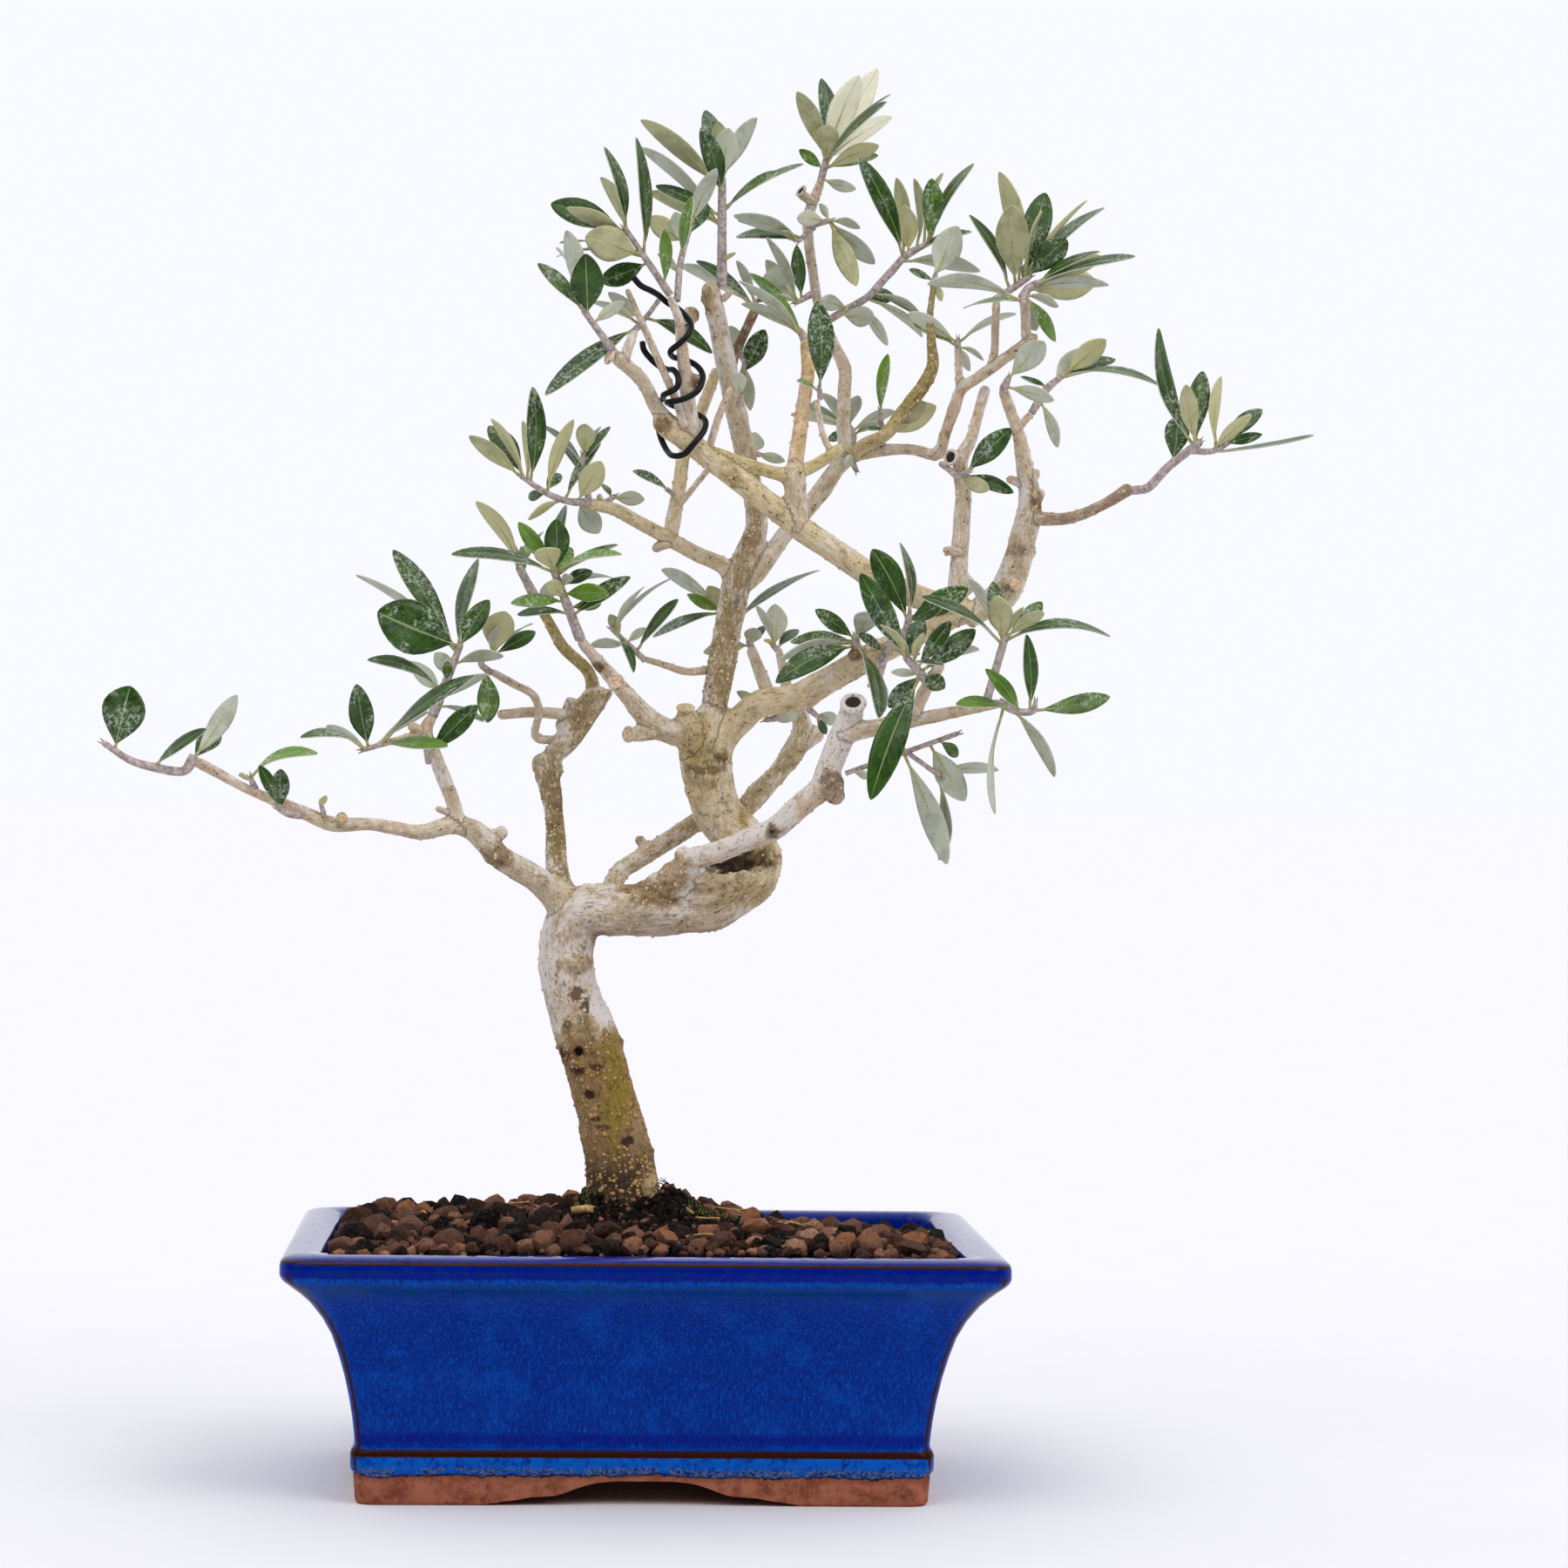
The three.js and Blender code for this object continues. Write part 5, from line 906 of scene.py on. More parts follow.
def smooth_route(rows: Sequence[Row], step: float) -> list[Vector]:
    """Runs a smooth line through rows of x, y, z and radius.

    Args:
        rows: The places that the line passes through.
        step: How far apart the new places are, at most.

    Returns:
        Places along the line as four-part vectors, the last part being the radius.
    """
    corners = [Vector(row) for row in rows]
    spots = corners[:1]
    for start, end in zip(corners, corners[1:]):
        near = BEND_REACH / max((end - start).xyz.length, 0.01)
        shares = (near, 1 - near) if near < 0.5 else ()
        spots += [start.lerp(end, share) for share in shares] + [end]
    if len(spots) == 2:
        spots.insert(1, (spots[0] + spots[1]) / 2)
    knots = [0.0]
    for a, b in zip(spots, spots[1:]):
        knots.append(knots[-1] + math.sqrt(max((b - a).xyz.length, 0.01)))
    slopes = []
    for i, spot in enumerate(spots):
        before, after = max(i - 1, 0), min(i + 1, len(spots) - 1)
        if before == i:
            slopes.append((spots[1] - spot) / (knots[1] - knots[0]))
        elif after == i:
            slopes.append((spot - spots[i - 1]) / (knots[i] - knots[i - 1]))
        else:
            back, ahead = knots[i] - knots[before], knots[after] - knots[i]
            slope = (spot - spots[before]) / back + (spots[after] - spot) / ahead
            slopes.append(slope - (spots[after] - spots[before]) / (back + ahead))
    line = []
    for i in range(len(spots) - 1):
        span = knots[i + 1] - knots[i]
        count = max(1, math.ceil((spots[i + 1] - spots[i]).xyz.length / step))
        for k in range(count):
            t = k / count
            held = (2 * t**3 - 3 * t**2 + 1) * spots[i] + (3 * t**2 - 2 * t**3) * spots[i + 1]
            leant = (t**3 - 2 * t**2 + t) * slopes[i] + (t**3 - t**2) * slopes[i + 1]
            line.append(held + leant * span)
    line.append(spots[-1])
    return line


def stations(route: Sequence[Vector]) -> list[Matrix]:
    """Gives each place on a route a turn and a size, without twisting on the way.

    Args:
        route: Places with their radius, as smooth_route returns.

    Returns:
        A matrix for each place, whose z runs along the route and whose scale is the radius.
    """
    across = Vector((0.0, 1.0, 0.0))
    result = []
    last = len(route) - 1
    for i, spot in enumerate(route):
        along = (route[min(i + 1, last)] - route[max(i - 1, 0)]).xyz.normalized()
        if i == 0 and abs(across.dot(along)) > 0.9:
            across = Vector((1.0, 0.0, 0.0))
        across = (across - along * across.dot(along)).normalized()
        up = along.cross(across)
        turn = Matrix((across, up, along)).transposed().to_4x4()
        result.append(Matrix.Translation(spot.xyz) @ turn @ Matrix.Scale(spot.w, 4))
    return result


def sweep(bm: bmesh.types.BMesh, route: Sequence[Vector], sides: int, flat: float = 1.0) -> None:
    """Draws a ring of edges along a route into a closed round stem.

    Args:
        bm: The mesh that it is made in.
        route: Places with their radius.
        sides: How many sides the stem has.
        flat: The ring's depth as a share of its width.
    """
    frames = stations(route)
    squash = Matrix.Diagonal((1.0, flat, 1.0, 1.0))
    start = frames[0] @ squash
    ring = bmesh.ops.create_circle(bm, cap_ends=True, segments=sides, radius=1, matrix=start)
    edges = list({edge for vert in ring["verts"] for edge in vert.link_edges})
    for before, after in zip(frames, frames[1:]):
        verts, edges = extrude(bm, edges)
        bmesh.ops.transform(bm, matrix=after @ before.inverted(), verts=verts)
    bmesh.ops.contextual_create(bm, geom=edges)


def round_end(route: list[Vector], swell: float = 1.0) -> list[Vector]:
    """Closes a route with a rounded end, a little swollen where that is asked for.

    Args:
        route: Places with their radius.
        swell: The size of the end as a share of the last radius.

    Returns:
        The route with four places added, the last of them almost a point.
    """
    end, way = route[-1], (route[-1] - route[-2]).xyz.normalized()
    tail = []
    for share in (0.35, 0.65, 0.88, 0.98):
        place = end.xyz + way * end.w * swell * share
        tail.append(Vector((*place, end.w * swell * math.sqrt(1 - share**2))))
    return route + tail


def lumps(place: Vector, size: float, seed: float = 0.0) -> float:
    """Smooth noise from -1 to 1 whose lumps are about that size."""
    return noise.noise(place / size + Vector((seed, seed * 0.37, -seed)))


@dataclass(frozen=True)
class Bench:
    """Where the finished meshes go: into metres, with the pot where the solids have it."""

    to_frame: Matrix

    def finish(
        self, bm: bmesh.types.BMesh, name: str, materials: Sequence[bpy.types.Material],
        smooth: bool = True,
    ) -> bpy.types.Object:
        """Takes a finished mesh into the frame as an object.

        Args:
            bm: The mesh in millimetres, which is freed.
            name: The object's name.
            materials: Its material slots, in order.
            smooth: Whether its faces are shaded smoothly.

        Returns:
            The object, at the origin, unturned and unscaled.
        """
        bmesh.ops.transform(bm, matrix=self.to_frame, verts=bm.verts[:])
        for face in bm.faces:
            face.smooth = smooth
        mesh = as_mesh(bm, name)
        for material in materials:
            mesh.materials.append(material)
        piece = bpy.data.objects.new(name, mesh)
        bpy.context.scene.collection.objects.link(piece)
        return piece


def dress(piece: bpy.types.Object, slot: str, *nodes: str) -> None:
    """Rides a piece on the part and hides the solids that it stands for.

    Args:
        piece: The finished object.
        slot: The record's material slot; not used.
        *nodes: The solids that it is shown in place of.
    """
    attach(piece, "root")
    if nodes:
        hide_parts(*nodes)
    log.info("%s: %d faces", piece.name, len(piece.data.polygons))


def applied(
    bm: bmesh.types.BMesh, settings: Callable[[bpy.types.Object], None]
) -> bmesh.types.BMesh:
    """Runs modifiers over a mesh and gives the result back as a mesh.

    Args:
        bm: The mesh, which is freed.
        settings: Adds the modifiers to a passing object.

    Returns:
        A new bmesh with the modifiers applied.
    """
    mesh = as_mesh(bm, "passing")
    passing = bpy.data.objects.new("passing", mesh)
    bpy.context.scene.collection.objects.link(passing)
    settings(passing)
    graph = bpy.context.evaluated_depsgraph_get()
    result = bmesh.new()
    result.from_mesh(passing.evaluated_get(graph).to_mesh())
    bpy.data.objects.remove(passing)
    bpy.data.meshes.remove(mesh)
    return result


# ------------------------------------------------------------------ finishes


class Surface:
    """A material's tree with its main shader, and the patterns that the finishes draw with."""

    def __init__(self, name: str, **settings: Any) -> None:
        """Starts a material.

        Args:
            name: What the material is.
            **settings: Values for the main shader's sockets, with _ for a space.
        """
        self.material = bpy.data.materials.new(name)
        self.material.use_nodes = True
        self.tree = self.material.node_tree
        self.shader = self.tree.nodes["Principled BSDF"]
        for socket, value in settings.items():
            self.shader.inputs[socket.replace("_", " ")].default_value = value
        self.where = self.node("ShaderNodeTexCoord").outputs["Object"]

    def node(self, kind: str, inputs: dict[Any, Any] | None = None, **settings: Any) -> Any:
        """Adds a node to this material, as add_node does."""
        return add_node(self.tree, kind, inputs, **settings)

    def grain(
        self, size: float, detail: float = 4, rough: float = 0.55,
        where: bpy.types.NodeSocket | None = None, stretch: Sequence[float] = (1, 1, 1),
        unit: float = MM,
    ) -> bpy.types.NodeSocket:
        """Draws noise of a real size.

        Args:
            size: The width of one patch in millimetres.
            detail: How many finer layers it has.
            rough: How strong the finer layers are.
            where: The coordinates that it reads, the object's own when left out.
            stretch: How much longer its patches are along x, y and z.
            unit: How many of the coordinates' units a millimetre is.

        Returns:
            The noise, from 0 to 1.
        """
        scale = tuple(1 / (size * unit * part) for part in stretch)
        place = self.node("ShaderNodeMapping", {"Vector": where or self.where, "Scale": scale})
        inputs = {"Vector": place.outputs[0], "Scale": 1.0, "Detail": detail, "Roughness": rough}
        return self.node("ShaderNodeTexNoise", inputs).outputs["Fac"]

    def ragged(
        self, value: bpy.types.NodeSocket, size: float, reach: float
    ) -> bpy.types.NodeSocket:
        """Shifts a value up and down, so that an edge drawn at one level of it is ragged.

        Args:
            value: The value.
            size: The width of the teeth in millimetres.
            reach: How far they reach from crest to trough, in the value's units.

        Returns:
            The shifted value.
        """
        noise_ = self.grain(size, 5, 0.7)
        swing = self.node("ShaderNodeMath", {0: noise_, 1: 0.5}, operation="SUBTRACT").outputs[0]
        inputs = {0: swing, 1: reach * 2, 2: value}
        return self.node("ShaderNodeMath", inputs, operation="MULTIPLY_ADD").outputs[0]

    def share(self, *spans: tuple[Any, float, float], most: float = 1.0) -> Any:
        """Works out how fully a place lies inside several spans at once.

        Args:
            *spans: Each a pattern, the level where it starts to count and the level where
                it counts in full, which may be the lower one.
            most: The greatest share.

        Returns:
            The product of all spans.
        """
        share: Any = most
        for pattern, low, high in spans:
            ends = {"To Min": 0.0, "To Max": share} if low < high else {
                "To Min": share, "To Max": 0.0}
            inputs = {"Value": pattern, "From Min": min(low, high), "From Max": max(low, high)}
            share = self.node(
                "ShaderNodeMapRange", inputs | ends, interpolation_type="SMOOTHSTEP",
            ).outputs["Result"]
        return share

    def layer(
        self, below: Any, above: Any, *spans: tuple[Any, float, float], most: float = 1.0
    ) -> Any:
        """Lays a colour over another where a place lies inside all spans.

        Args:
            below: The lower colour, as hex or a socket.
            above: The upper colour, as hex or a socket.
            *spans: As share takes them.
            most: How much of the lower colour it hides at most.

        Returns:
            The mixed colour.
        """
        sides = [srgb(c) if isinstance(c, str) else c for c in (below, above)]
        inputs = {0: self.share(*spans, most=most), 6: sides[0], 7: sides[1]}
        return self.node("ShaderNodeMix", inputs, data_type="RGBA", clamp_factor=True).outputs[2]

    def finish(
        self, colour: Any, rough: tuple[Any, float, float],
        *relief: tuple[bpy.types.NodeSocket, float],
    ) -> bpy.types.Material:
        """Gives the shader its colour, its varying gloss and its relief.

        Args:
            colour: The colour's socket.
            rough: A pattern, and the roughness where it is 0 and where it is 1.
            *relief: Pairs of a pattern and its height in millimetres.

        Returns:
            The finished material.
        """
        inputs = {"Value": rough[0], "To Min": rough[1], "To Max": rough[2]}
        level = self.node("ShaderNodeMapRange", inputs).outputs["Result"]
        self.tree.links.new(colour, self.shader.inputs["Base Color"])
        self.tree.links.new(level, self.shader.inputs["Roughness"])
        normal = None
        for height, depth in relief:
            inputs = {"Height": height, "Strength": 1.0, "Distance": depth * MM}
            if normal:
                inputs["Normal"] = normal
            normal = self.node("ShaderNodeBump", inputs).outputs["Normal"]
        if normal:
            self.tree.links.new(normal, self.shader.inputs["Normal"])
        return self.material


@dataclass(frozen=True)
class CobaltGlaze:
    """Stoneware glaze, brushed on and fired: deep cobalt that runs thin and brown on edges."""

    body: str = "#003098"
    streak: str = "#002674"
    ultramarine: str = "#000E7E"
    teal: str = "#003C6A"
    bright: str = "#005AC0"
    thin: str = "#30140C"
    specks: str = "#061440"
    scum: str = "#66748C"
    clay: str = "#A8674F"
    clay_dark: str = "#7A4130"
    clay_stain: str = "#3A2A1C"
    edge_height: float = 8.9
    # heights between which a run of colour comes in, and where it goes out, in metres
    lip_run = ((0.0694, 0.0706), (0.0732, 0.0720))
    green_run = ((0.0650, 0.0676), (0.0714, 0.0700))
    neck = (0.0714, 0.0730)
    lip = (0.0724, 0.0732)
    groove_pool = ((0.0184, 0.0194), (0.0232, 0.0210))
    base_band = (0.0156, 0.0148)
    wet_rim = (0.0766, 0.0776)

    def make(self) -> bpy.types.Material:
        """Builds the material.

        Fine upright streaks and a mottle keep the blue from looking painted. It pools
        ultramarine under the lip and over the groove, with a greenish run between, and the
        bare clay below its ragged edge is dull.

        Returns:
            The material for the pot's outer and inner faces.
        """
        s = Surface("cobalt_stoneware_glaze", IOR=1.45, Specular_IOR_Level=0.07)
        height = s.node("ShaderNodeSeparateXYZ", {0: s.where}).outputs["Z"]
        level = s.ragged(height, 12, 0.0012)
        streaks = s.grain(0.7, 5, 0.8, stretch=(1, 1, 3.5))
        drips = s.grain(1.2, 5, 0.8, stretch=(1, 1, 4))
        blue = s.layer(self.body, self.streak, (streaks, 0.44, 0.58), most=0.9)
        blue = s.layer(blue, self.bright, (s.grain(14, 4, 0.65), 0.48, 0.72), most=0.3)
        blue = s.layer(blue, self.bright, (streaks, 0.48, 0.36), most=0.6)
        blue = s.layer(
            blue, self.bright, *((level, *span) for span in self.lip_run), (drips, 0.38, 0.60),
            most=0.65,
        )
        blue = s.layer(
            blue, self.teal, *((level, *span) for span in self.green_run), (drips, 0.46, 0.54),
            most=0.95,
        )
        blue = s.layer(
            blue, self.ultramarine, (level, *self.neck), (streaks, 0.64, 0.50), most=0.9,
        )
        blue = s.layer(
            blue, self.streak, (level, *self.lip), (s.grain(4, 4, 0.7), 0.44, 0.62), most=0.7,
        )
        blue = s.layer(
            blue, self.ultramarine, *((level, *span) for span in self.groove_pool), most=0.7,
        )
        blue = s.layer(
            blue, self.bright, (level, *self.base_band), (s.grain(3, 5, 0.7), 0.66, 0.46), most=0.95,
        )
        cells = s.node("ShaderNodeTexVoronoi", {"Vector": s.where, "Scale": 400.0})
        blue = s.layer(
            blue, self.specks, (cells.outputs["Distance"], 0.13, 0.07),
            (s.grain(5, 2), 0.58, 0.68), most=0.8,
        )
        worn = s.node("ShaderNodeAttribute", attribute_name="thin").outputs["Fac"]
        bare = s.share((s.ragged(worn, 2.4, 0.28), 0.52, 0.74))
        blue = s.layer(blue, self.thin, (bare, 0.0, 1.0))
        edge = s.ragged(s.ragged(height, 24, 0.0024), 3, 0.0009)
        cut = self.edge_height * MM
        scummed = s.layer("#002E74", self.scum, (s.grain(1.1, 4, 0.8), 0.44, 0.58))
        blue = s.layer(
            blue, scummed, (edge, cut + 0.0036, cut + 0.0020), (s.grain(6, 4, 0.7), 0.40, 0.52),
            most=0.9,
        )
        blue = s.layer(blue, self.specks, (edge, cut + 0.0007, cut + 0.0003), most=0.9)
        clay = s.layer(self.clay_dark, self.clay, (s.grain(5, 6, 0.8), 0.34, 0.60))
        clay = s.layer(clay, self.clay_stain, (s.grain(8, 5, 0.7), 0.58, 0.70), most=0.45)
        clay = s.layer(clay, self.clay_dark, (edge, cut - 0.0024, cut - 0.0002), most=0.5)
        marked = s.node("ShaderNodeAttribute", attribute_name="clay").outputs["Fac"]
        below = s.share((edge, cut + 0.0002, cut - 0.0001))
        unglazed = s.node("ShaderNodeMath", {0: below, 1: marked}, operation="MAXIMUM").outputs[0]
        wet = s.share((height, *self.wet_rim), (s.grain(3, 4, 0.8), 0.30, 0.46), most=0.6)
        s.tree.links.new(wet, s.shader.inputs["Coat Weight"])
        return s.finish(
            s.layer(blue, clay, (unglazed, 0.0, 1.0)), (unglazed, 0.10, 0.85),
            (s.grain(16, 3, 0.5), 0.16), (unglazed, -0.35), (s.grain(0.5, 3, 0.7), 0.015),
        )


@dataclass(frozen=True)
class FiredGrain:
    """Akadama, a baked volcanic clay broken into crumbs: dull, porous, brown to orange."""

    tones = (
        (0.0, "#040202"), (0.09, "#110C0E"), (0.20, "#281813"), (0.38, "#4A3026"),
        (0.64, "#6A4739"), (0.82, "#845D4B"), (0.91, "#9A6442"), (1.0, "#B08C78"),
    )
    dust: str = "#A58A74"
    crack: str = "#1C120E"

    def make(self) -> bpy.types.Material:
        """Builds the material, whose tone each grain carries, darkened on its lower part as painted shade,
        with a gritty, matt face.
        """
        s = Surface("baked_akadama_clay", Specular_IOR_Level=0.2)
        tone = s.node("ShaderNodeAttribute", attribute_name="tone").outputs["Fac"]
        gritty = s.grain(1.3, 6, 0.75)
        colour = s.node(
            "ShaderNodeValToRGB", {"Fac": s.ragged(tone, 1.6, 0.2)}, stops=self.tones,
        ).outputs["Color"]
        colour = s.layer(colour, self.crack, (gritty, 0.46, 0.34), most=0.85)
        colour = s.layer(colour, self.dust, (s.grain(0.7, 4, 0.8), 0.54, 0.70), most=0.4)
        return s.finish(colour, (gritty, 0.9, 1.0), (gritty, 0.8), (s.grain(0.5, 4, 0.8), 0.15))


@dataclass(frozen=True)
class Humus:
    """Dark leaf mould and fibre round the roots, broken up and damp in places; under the grains its
    near-black is also painted shade in the gaps between them.
    """

    # near-black: mould round the trunk, and painted shade between the grains over the rest of the bed
    dark: str = "#060302"
    light: str = "#32241A"
    green: str = "#39401A"

    def make(self) -> bpy.types.Material:
        """Builds the material: nearly black crumbs with brown fibre and a little moss."""
        s = Surface("leaf_mould", Specular_IOR_Level=0.2)
        crumb = s.grain(1.3, 6, 0.78)
        colour = s.layer(self.dark, self.light, (crumb, 0.42, 0.66))
        colour = s.layer(colour, self.green, (s.grain(9, 4, 0.7), 0.60, 0.70), most=0.5)
        return s.finish(colour, (crumb, 0.85, 1.0), (crumb, 1.2))


@dataclass(frozen=True)
class Bark:
    """Young olive bark: thin and smooth, grey over tan, dusted white by hard water, and whitened on its
    upward and side faces by painted light.
    """

    chalk_and_rim_light: str = "#E4DEDC"
    stain: str = "#8A6E4A"
    worn: str = "#F0E2C6"
    crack: str = "#46341F"
    moss: str = "#8C843A"
    dot: str = "#54421F"
    cork: str = "#E8D2A4"
    # small dry scars on the trunk, in millimetres: middle, half width, half height, colour
    scars = (
        ((-17.5, -9, 123.7), 1.9, 1.3, "#2E1E18"), ((-15.5, -9.3, 116.2), 1.8, 0.9, "#4A3026"),
        ((-13.2, -9.6, 113.4), 2.0, 1.1, "#5A3C30"), ((-5.3, -10, 109), 1.9, 1.5, "#3C281F"),
        ((-4.8, -10, 112.6), 1.9, 0.5, "#7A5440"), ((-22.2, -9.5, 156), 2.3, 2.6, "#5E4636"),
        ((-19.3, -9.5, 151.8), 1.6, 2.9, "#523C2E"), ((-25, -8, 146), 1.4, 1.6, "#6A5640"),
        ((-26.6, -6, 137), 2.6, 2.4, "#46301F"), ((-22, -9, 131.6), 2.6, 1.4, "#3E2A1C"),
        # the last, near-black scar paints the shade inside a small pit
        ((-15.5, -9, 132.8), 2.2, 1.5, "#4A3424"), ((-21, -9.5, 137.7), 1.6, 1.5, "#0E0805"),
    )

    def make(self, to_frame: Matrix) -> bpy.types.Material:
        """Builds the material.

        The mesh carries the bark's own colour and how much white lies on it; part of that
        white is painted light on faces turned up or to the sides. Stains and worn places,
        cracks along the branch, dark dots, scars and pale corky pores break it up.

        Args:
            to_frame: Takes a scar's place from millimetres into the frame.

        Returns:
            The material for the trunk and every branch.
        """
        s = Surface("olive_bark", Specular_IOR_Level=0.25)
        along = s.node("ShaderNodeAttribute", attribute_name="grain").outputs["Vector"]
        hue = s.node("ShaderNodeAttribute", attribute_name="hue").outputs["Color"]
        chalk_and_rim_light = s.node("ShaderNodeAttribute", attribute_name="chalk_and_rim_light").outputs["Fac"]
        lines = s.grain(0.6, 5, 0.75, along, (1, 1, 6), 1.0)
        patches = s.grain(3.4, 5, 0.72, along, (1, 1, 1.8), 1.0)
        fine = s.grain(1.1, 5, 0.78, along, (1, 1, 1.7), 1.0)
        tone = s.layer(hue, self.stain, (patches, 0.52, 0.64), most=0.6)
        bare = (chalk_and_rim_light, -0.55, 0.1)
        tone = s.layer(tone, self.worn, (patches, 0.47, 0.36), bare, most=0.7)
        tone = s.layer(tone, self.moss, (s.grain(11, 4, 0.7), 0.56, 0.70), most=0.45)
        tone = s.layer(tone, self.crack, (lines, 0.56, 0.64), most=0.6)
        tone = s.layer(tone, self.crack, (fine, 0.42, 0.34), most=0.5)
        blown = s.node("ShaderNodeMath", {0: chalk_and_rim_light, 1: fine}, operation="ADD").outputs[0]
        white = s.node("ShaderNodeMath", {0: blown, 1: patches}, operation="SUBTRACT").outputs[0]
        # the white lies where chalk and the painted rim light are strong
        tone = s.layer(tone, self.chalk_and_rim_light, (white, 0.24, 0.50), (lines, 0.68, 0.52), most=0.85)
        mottle = s.grain(2.0, 6, 0.82, along, (1, 1, 1.5), 1.0)
        live = (chalk_and_rim_light, -2.0, -1.2)
        tone = s.layer(tone, self.crack, (mottle, 0.49, 0.40), (chalk_and_rim_light, 0.4, -0.4), most=0.65)
        tone = s.layer(tone, self.worn, (mottle, 0.52, 0.62), (chalk_and_rim_light, -0.9, 0.1), most=0.4)
        for place, wide, high, colour in self.scars:
            inputs = {0: s.where, 1: tuple(to_frame @ Vector(place))}
            off = s.node("ShaderNodeVectorMath", inputs, operation="SUBTRACT").outputs[0]
            inputs = {0: off, 1: (1000 / wide, 200, 1000 / high)}
            off = s.node("ShaderNodeVectorMath", inputs, operation="MULTIPLY").outputs[0]
            far = s.node("ShaderNodeVectorMath", {0: off}, operation="LENGTH").outputs["Value"]
            tone = s.layer(tone, colour, (s.ragged(far, 1.6, 1.5), 1.1, 0.85), most=0.9)
        dots = s.node("ShaderNodeTexVoronoi", {"Vector": along, "Scale": 0.38})
        dark = (dots.outputs["Distance"], 0.20, 0.12)
        tone = s.layer(tone, self.dot, dark, (patches, 0.44, 0.54), most=0.8)
        cells = s.node("ShaderNodeTexVoronoi", {"Vector": along, "Scale": 0.5})
        pores = s.share((cells.outputs["Distance"], 0.24, 0.16), (patches, 0.56, 0.47))
        tone = s.layer(tone, self.cork, (pores, 0.0, 1.0), live, most=0.8)
        return s.finish(
            tone, (fine, 0.72, 0.9), (lines, 0.15), (fine, 0.35), (patches, 0.3), (pores, 0.25),
        )


@dataclass(frozen=True)
class LeafSkin:
    """The waxed skin of an olive leaf.

    The upper face is deep green under a clear wax with dried spots of hard water; the
    underside is felted with silver scales.
    """

    name: str
    base: str
    shade: str
    light: str
    vein: str
    spots: str
    spotted: float
    roughness: float

    def make(self) -> bpy.types.Material:
        """Builds the material: a midrib, soft side veins, a pale rim, and a film of lime."""
        s = Surface(self.name, IOR=1.45, Specular_IOR_Level=0.4)
        uv = s.node("ShaderNodeUVMap", uv_map="blade").outputs["UV"]
        parts = s.node("ShaderNodeSeparateXYZ", {0: uv})
        offset = s.node("ShaderNodeMath", {0: parts.outputs["X"], 1: 0.5}, operation="SUBTRACT")
        side = s.node("ShaderNodeMath", {0: offset.outputs[0]}, operation="ABSOLUTE").outputs[0]
        tone = s.node("ShaderNodeAttribute", attribute_name="tone").outputs["Fac"]
        leaf = s.layer(self.base, self.shade, (s.grain(5, 4, 0.6), 0.42, 0.62))
        leaf = s.layer(leaf, self.light, (s.ragged(tone, 7, 0.5), 0.40, 1.0), most=0.8)
        inputs = {0: side, 1: -0.35, 2: parts.outputs["Y"]}
        slope = s.node("ShaderNodeMath", inputs, operation="MULTIPLY_ADD").outputs[0]
        ribs = s.node("ShaderNodeMath", {0: slope, 1: 0.05}, operation="PINGPONG").outputs[0]
        leaf = s.layer(leaf, self.vein, (ribs, 0.012, 0.003), most=0.06)
        leaf = s.layer(leaf, self.vein, (side, 0.030, 0.014), most=0.6)
        leaf = s.layer(leaf, self.vein, (side, 0.478, 0.5), most=0.5)
        drift = s.grain(15, 4, 0.7)
        film = s.share((s.grain(1.3, 5, 0.8), 0.48, 0.60), (drift, 0.42, 0.60))
        leaf = s.layer(leaf, self.spots, (film, 0.0, 1.0), most=0.75 * self.spotted)
        cells = s.node("ShaderNodeTexVoronoi", {"Vector": s.where, "Scale": 1500.0})
        leaf = s.layer(
            leaf, self.spots, (cells.outputs["Distance"], 0.26, 0.16), (drift, 0.42, 0.62),
            most=self.spotted,
        )
        return s.finish(
            leaf, (film, self.roughness, min(1.0, self.roughness + 0.3)),
            (s.share((side, 0.0, 0.05)), 0.12), (s.grain(0.7, 3, 0.6), 0.04),
        )


@dataclass(frozen=True)
class Plain:
    """A finish of one stuff with a mottle and a fine relief: two tones, gloss and grain size."""

    name: str
    dark: str
    light: str
    roughness: float
    grain: float
    relief: float
    specular: float = 0.5

    def make(self) -> bpy.types.Material:
        """Builds the material."""
        s = Surface(self.name, Specular_IOR_Level=self.specular)
        speck = s.grain(self.grain, 5, 0.7)
        tone = s.layer(self.dark, self.light, (speck, 0.34, 0.66))
        rough = (speck, self.roughness * 0.85, min(1.0, self.roughness * 1.15))
        return s.finish(tone, rough, (s.grain(self.grain * 0.7, 4, 0.7), self.relief))


# deep grey-green under wax, which catches soft light and dusty lime
UPPER_SKIN = LeafSkin(
    "olive_leaf_upper", "#305212", "#1E3A0B", "#6E962C", "#98B070", "#D0D8CA", 0.75, 0.27,
)
# felt of silver scales: dull, grey-green
UNDER_SKIN = LeafSkin(
    "olive_leaf_underside", "#BCC2B0", "#A8AE9A", "#CDD0BA", "#D6D8C4", "#E2E4DC", 0.3, 0.66,
)
# the same felt while the leaf is young, olive-tan
YOUNG_SKIN = LeafSkin(
    "young_olive_leaf_underside", "#B8B88E", "#A2A278", "#CECA96", "#D4D2AA", "#E0E0D0", 0.3,
    0.62,
)
# thin pale leaf: its near-white colour paints in the glow of the light shining through it
CREAM_GLOW_SKIN = LeafSkin(
    "cream_olive_leaf_underside_with_painted_glow", "#FAF8E0", "#F2EFD0", "#FCFAEC", "#E4E2AC", "#FCFCF6", 0.2,
    0.6,
)
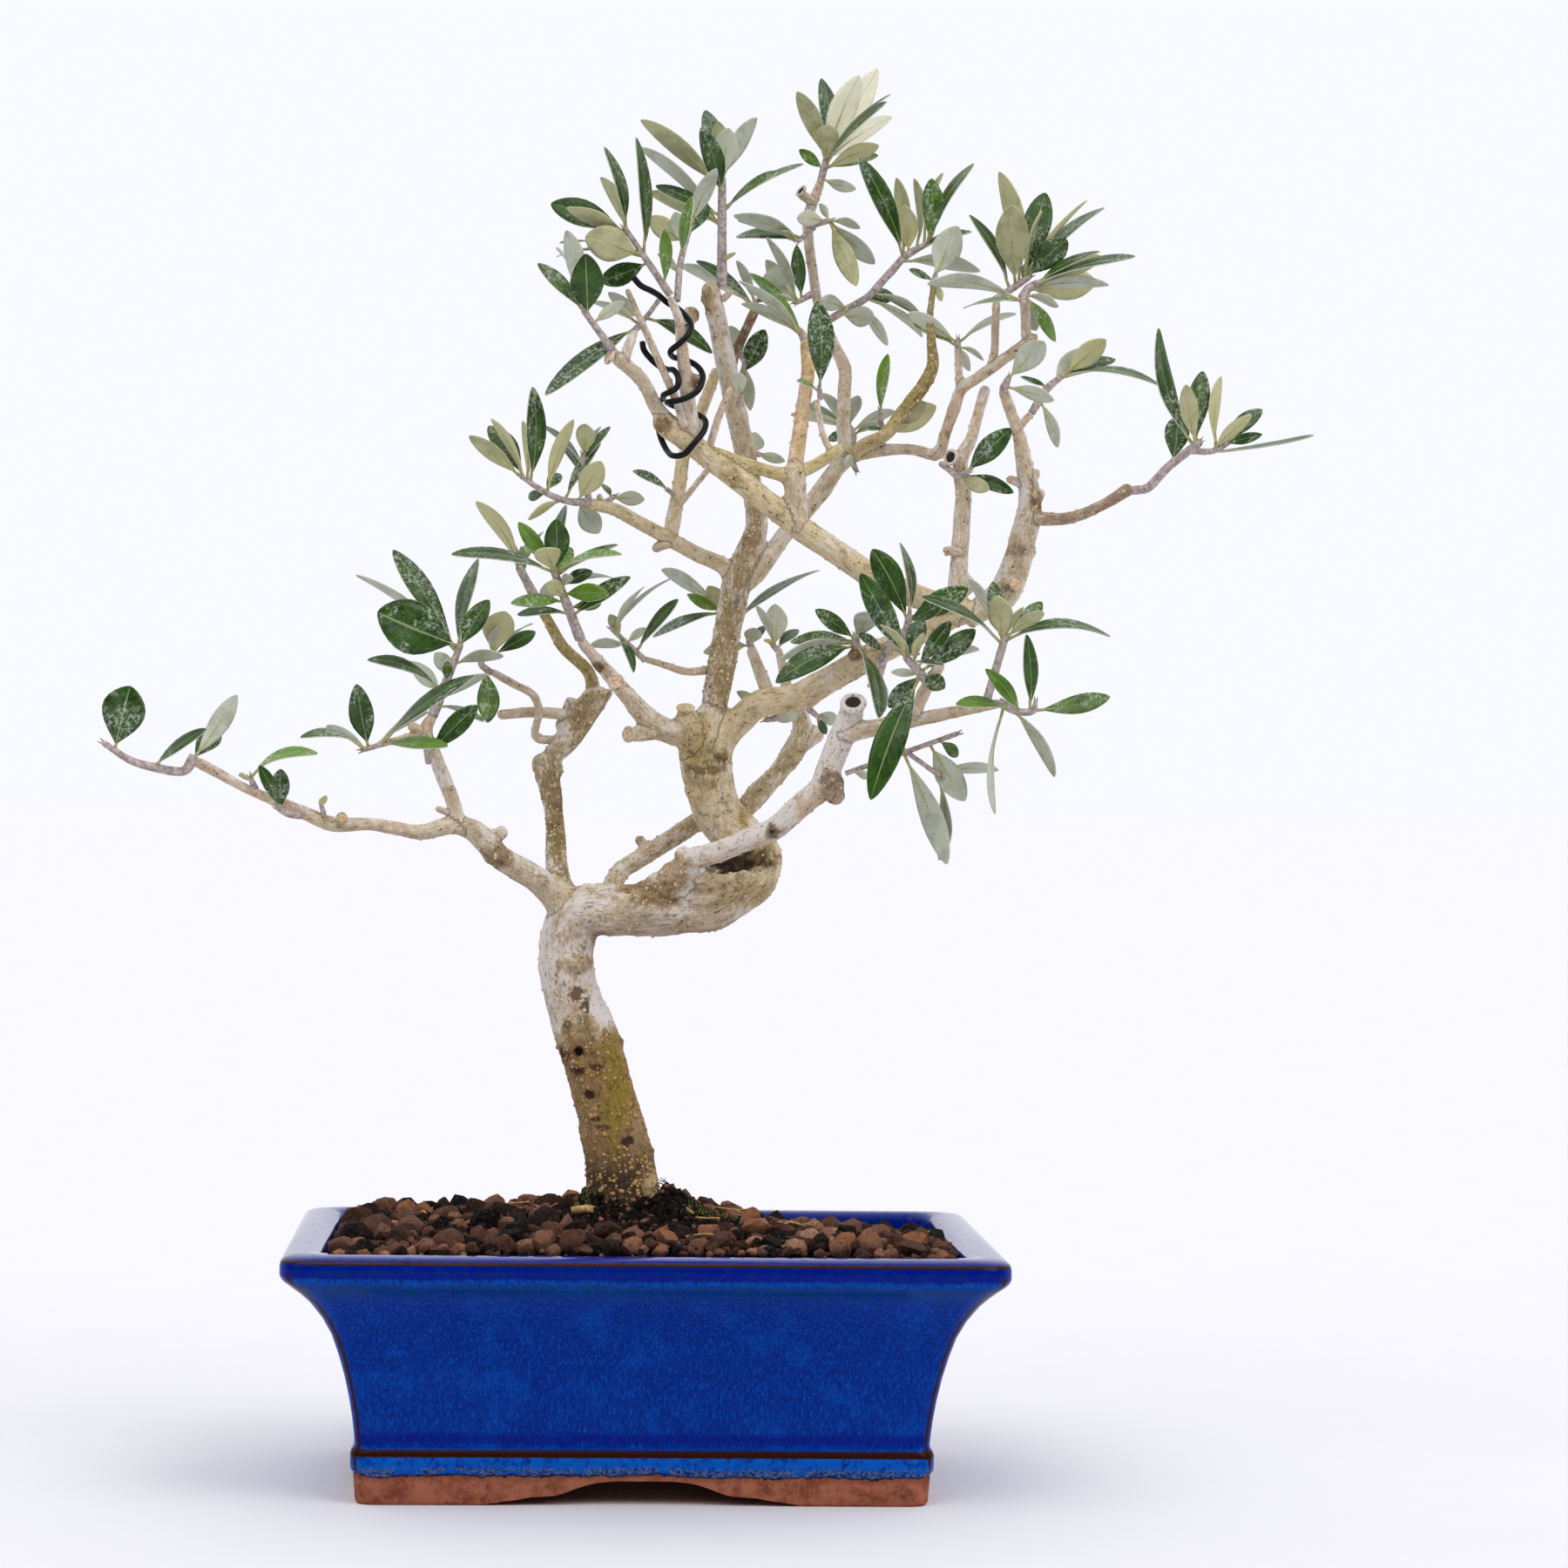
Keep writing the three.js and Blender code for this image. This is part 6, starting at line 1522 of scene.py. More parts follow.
# lilac-grey skin of this year's shoots; dull, with a bloom
SHOOT_BARK = Plain("olive_shoot_bark", "#8A7A76", "#CCBEBA", 0.78, 1.4, 0.12)
# sappy yellow-green of leaf stalks, slightly glossy
STALK = Plain("olive_leaf_stalk", "#9A9A58", "#C6C08A", 0.55, 1.2, 0.05)
# corky pores: gold and rough on the old trunk, cream higher up
GOLD_CORK = Plain("golden_cork", "#926836", "#D8AC72", 0.9, 0.5, 0.12)
CREAM_CORK = Plain("cream_cork", "#B89E74", "#EEDFBE", 0.9, 0.5, 0.1)
# sawn wood dried to tan, and a near-black disc that paints the shade inside a hollow end
CUT_WOOD = Plain("cut_olive_wood", "#B89068", "#F0D6B4", 0.85, 0.9, 0.15)
HOLLOW_SHADE = Plain("painted_hollow_shade", "#0E0C0B", "#2C221C", 0.9, 1.4, 0.3)
# annealed aluminium under a black lacquer: soft highlights
WIRE_LACQUER = Plain("black_lacquered_aluminium", "#050506", "#0E0F11", 0.3, 2.0, 0.03, 0.2)
# moulded polypropylene lattice, satin black
MESH_PLASTIC = Plain("moulded_polypropylene", "#121314", "#1E2022", 0.5, 1.5, 0.03)
# live green of cushion moss, and dead straw
MOSS = Plain("cushion_moss", "#2E3A10", "#7C8A2E", 0.95, 0.8, 0.3)
STRAW = Plain("dry_stalk", "#8A6234", "#D9B474", 0.8, 1.0, 0.1)
# white card under the pot, quite matt
FLOOR = Plain("white_card", "#E9E9ED", "#EAEAEE", 0.9, 40.0, 0.0)


# ------------------------------------------------------------------ the pot


@dataclass
class Pot:
    """A shallow pot with a flat rim, thrown-out lip, flared wall and four feet."""

    bench: Bench
    width: float = POT_WIDTH
    depth: float = POT_DEPTH
    plan: float = 100.0  # half the square that the rings are laid out on, and its corners
    plan_corner: float = 40.0
    worn_corner: float = 0.85  # how thin the glaze lies on the upright corners
    worn_from: float = 9.0  # they are worn above this height, up to this row of the outside
    outer_rows: int = 26
    inner_wall: float = 24.0  # what lies further in and lower than these is bare clay
    bare_height: float = 16.0
    overshoot: float = 20.0  # how much longer than the pot a gap is cut
    crease: float = 40.0  # edges with a sharper turn, in degrees, stay crisp
    corner: float = 10.0
    corner_steps: int = 8
    underside: float = 7.6
    floor: float = 14.0
    foot_wall: float = 10.0
    foot_gap: float = 51.0
    foot_gap_short: float = 26.0
    drain_radius: float = 7.0
    drain_spacing: float = 96.0

    # height, inset from the rim's edge, and how thin and brown the glaze lies there
    outside = (
        (0, 23.9, 0), (0.7, 23.3, 0), (8.6, 22.7, 0), (9.6, 22.6, 0), (10.3, 22.0, 0),
        (11.0, 21.7, 0), (14.2, 21.6, 0), (15.2, 21.6, 0.9), (16.0, 21.7, 1), (16.7, 22.0, 1),
        (17.4, 22.5, 0.4), (18.1, 22.8, 0), (19, 22.9, 0), (22, 22.6, 0), (27, 22, 0),
        (33, 21, 0), (40, 19.5, 0), (46.5, 17.7, 0), (53, 15.5, 0), (58.5, 12.6, 0),
        (63.4, 9, 0), (66.2, 6.2, 0), (68.6, 3.4, 0), (70, 1.7, 0.1), (71.2, 0.6, 0.3),
        (72.6, 0, 0.15), (75.2, 0, 0.1), (76.3, 0.2, 0.5), (77.0, 0.5, 1), (77.6, 1.0, 0.6),
        (78.1, 1.8, 0.1), (78.6, 3.2, 0), (79, 7, 0), (78.8, 11, 0), (78.1, 12.4, 0.1),
        (77.1, 13.2, 0.4), (75.9, 13.6, 0.5), (74.5, 13.9, 0.1), (66, 15.8, 0), (54, 23, 0),
        (40, 27, 0), (18, 29.5, 0), (14, 31, 0),
    )
    # share of the gap and height of the arch between two feet
    arch = ((1, -1), (0.93, 0.4), (0.86, 1), (0.77, 1.6), (0.69, 2.4), (0.6, 2.7), (0.53, 3),
            (0.47, 4.0), (0.41, 5.2), (0.35, 6.2), (0.29, 7), (0.22, 7.4), (0.16, 7.6))

    def body(self) -> bmesh.types.BMesh:
        """Draws a rounded rectangle up the outside, over the rim and down the inside.

        Returns:
            The closed wall and floor, before the feet and holes are cut.
        """
        bm = bmesh.new()
        bmesh.ops.create_grid(bm, x_segments=1, y_segments=1, size=1)
        quarter = bm.verts.layers.float_vector.new("quarter")
        corner = bm.verts.layers.float_vector.new("corner")
        thin = bm.verts.layers.float.new("thin")
        for vert in bm.verts:
            vert.co = Vector((
                math.copysign(self.plan, vert.co.x), math.copysign(self.plan, vert.co.y), 0))
        bmesh.ops.bevel(
            bm, geom=bm.verts[:], offset=self.plan_corner, offset_type="OFFSET", affect="VERTICES",
            segments=self.corner_steps, profile=0.5, material=-1,
        )
        for vert in bm.verts:
            side = Vector((math.copysign(1, vert.co.x), math.copysign(1, vert.co.y), 0))
            vert[quarter] = side
            vert[corner] = (vert.co - side * (self.plan - self.plan_corner)).normalized()
        base = bm.faces[:][0]
        base.normal_update()
        edges = bm.edges[:]
        verts = bm.verts[:]
        for row, (height, inset, worn) in enumerate(self.outside):
            if row:
                verts, edges = extrude(bm, edges)
            outer = self.worn_from < height and row < self.outer_rows
            for vert in verts:
                self.place(vert, vert[quarter], vert[corner], height, inset)
                diagonal = 2 * abs(vert[corner].x * vert[corner].y)
                share = self.worn_corner * diagonal**7 if outer else 0.0
                vert[thin] = max(worn, share)
        bmesh.ops.contextual_create(bm, geom=edges)
        bmesh.ops.recalc_face_normals(bm, faces=bm.faces[:])
        return bm

    def place(
        self, vert: bmesh.types.BMVert, side: Vector, way: Vector, height: float, inset: float
    ) -> None:
        """Puts one point of a ring on the rounded rectangle at that height and inset.

        Args:
            vert: The point.
            side: Which quarter it is in, as signs of x and y.
            way: Which way it looks from its corner's centre.
            height: Its height.
            inset: How far in from the rim's edge its ring lies.
        """
        radius = max(self.corner - inset * 0.2, 4.0)
        x = side.x * (self.width / 2 - inset - radius) + way.x * radius
        y = side.y * (self.depth / 2 - inset - radius) + way.y * radius
        vert.co = Vector((x, y, height))

    def gap(self, half: float, length: float, turn: float) -> bmesh.types.BMesh:
        """Makes the space between two feet, to cut away.

        Args:
            half: Half its width at the ground.
            length: How far it runs through the pot.
            turn: Its turn about the upright, in degrees.

        Returns:
            The closed space.
        """
        bm = bmesh.new()
        outline = [*self.arch, *[(-share, height) for share, height in reversed(self.arch)]]
        verts = [bm.verts.new((share * half, -length / 2, height)) for share, height in outline]
        face = bmesh.ops.contextual_create(bm, geom=verts)["faces"]
        new = bmesh.ops.extrude_face_region(bm, geom=face)["geom"]
        moved = [item for item in new if isinstance(item, bmesh.types.BMVert)]
        bmesh.ops.translate(bm, verts=moved, vec=(0, length, 0))
        bmesh.ops.rotate(bm, verts=bm.verts[:], matrix=Matrix.Rotation(math.radians(turn), 3, "Z"))
        bmesh.ops.recalc_face_normals(bm, faces=bm.faces[:])
        return bm

    def cutters(self) -> list[bmesh.types.BMesh]:
        """Makes everything that is cut from the body: underside, gaps and drain holes."""
        under = bmesh.new()
        span = 2 * (self.outside[1][1] + self.foot_wall)
        bmesh.ops.create_cube(under, size=1)
        size = (self.width - span, self.depth - span, 2 * self.underside)
        bmesh.ops.scale(under, vec=size, verts=under.verts[:])
        spaces = [under, self.gap(self.foot_gap, self.depth + self.overshoot, 0)]
        spaces.append(self.gap(self.foot_gap_short, self.width + self.overshoot, 90))
        for x in (-self.drain_spacing / 2, self.drain_spacing / 2):
            hole = bmesh.new()
            bmesh.ops.create_cone(
                hole, cap_ends=True, segments=40, radius1=self.drain_radius,
                radius2=self.drain_radius, depth=4 * self.floor,
                matrix=Matrix.Translation((x, 0, 0)),
            )
            spaces.append(hole)
        return spaces

    def build(self, glaze: bpy.types.Material) -> None:
        """Cuts the body, marks its bare clay and dresses it.

        Args:
            glaze: The material, which is bare clay where the mesh says so.
        """
        bm = self.body()
        for space in self.cutters():
            bm = self.cut(bm, space)
        clay = bm.verts.layers.float.new("clay")
        for vert in bm.verts:
            inner_x = abs(vert.co.x) < self.width / 2 - self.inner_wall
            inner_y = abs(vert.co.y) < self.depth / 2 - self.inner_wall
            vert[clay] = 1.0 if inner_x and inner_y and vert.co.z < self.bare_height else 0.0
        piece = self.bench.finish(bm, "glazed_pot", [glaze])
        self.keep_edges(piece)
        dress(piece, "glaze", "pot")

    @staticmethod
    def cut(bm: bmesh.types.BMesh, space: bmesh.types.BMesh) -> bmesh.types.BMesh:
        """Takes one closed space away from a body.

        Args:
            bm: The body, which is freed.
            space: The space, which is freed.

        Returns:
            What is left of the body.
        """
        mesh = as_mesh(space, "space")
        cutter = bpy.data.objects.new("space", mesh)
        bpy.context.scene.collection.objects.link(cutter)

        def settings(passing: bpy.types.Object) -> None:
            """Sets the cut up on the body."""
            modifier = passing.modifiers.new("cut", "BOOLEAN")
            modifier.operation = "DIFFERENCE"
            modifier.solver = "EXACT"
            modifier.object = cutter

        result = applied(bm, settings)
        bpy.data.objects.remove(cutter)
        bpy.data.meshes.remove(mesh)
        return result

    def keep_edges(self, piece: bpy.types.Object) -> None:
        """Keeps the cut edges crisp while the wall stays smooth."""
        mesh = piece.data
        bm = bmesh.new()
        bm.from_mesh(mesh)
        for edge in bm.edges:
            if len(edge.link_faces) == 2:
                edge.smooth = edge.calc_face_angle(0.0) <= math.radians(self.crease)
        bm.to_mesh(mesh)
        bm.free()


# ------------------------------------------------------------------ what fills the pot


class Grains(NamedTuple):
    """One size of grain on the bed: how many to try for, their least and greatest diameter,
    how far each is sunk and how near two may lie, as shares, and their subdivisions."""

    name: str
    count: int
    sizes: tuple[float, float]
    sunk: float
    spacing: float
    fine: int


@dataclass
class Filling:
    """Baked clay grains over dark mould, drawn up round the foot of the trunk."""

    bench: Bench
    half_x: float = 98.4
    half_y: float = 65.9
    edge_height: float = 76.0
    dome: float = 7.0
    mound: float = 5.0
    mound_radius: float = 17.0
    heap: float = 8.5
    heap_reach: tuple[float, float] = (4.0, 10.0)
    slump: float = 6.5
    slump_x: tuple[float, float] = (12.0, 45.0)  # where the bed begins to sink, and over how far
    slump_y: tuple[float, float] = (-35.0, 70.0)
    trunk: tuple[float, float] = (-4.5, 0.0)
    trunk_clear: float = 13.0
    mould_clear: float = 27.0  # coarse grains keep off the mould within this, crumbs on it
    mould_reach: float = 34.0
    forms: int = 14  # crumbs of different form, and how often each grain looks for a place
    tries: int = 6
    bed_drop: float = 2.8
    # heights and insets of the bed's sides, inside the pot's wall
    sides = ((66, 2.0), (54, 9.2), (40, 13.2), (18, 15.7), (14.4, 16.8))
    stick = ((-23, -14, 87, 1.3), (-18, -14.4, 87.6, 1.5), (-13.5, -15, 87, 1.2))
    # how many bits, round where and how widely, their length and radius, how high they lie
    stalks = (18, (0, 0), (88, 60), (4, 13), (0.15, 0.4), 3.4)
    fibres = (170, (12, -12), (22, 14), (2, 6), (0.08, 0.15), 0.4)
    coarse = Grains("coarse_grains", 430, (5.0, 10.6), 0.20, 0.84, 2)
    medium = Grains("medium_grains", 620, (2.8, 5.4), 0.0, 0.62, 2)
    grit = Grains("clay_grit", 1500, (1.4, 3.0), -0.1, 0.4, 1)
    mould = Grains("mould_crumbs", 2300, (0.8, 3.4), 0.2, 0.3, 2)
    # where tufts of moss stand, and how many blades each has
    tufts = (
        (-17, -6), (-18, -3), (-16.5, -9), (18, -6), (24, -4), (27, -8), (31, -3), (34, -9),
        (20, -12), (-62, -34), (-59, -36), (14, -14),
    )
    blades: int = 26

    def height(self, x: float, y: float) -> float:
        """Gives the height of the bed, which is the same as that of the solid soil.

        Args:
            x: Place across the pot.
            y: Place along its depth.

        Returns:
            The height above the ground.
        """
        swell = (1 - (2 * x / POT_WIDTH) ** 2) * (1 - (2 * y / POT_DEPTH) ** 2)
        near = ((x - self.trunk[0]) ** 2 + (y - self.trunk[1]) ** 2) / (2 * self.mound_radius**2)
        return self.edge_height + self.dome * swell + self.mound * math.exp(-near)

    def heaped(self, x: float, y: float) -> float:
        """Gives the height of the mould, drawn up round the trunk and further to the right.

        Args:
            x: Place across the pot.
            y: Place along its depth.

        Returns:
            The height above the ground.
        """
        away = Vector((x - self.trunk[0], y - self.trunk[1]))
        right = 0.5 + 0.5 * away.x / max(away.length, 1e-6)
        reach = self.heap_reach[0] + (self.heap_reach[1] - self.heap_reach[0]) * right
        top = self.heap * (0.35 + 0.65 * abs(away.x) / max(away.length, 1e-6))
        (from_x, over_x), (from_y, over_y) = self.slump_x, self.slump_y
        aside = self.slump * within((x - from_x) / over_x) * within((y - from_y) / over_y)
        past = max(0.0, away.length - 12)
        return self.height(x, y) - aside + top * math.exp(-past / reach)

    def bed(self) -> bmesh.types.BMesh:
        """Makes the dark mould that the grains lie on, down to the floor of the pot. Its near-black also
        stands for painted shade in the gaps between the grains.
        """
        bm = bmesh.new()
        bmesh.ops.create_grid(bm, x_segments=96, y_segments=64, size=1)
        for vert in bm.verts:
            x, y = vert.co.x * (self.half_x + 0.2), vert.co.y * (self.half_y + 0.2)
            spot = Vector((x, y, 0))
            relief = 1.3 * lumps(spot, 5) + 0.7 * lumps(spot, 2.2, 3)
            vert.co = Vector((x, y, self.heaped(x, y) - self.bed_drop + relief))
        rim = [edge for edge in bm.edges if edge.is_boundary]
        for height, inset in self.sides:
            verts, rim = extrude(bm, rim)
            for vert in verts:
                x = math.copysign(min(abs(vert.co.x), self.half_x - inset), vert.co.x)
                y = math.copysign(min(abs(vert.co.y), self.half_y - inset), vert.co.y)
                vert.co = Vector((x, y, height))
        bmesh.ops.contextual_create(bm, geom=rim)
        bmesh.ops.recalc_face_normals(bm, faces=bm.faces[:])
        return bm

    @staticmethod
    def pebble(rng: random.Random, faces: int) -> bpy.types.Mesh:
        """Makes one broken crumb about 2 across, with flats chipped off it.

        Args:
            rng: Where its chance comes from.
            faces: How fine it is, as an icosphere's subdivisions.

        Returns:
            The crumb's mesh.
        """
        bm = bmesh.new()
        bmesh.ops.create_icosphere(bm, subdivisions=faces, radius=1)
        for _ in range(12):
            way = any_way(rng)
            limit = rng.uniform(0.46, 0.80)
            for vert in bm.verts:
                vert.co -= way * max(0.0, vert.co.dot(way) - limit)
        for vert in bm.verts:
            vert.co *= 1.26 + rng.uniform(-0.05, 0.05)
        mesh = as_mesh(bm, "crumb")
        mesh.attributes.new("tone", "FLOAT", "POINT")
        return mesh

    def spread(
        self, rng: random.Random, grains: Grains, taken: list[Vector],
        keep: Callable[[float, float], bool],
    ) -> list[Vector]:
        """Scatters grains over the bed without piling them on each other.

        Args:
            rng: Where the chance comes from.
            grains: Their number, size and spacing.
            taken: Grains already lying, to which the new ones are added.
            keep: Says whether a grain may lie at x, y.

        Returns:
            The new grains as x, y, z and radius.
        """
        new = []
        for _ in range(grains.count * self.tries):
            if len(new) == grains.count:
                break
            radius = rng.uniform(*grains.sizes) / 2
            x = rng.uniform(radius - self.half_x, self.half_x - radius)
            y = rng.uniform(radius - self.half_y, self.half_y - radius)
            if not keep(x, y):
                continue
            near = (t for t in taken if abs(t.x - x) < 8 and abs(t.y - y) < 8)
            least = grains.spacing
            if any(math.hypot(t.x - x, t.y - y) < least * (t.w + radius) for t in near):
                continue
            z = self.heaped(x, y) - 1.2 + radius * (1 - 2 * grains.sunk)
            grain = Vector((x, y, z, radius))
            taken.append(grain)
            new.append(grain)
        return new

    def crumbs(self, rng: random.Random, grains: Iterable[Vector], fine: int) -> bmesh.types.BMesh:
        """Lays a broken crumb at each place, each with its own turn, form and tone, the tone darkened
        towards its lower part as painted shade.

        Args:
            rng: Where the chance comes from.
            grains: Places and radii.
            fine: The crumbs' fineness, as an icosphere's subdivisions.

        Returns:
            All of them in one mesh.
        """
        forms = [self.pebble(rng, fine) for _ in range(self.forms)]
        bm = bmesh.new()
        for grain in grains:
            copy = rng.choice(forms).copy()
            turn = Matrix.Rotation(rng.uniform(0, math.tau), 4, any_way(rng))
            form = Matrix.Diagonal((rng.uniform(0.9, 1.15), rng.uniform(0.72, 1), 0.85, 1))
            size = Matrix.Scale(grain.w, 4)
            copy.transform(Matrix.Translation(grain.xyz) @ turn @ form @ size)
            tone = rng.uniform(0.0, 1.0)
            # painted shade: each crumb's tone falls off below its middle, towards its lower part
            height_in_grain = [(vert.co.z - grain.z) / grain.w for vert in copy.vertices]
            tones_with_painted_shade = [tone * max(0.1, min(1.0, 0.85 + 0.9 * depth)) for depth in height_in_grain]
            copy.attributes["tone"].data.foreach_set("value", tones_with_painted_shade)
            bm.from_mesh(copy)
            bpy.data.meshes.remove(copy)
        for form in forms:
            bpy.data.meshes.remove(form)
        return bm

    def build(
        self, humus: bpy.types.Material, grain: bpy.types.Material, moss: bpy.types.Material,
        straw: bpy.types.Material,
    ) -> None:
        """Makes the bed, its grains, and the moss and dry bits that lie on it.

        Args:
            humus: For the bed and the crumbs of mould.
            grain: For the clay grains.
            moss: For the moss round the trunk.
            straw: For the dry bits.
        """
        rng = random.Random(41)

        def from_mould(x: float, y: float) -> float:
            """Gives the distance from the middle of the mould, in front of the trunk."""
            return math.hypot((x - self.trunk[0] - 6) / 1.2, y - self.trunk[1] + 12)

        def open_ground(x: float, y: float) -> bool:
            """Keeps coarse grains off the mould round the trunk."""
            return from_mould(x, y) > self.mould_clear + 6 * lumps(Vector((x, y, 0)), 9)

        def anywhere(x: float, y: float) -> bool:
            """Lets fine grains lie everywhere but in the trunk."""
            return math.hypot(x - self.trunk[0], y - self.trunk[1]) > self.trunk_clear

        def on_mould(x: float, y: float) -> bool:
            """Keeps crumbs of mould near the trunk, but out of it."""
            return anywhere(x, y) and from_mould(x, y) < self.mould_reach

        taken: list[Vector] = []
        lying = [
            (self.coarse, self.spread(rng, self.coarse, taken, open_ground), grain),
            (self.medium, self.spread(rng, self.medium, taken, open_ground), grain),
            (self.grit, self.spread(rng, self.grit, [], anywhere), grain),
            (self.mould, self.spread(rng, self.mould, [], on_mould), humus),
        ]
        pieces = [self.bench.finish(self.bed(), "soil_bed", [humus])]
        for kind, spots, stuff in lying:
            crumbs = self.crumbs(rng, spots, kind.fine)
            pieces.append(self.bench.finish(crumbs, kind.name, [stuff], smooth=False))
        pieces.append(self.bench.finish(self.moss(rng), "trunk_moss", [moss]))
        litter = self.litter(rng, *self.stalks)
        sweep(litter, [Vector(spot) for spot in self.stick], 7)
        pieces.append(self.bench.finish(litter, "dry_litter", [straw]))
        fibre = self.litter(rng, *self.fibres)
        pieces.append(self.bench.finish(fibre, "root_fibre", [humus]))
        for piece in pieces:
            dress(piece, "soil", "soil")

    def moss(self, rng: random.Random) -> bmesh.types.BMesh:
        """Sets little tufts of moss about the foot of the trunk and on the bed.

        Args:
            rng: Where the chance comes from.

        Returns:
            The tufts in one mesh.
        """
        bm = bmesh.new()
        for x, y in self.tufts:
            for _ in range(self.blades):
                px, py = x + rng.gauss(0, 1.6), y + rng.gauss(0, 1.2)
                foot = Vector((px, py, self.heaped(px, py) - 0.6, 0.28))
                lean = Vector((rng.gauss(0, 0.7), rng.gauss(0, 0.7), rng.uniform(1.4, 2.6), -0.2))
                sweep(bm, [foot, foot + lean * 0.6, foot + lean], 4)
        return bm

    def litter(
        self, rng: random.Random, count: int, place: tuple[float, float],
        reach: tuple[float, float], lengths: tuple[float, float], radii: tuple[float, float],
        lift: float,
    ) -> bmesh.types.BMesh:
        """Strews dry stalks or fibre over the bed.

        Args:
            rng: Where the chance comes from.
            count: How many bits.
            place: Round where they lie.
            reach: How far from there, across and along the pot's depth.
            lengths: The least and greatest length.
            radii: The least and greatest radius.
            lift: How high above the bed they lie.

        Returns:
            The bits in one mesh.
        """
        bm = bmesh.new()
        for _ in range(count):
            x = place[0] + rng.uniform(-reach[0], reach[0])
            y = place[1] + rng.uniform(-reach[1], reach[1])
            turn, length = rng.uniform(0, math.tau), rng.uniform(*lengths)
            thick = rng.uniform(*radii)
            if math.hypot(x - self.trunk[0], y - self.trunk[1]) < 9 + 5 * lift:
                continue
            rows = []
            for share in (-0.5, 0, 0.5):
                px = x + math.cos(turn) * length * share
                py = y + math.sin(turn) * length * share
                px = max(-self.half_x + 1, min(self.half_x - 1, px))
                py = max(-self.half_y + 1, min(self.half_y - 1, py))
                rows.append((px, py, self.heaped(px, py) + lift + rng.uniform(-1, 1), thick))
            sweep(bm, smooth_route(rows, 2.5), 5)
        return bm


# ------------------------------------------------------------------ trunk and branches


class BarkKind(Enum):
    """How the bark of a stretch looks: its colour, how much white lies on it, and the
    share of places with a corky pore."""

    FOOT = ("#3C2B1F", -0.60, 0.12)
    OLD = ("#A4845A", -0.55, 0.045)
    PALE = ("#C8B29A", 0.40, 0.040)
    FRONT = ("#DCC8B4", 0.56, 0.030)
    LIMB = ("#D0BEA2", 0.34, 0.022)
    TAN = ("#DCC8A0", 0.24, 0.016)
    LEADER = ("#A28C68", 0.20, 0.070)
    CRUSTED = ("#94805C", 0.24, 0.070)
    PAIRED = ("#B4A07E", 0.34, 0.050)
    BEHIND = ("#BCA884", 0.26, 0.060)
    TWIG = ("#CEB8A0", 0.30, 0.006)
    GREEN = ("#A08E56", -0.1, 0.008)
    SAPPY = ("#C8B680", 0.06, 0.008)
    ORANGE = ("#D6B68C", 0.20, 0.008)
    DARK = ("#7C6450", -0.1, 0.004)
    BROWN = ("#A8907A", 0.06, 0.010)


KINDS = {
    "front_branch": BarkKind.FRONT,
    "knuckle_stub": BarkKind.TAN,
    "upright_left_olive": BarkKind.GREEN,
    "behind_branch": BarkKind.BEHIND,
    "right_limb": BarkKind.TAN,
    "diagonal": BarkKind.TAN,
    "hub_stem": BarkKind.ORANGE,
    "hub_left": BarkKind.SAPPY,
    "hub_right": BarkKind.SAPPY,
    "dark_stem": BarkKind.DARK,
    "crown_left_branch": BarkKind.TAN,
    "crown_left_shoot": BarkKind.TAN,
    "outer_right_side": BarkKind.BROWN,
}

# height on a branch, and the bark that it has from there up to the next one
BARK_STEPS = {
    "trunk": (
        (60, BarkKind.FOOT), (97, BarkKind.FOOT), (109, BarkKind.OLD), (139, BarkKind.OLD),
        (145, BarkKind.PALE), (184, BarkKind.PALE), (189, BarkKind.LIMB), (198, BarkKind.TAN),
        (500, BarkKind.TAN),
    ),
    "upright_left": (
        (0, BarkKind.CRUSTED), (224, BarkKind.CRUSTED), (240, BarkKind.PAIRED),
        (500, BarkKind.PAIRED),
    ),
    "leader": (
        (0, BarkKind.LEADER), (308, BarkKind.LEADER), (338, BarkKind.LIMB),
        (500, BarkKind.LIMB),
    ),
    "olive_shoot": (
        (0, BarkKind.SAPPY), (336, BarkKind.SAPPY), (350, BarkKind.GREEN),
        (500, BarkKind.GREEN),
    ),
}


class Blemish(NamedTuple):
    """A patch of other bark: its middle, half its width and height, its colour, how far
    it hides the bark under it, how deep it is sunk, and what it adds to the white."""

    place: tuple[float, float, float]
    wide: float
    high: float
    colour: str
    cover: float
    sunk: float = 0.0
    white: float = -0.9


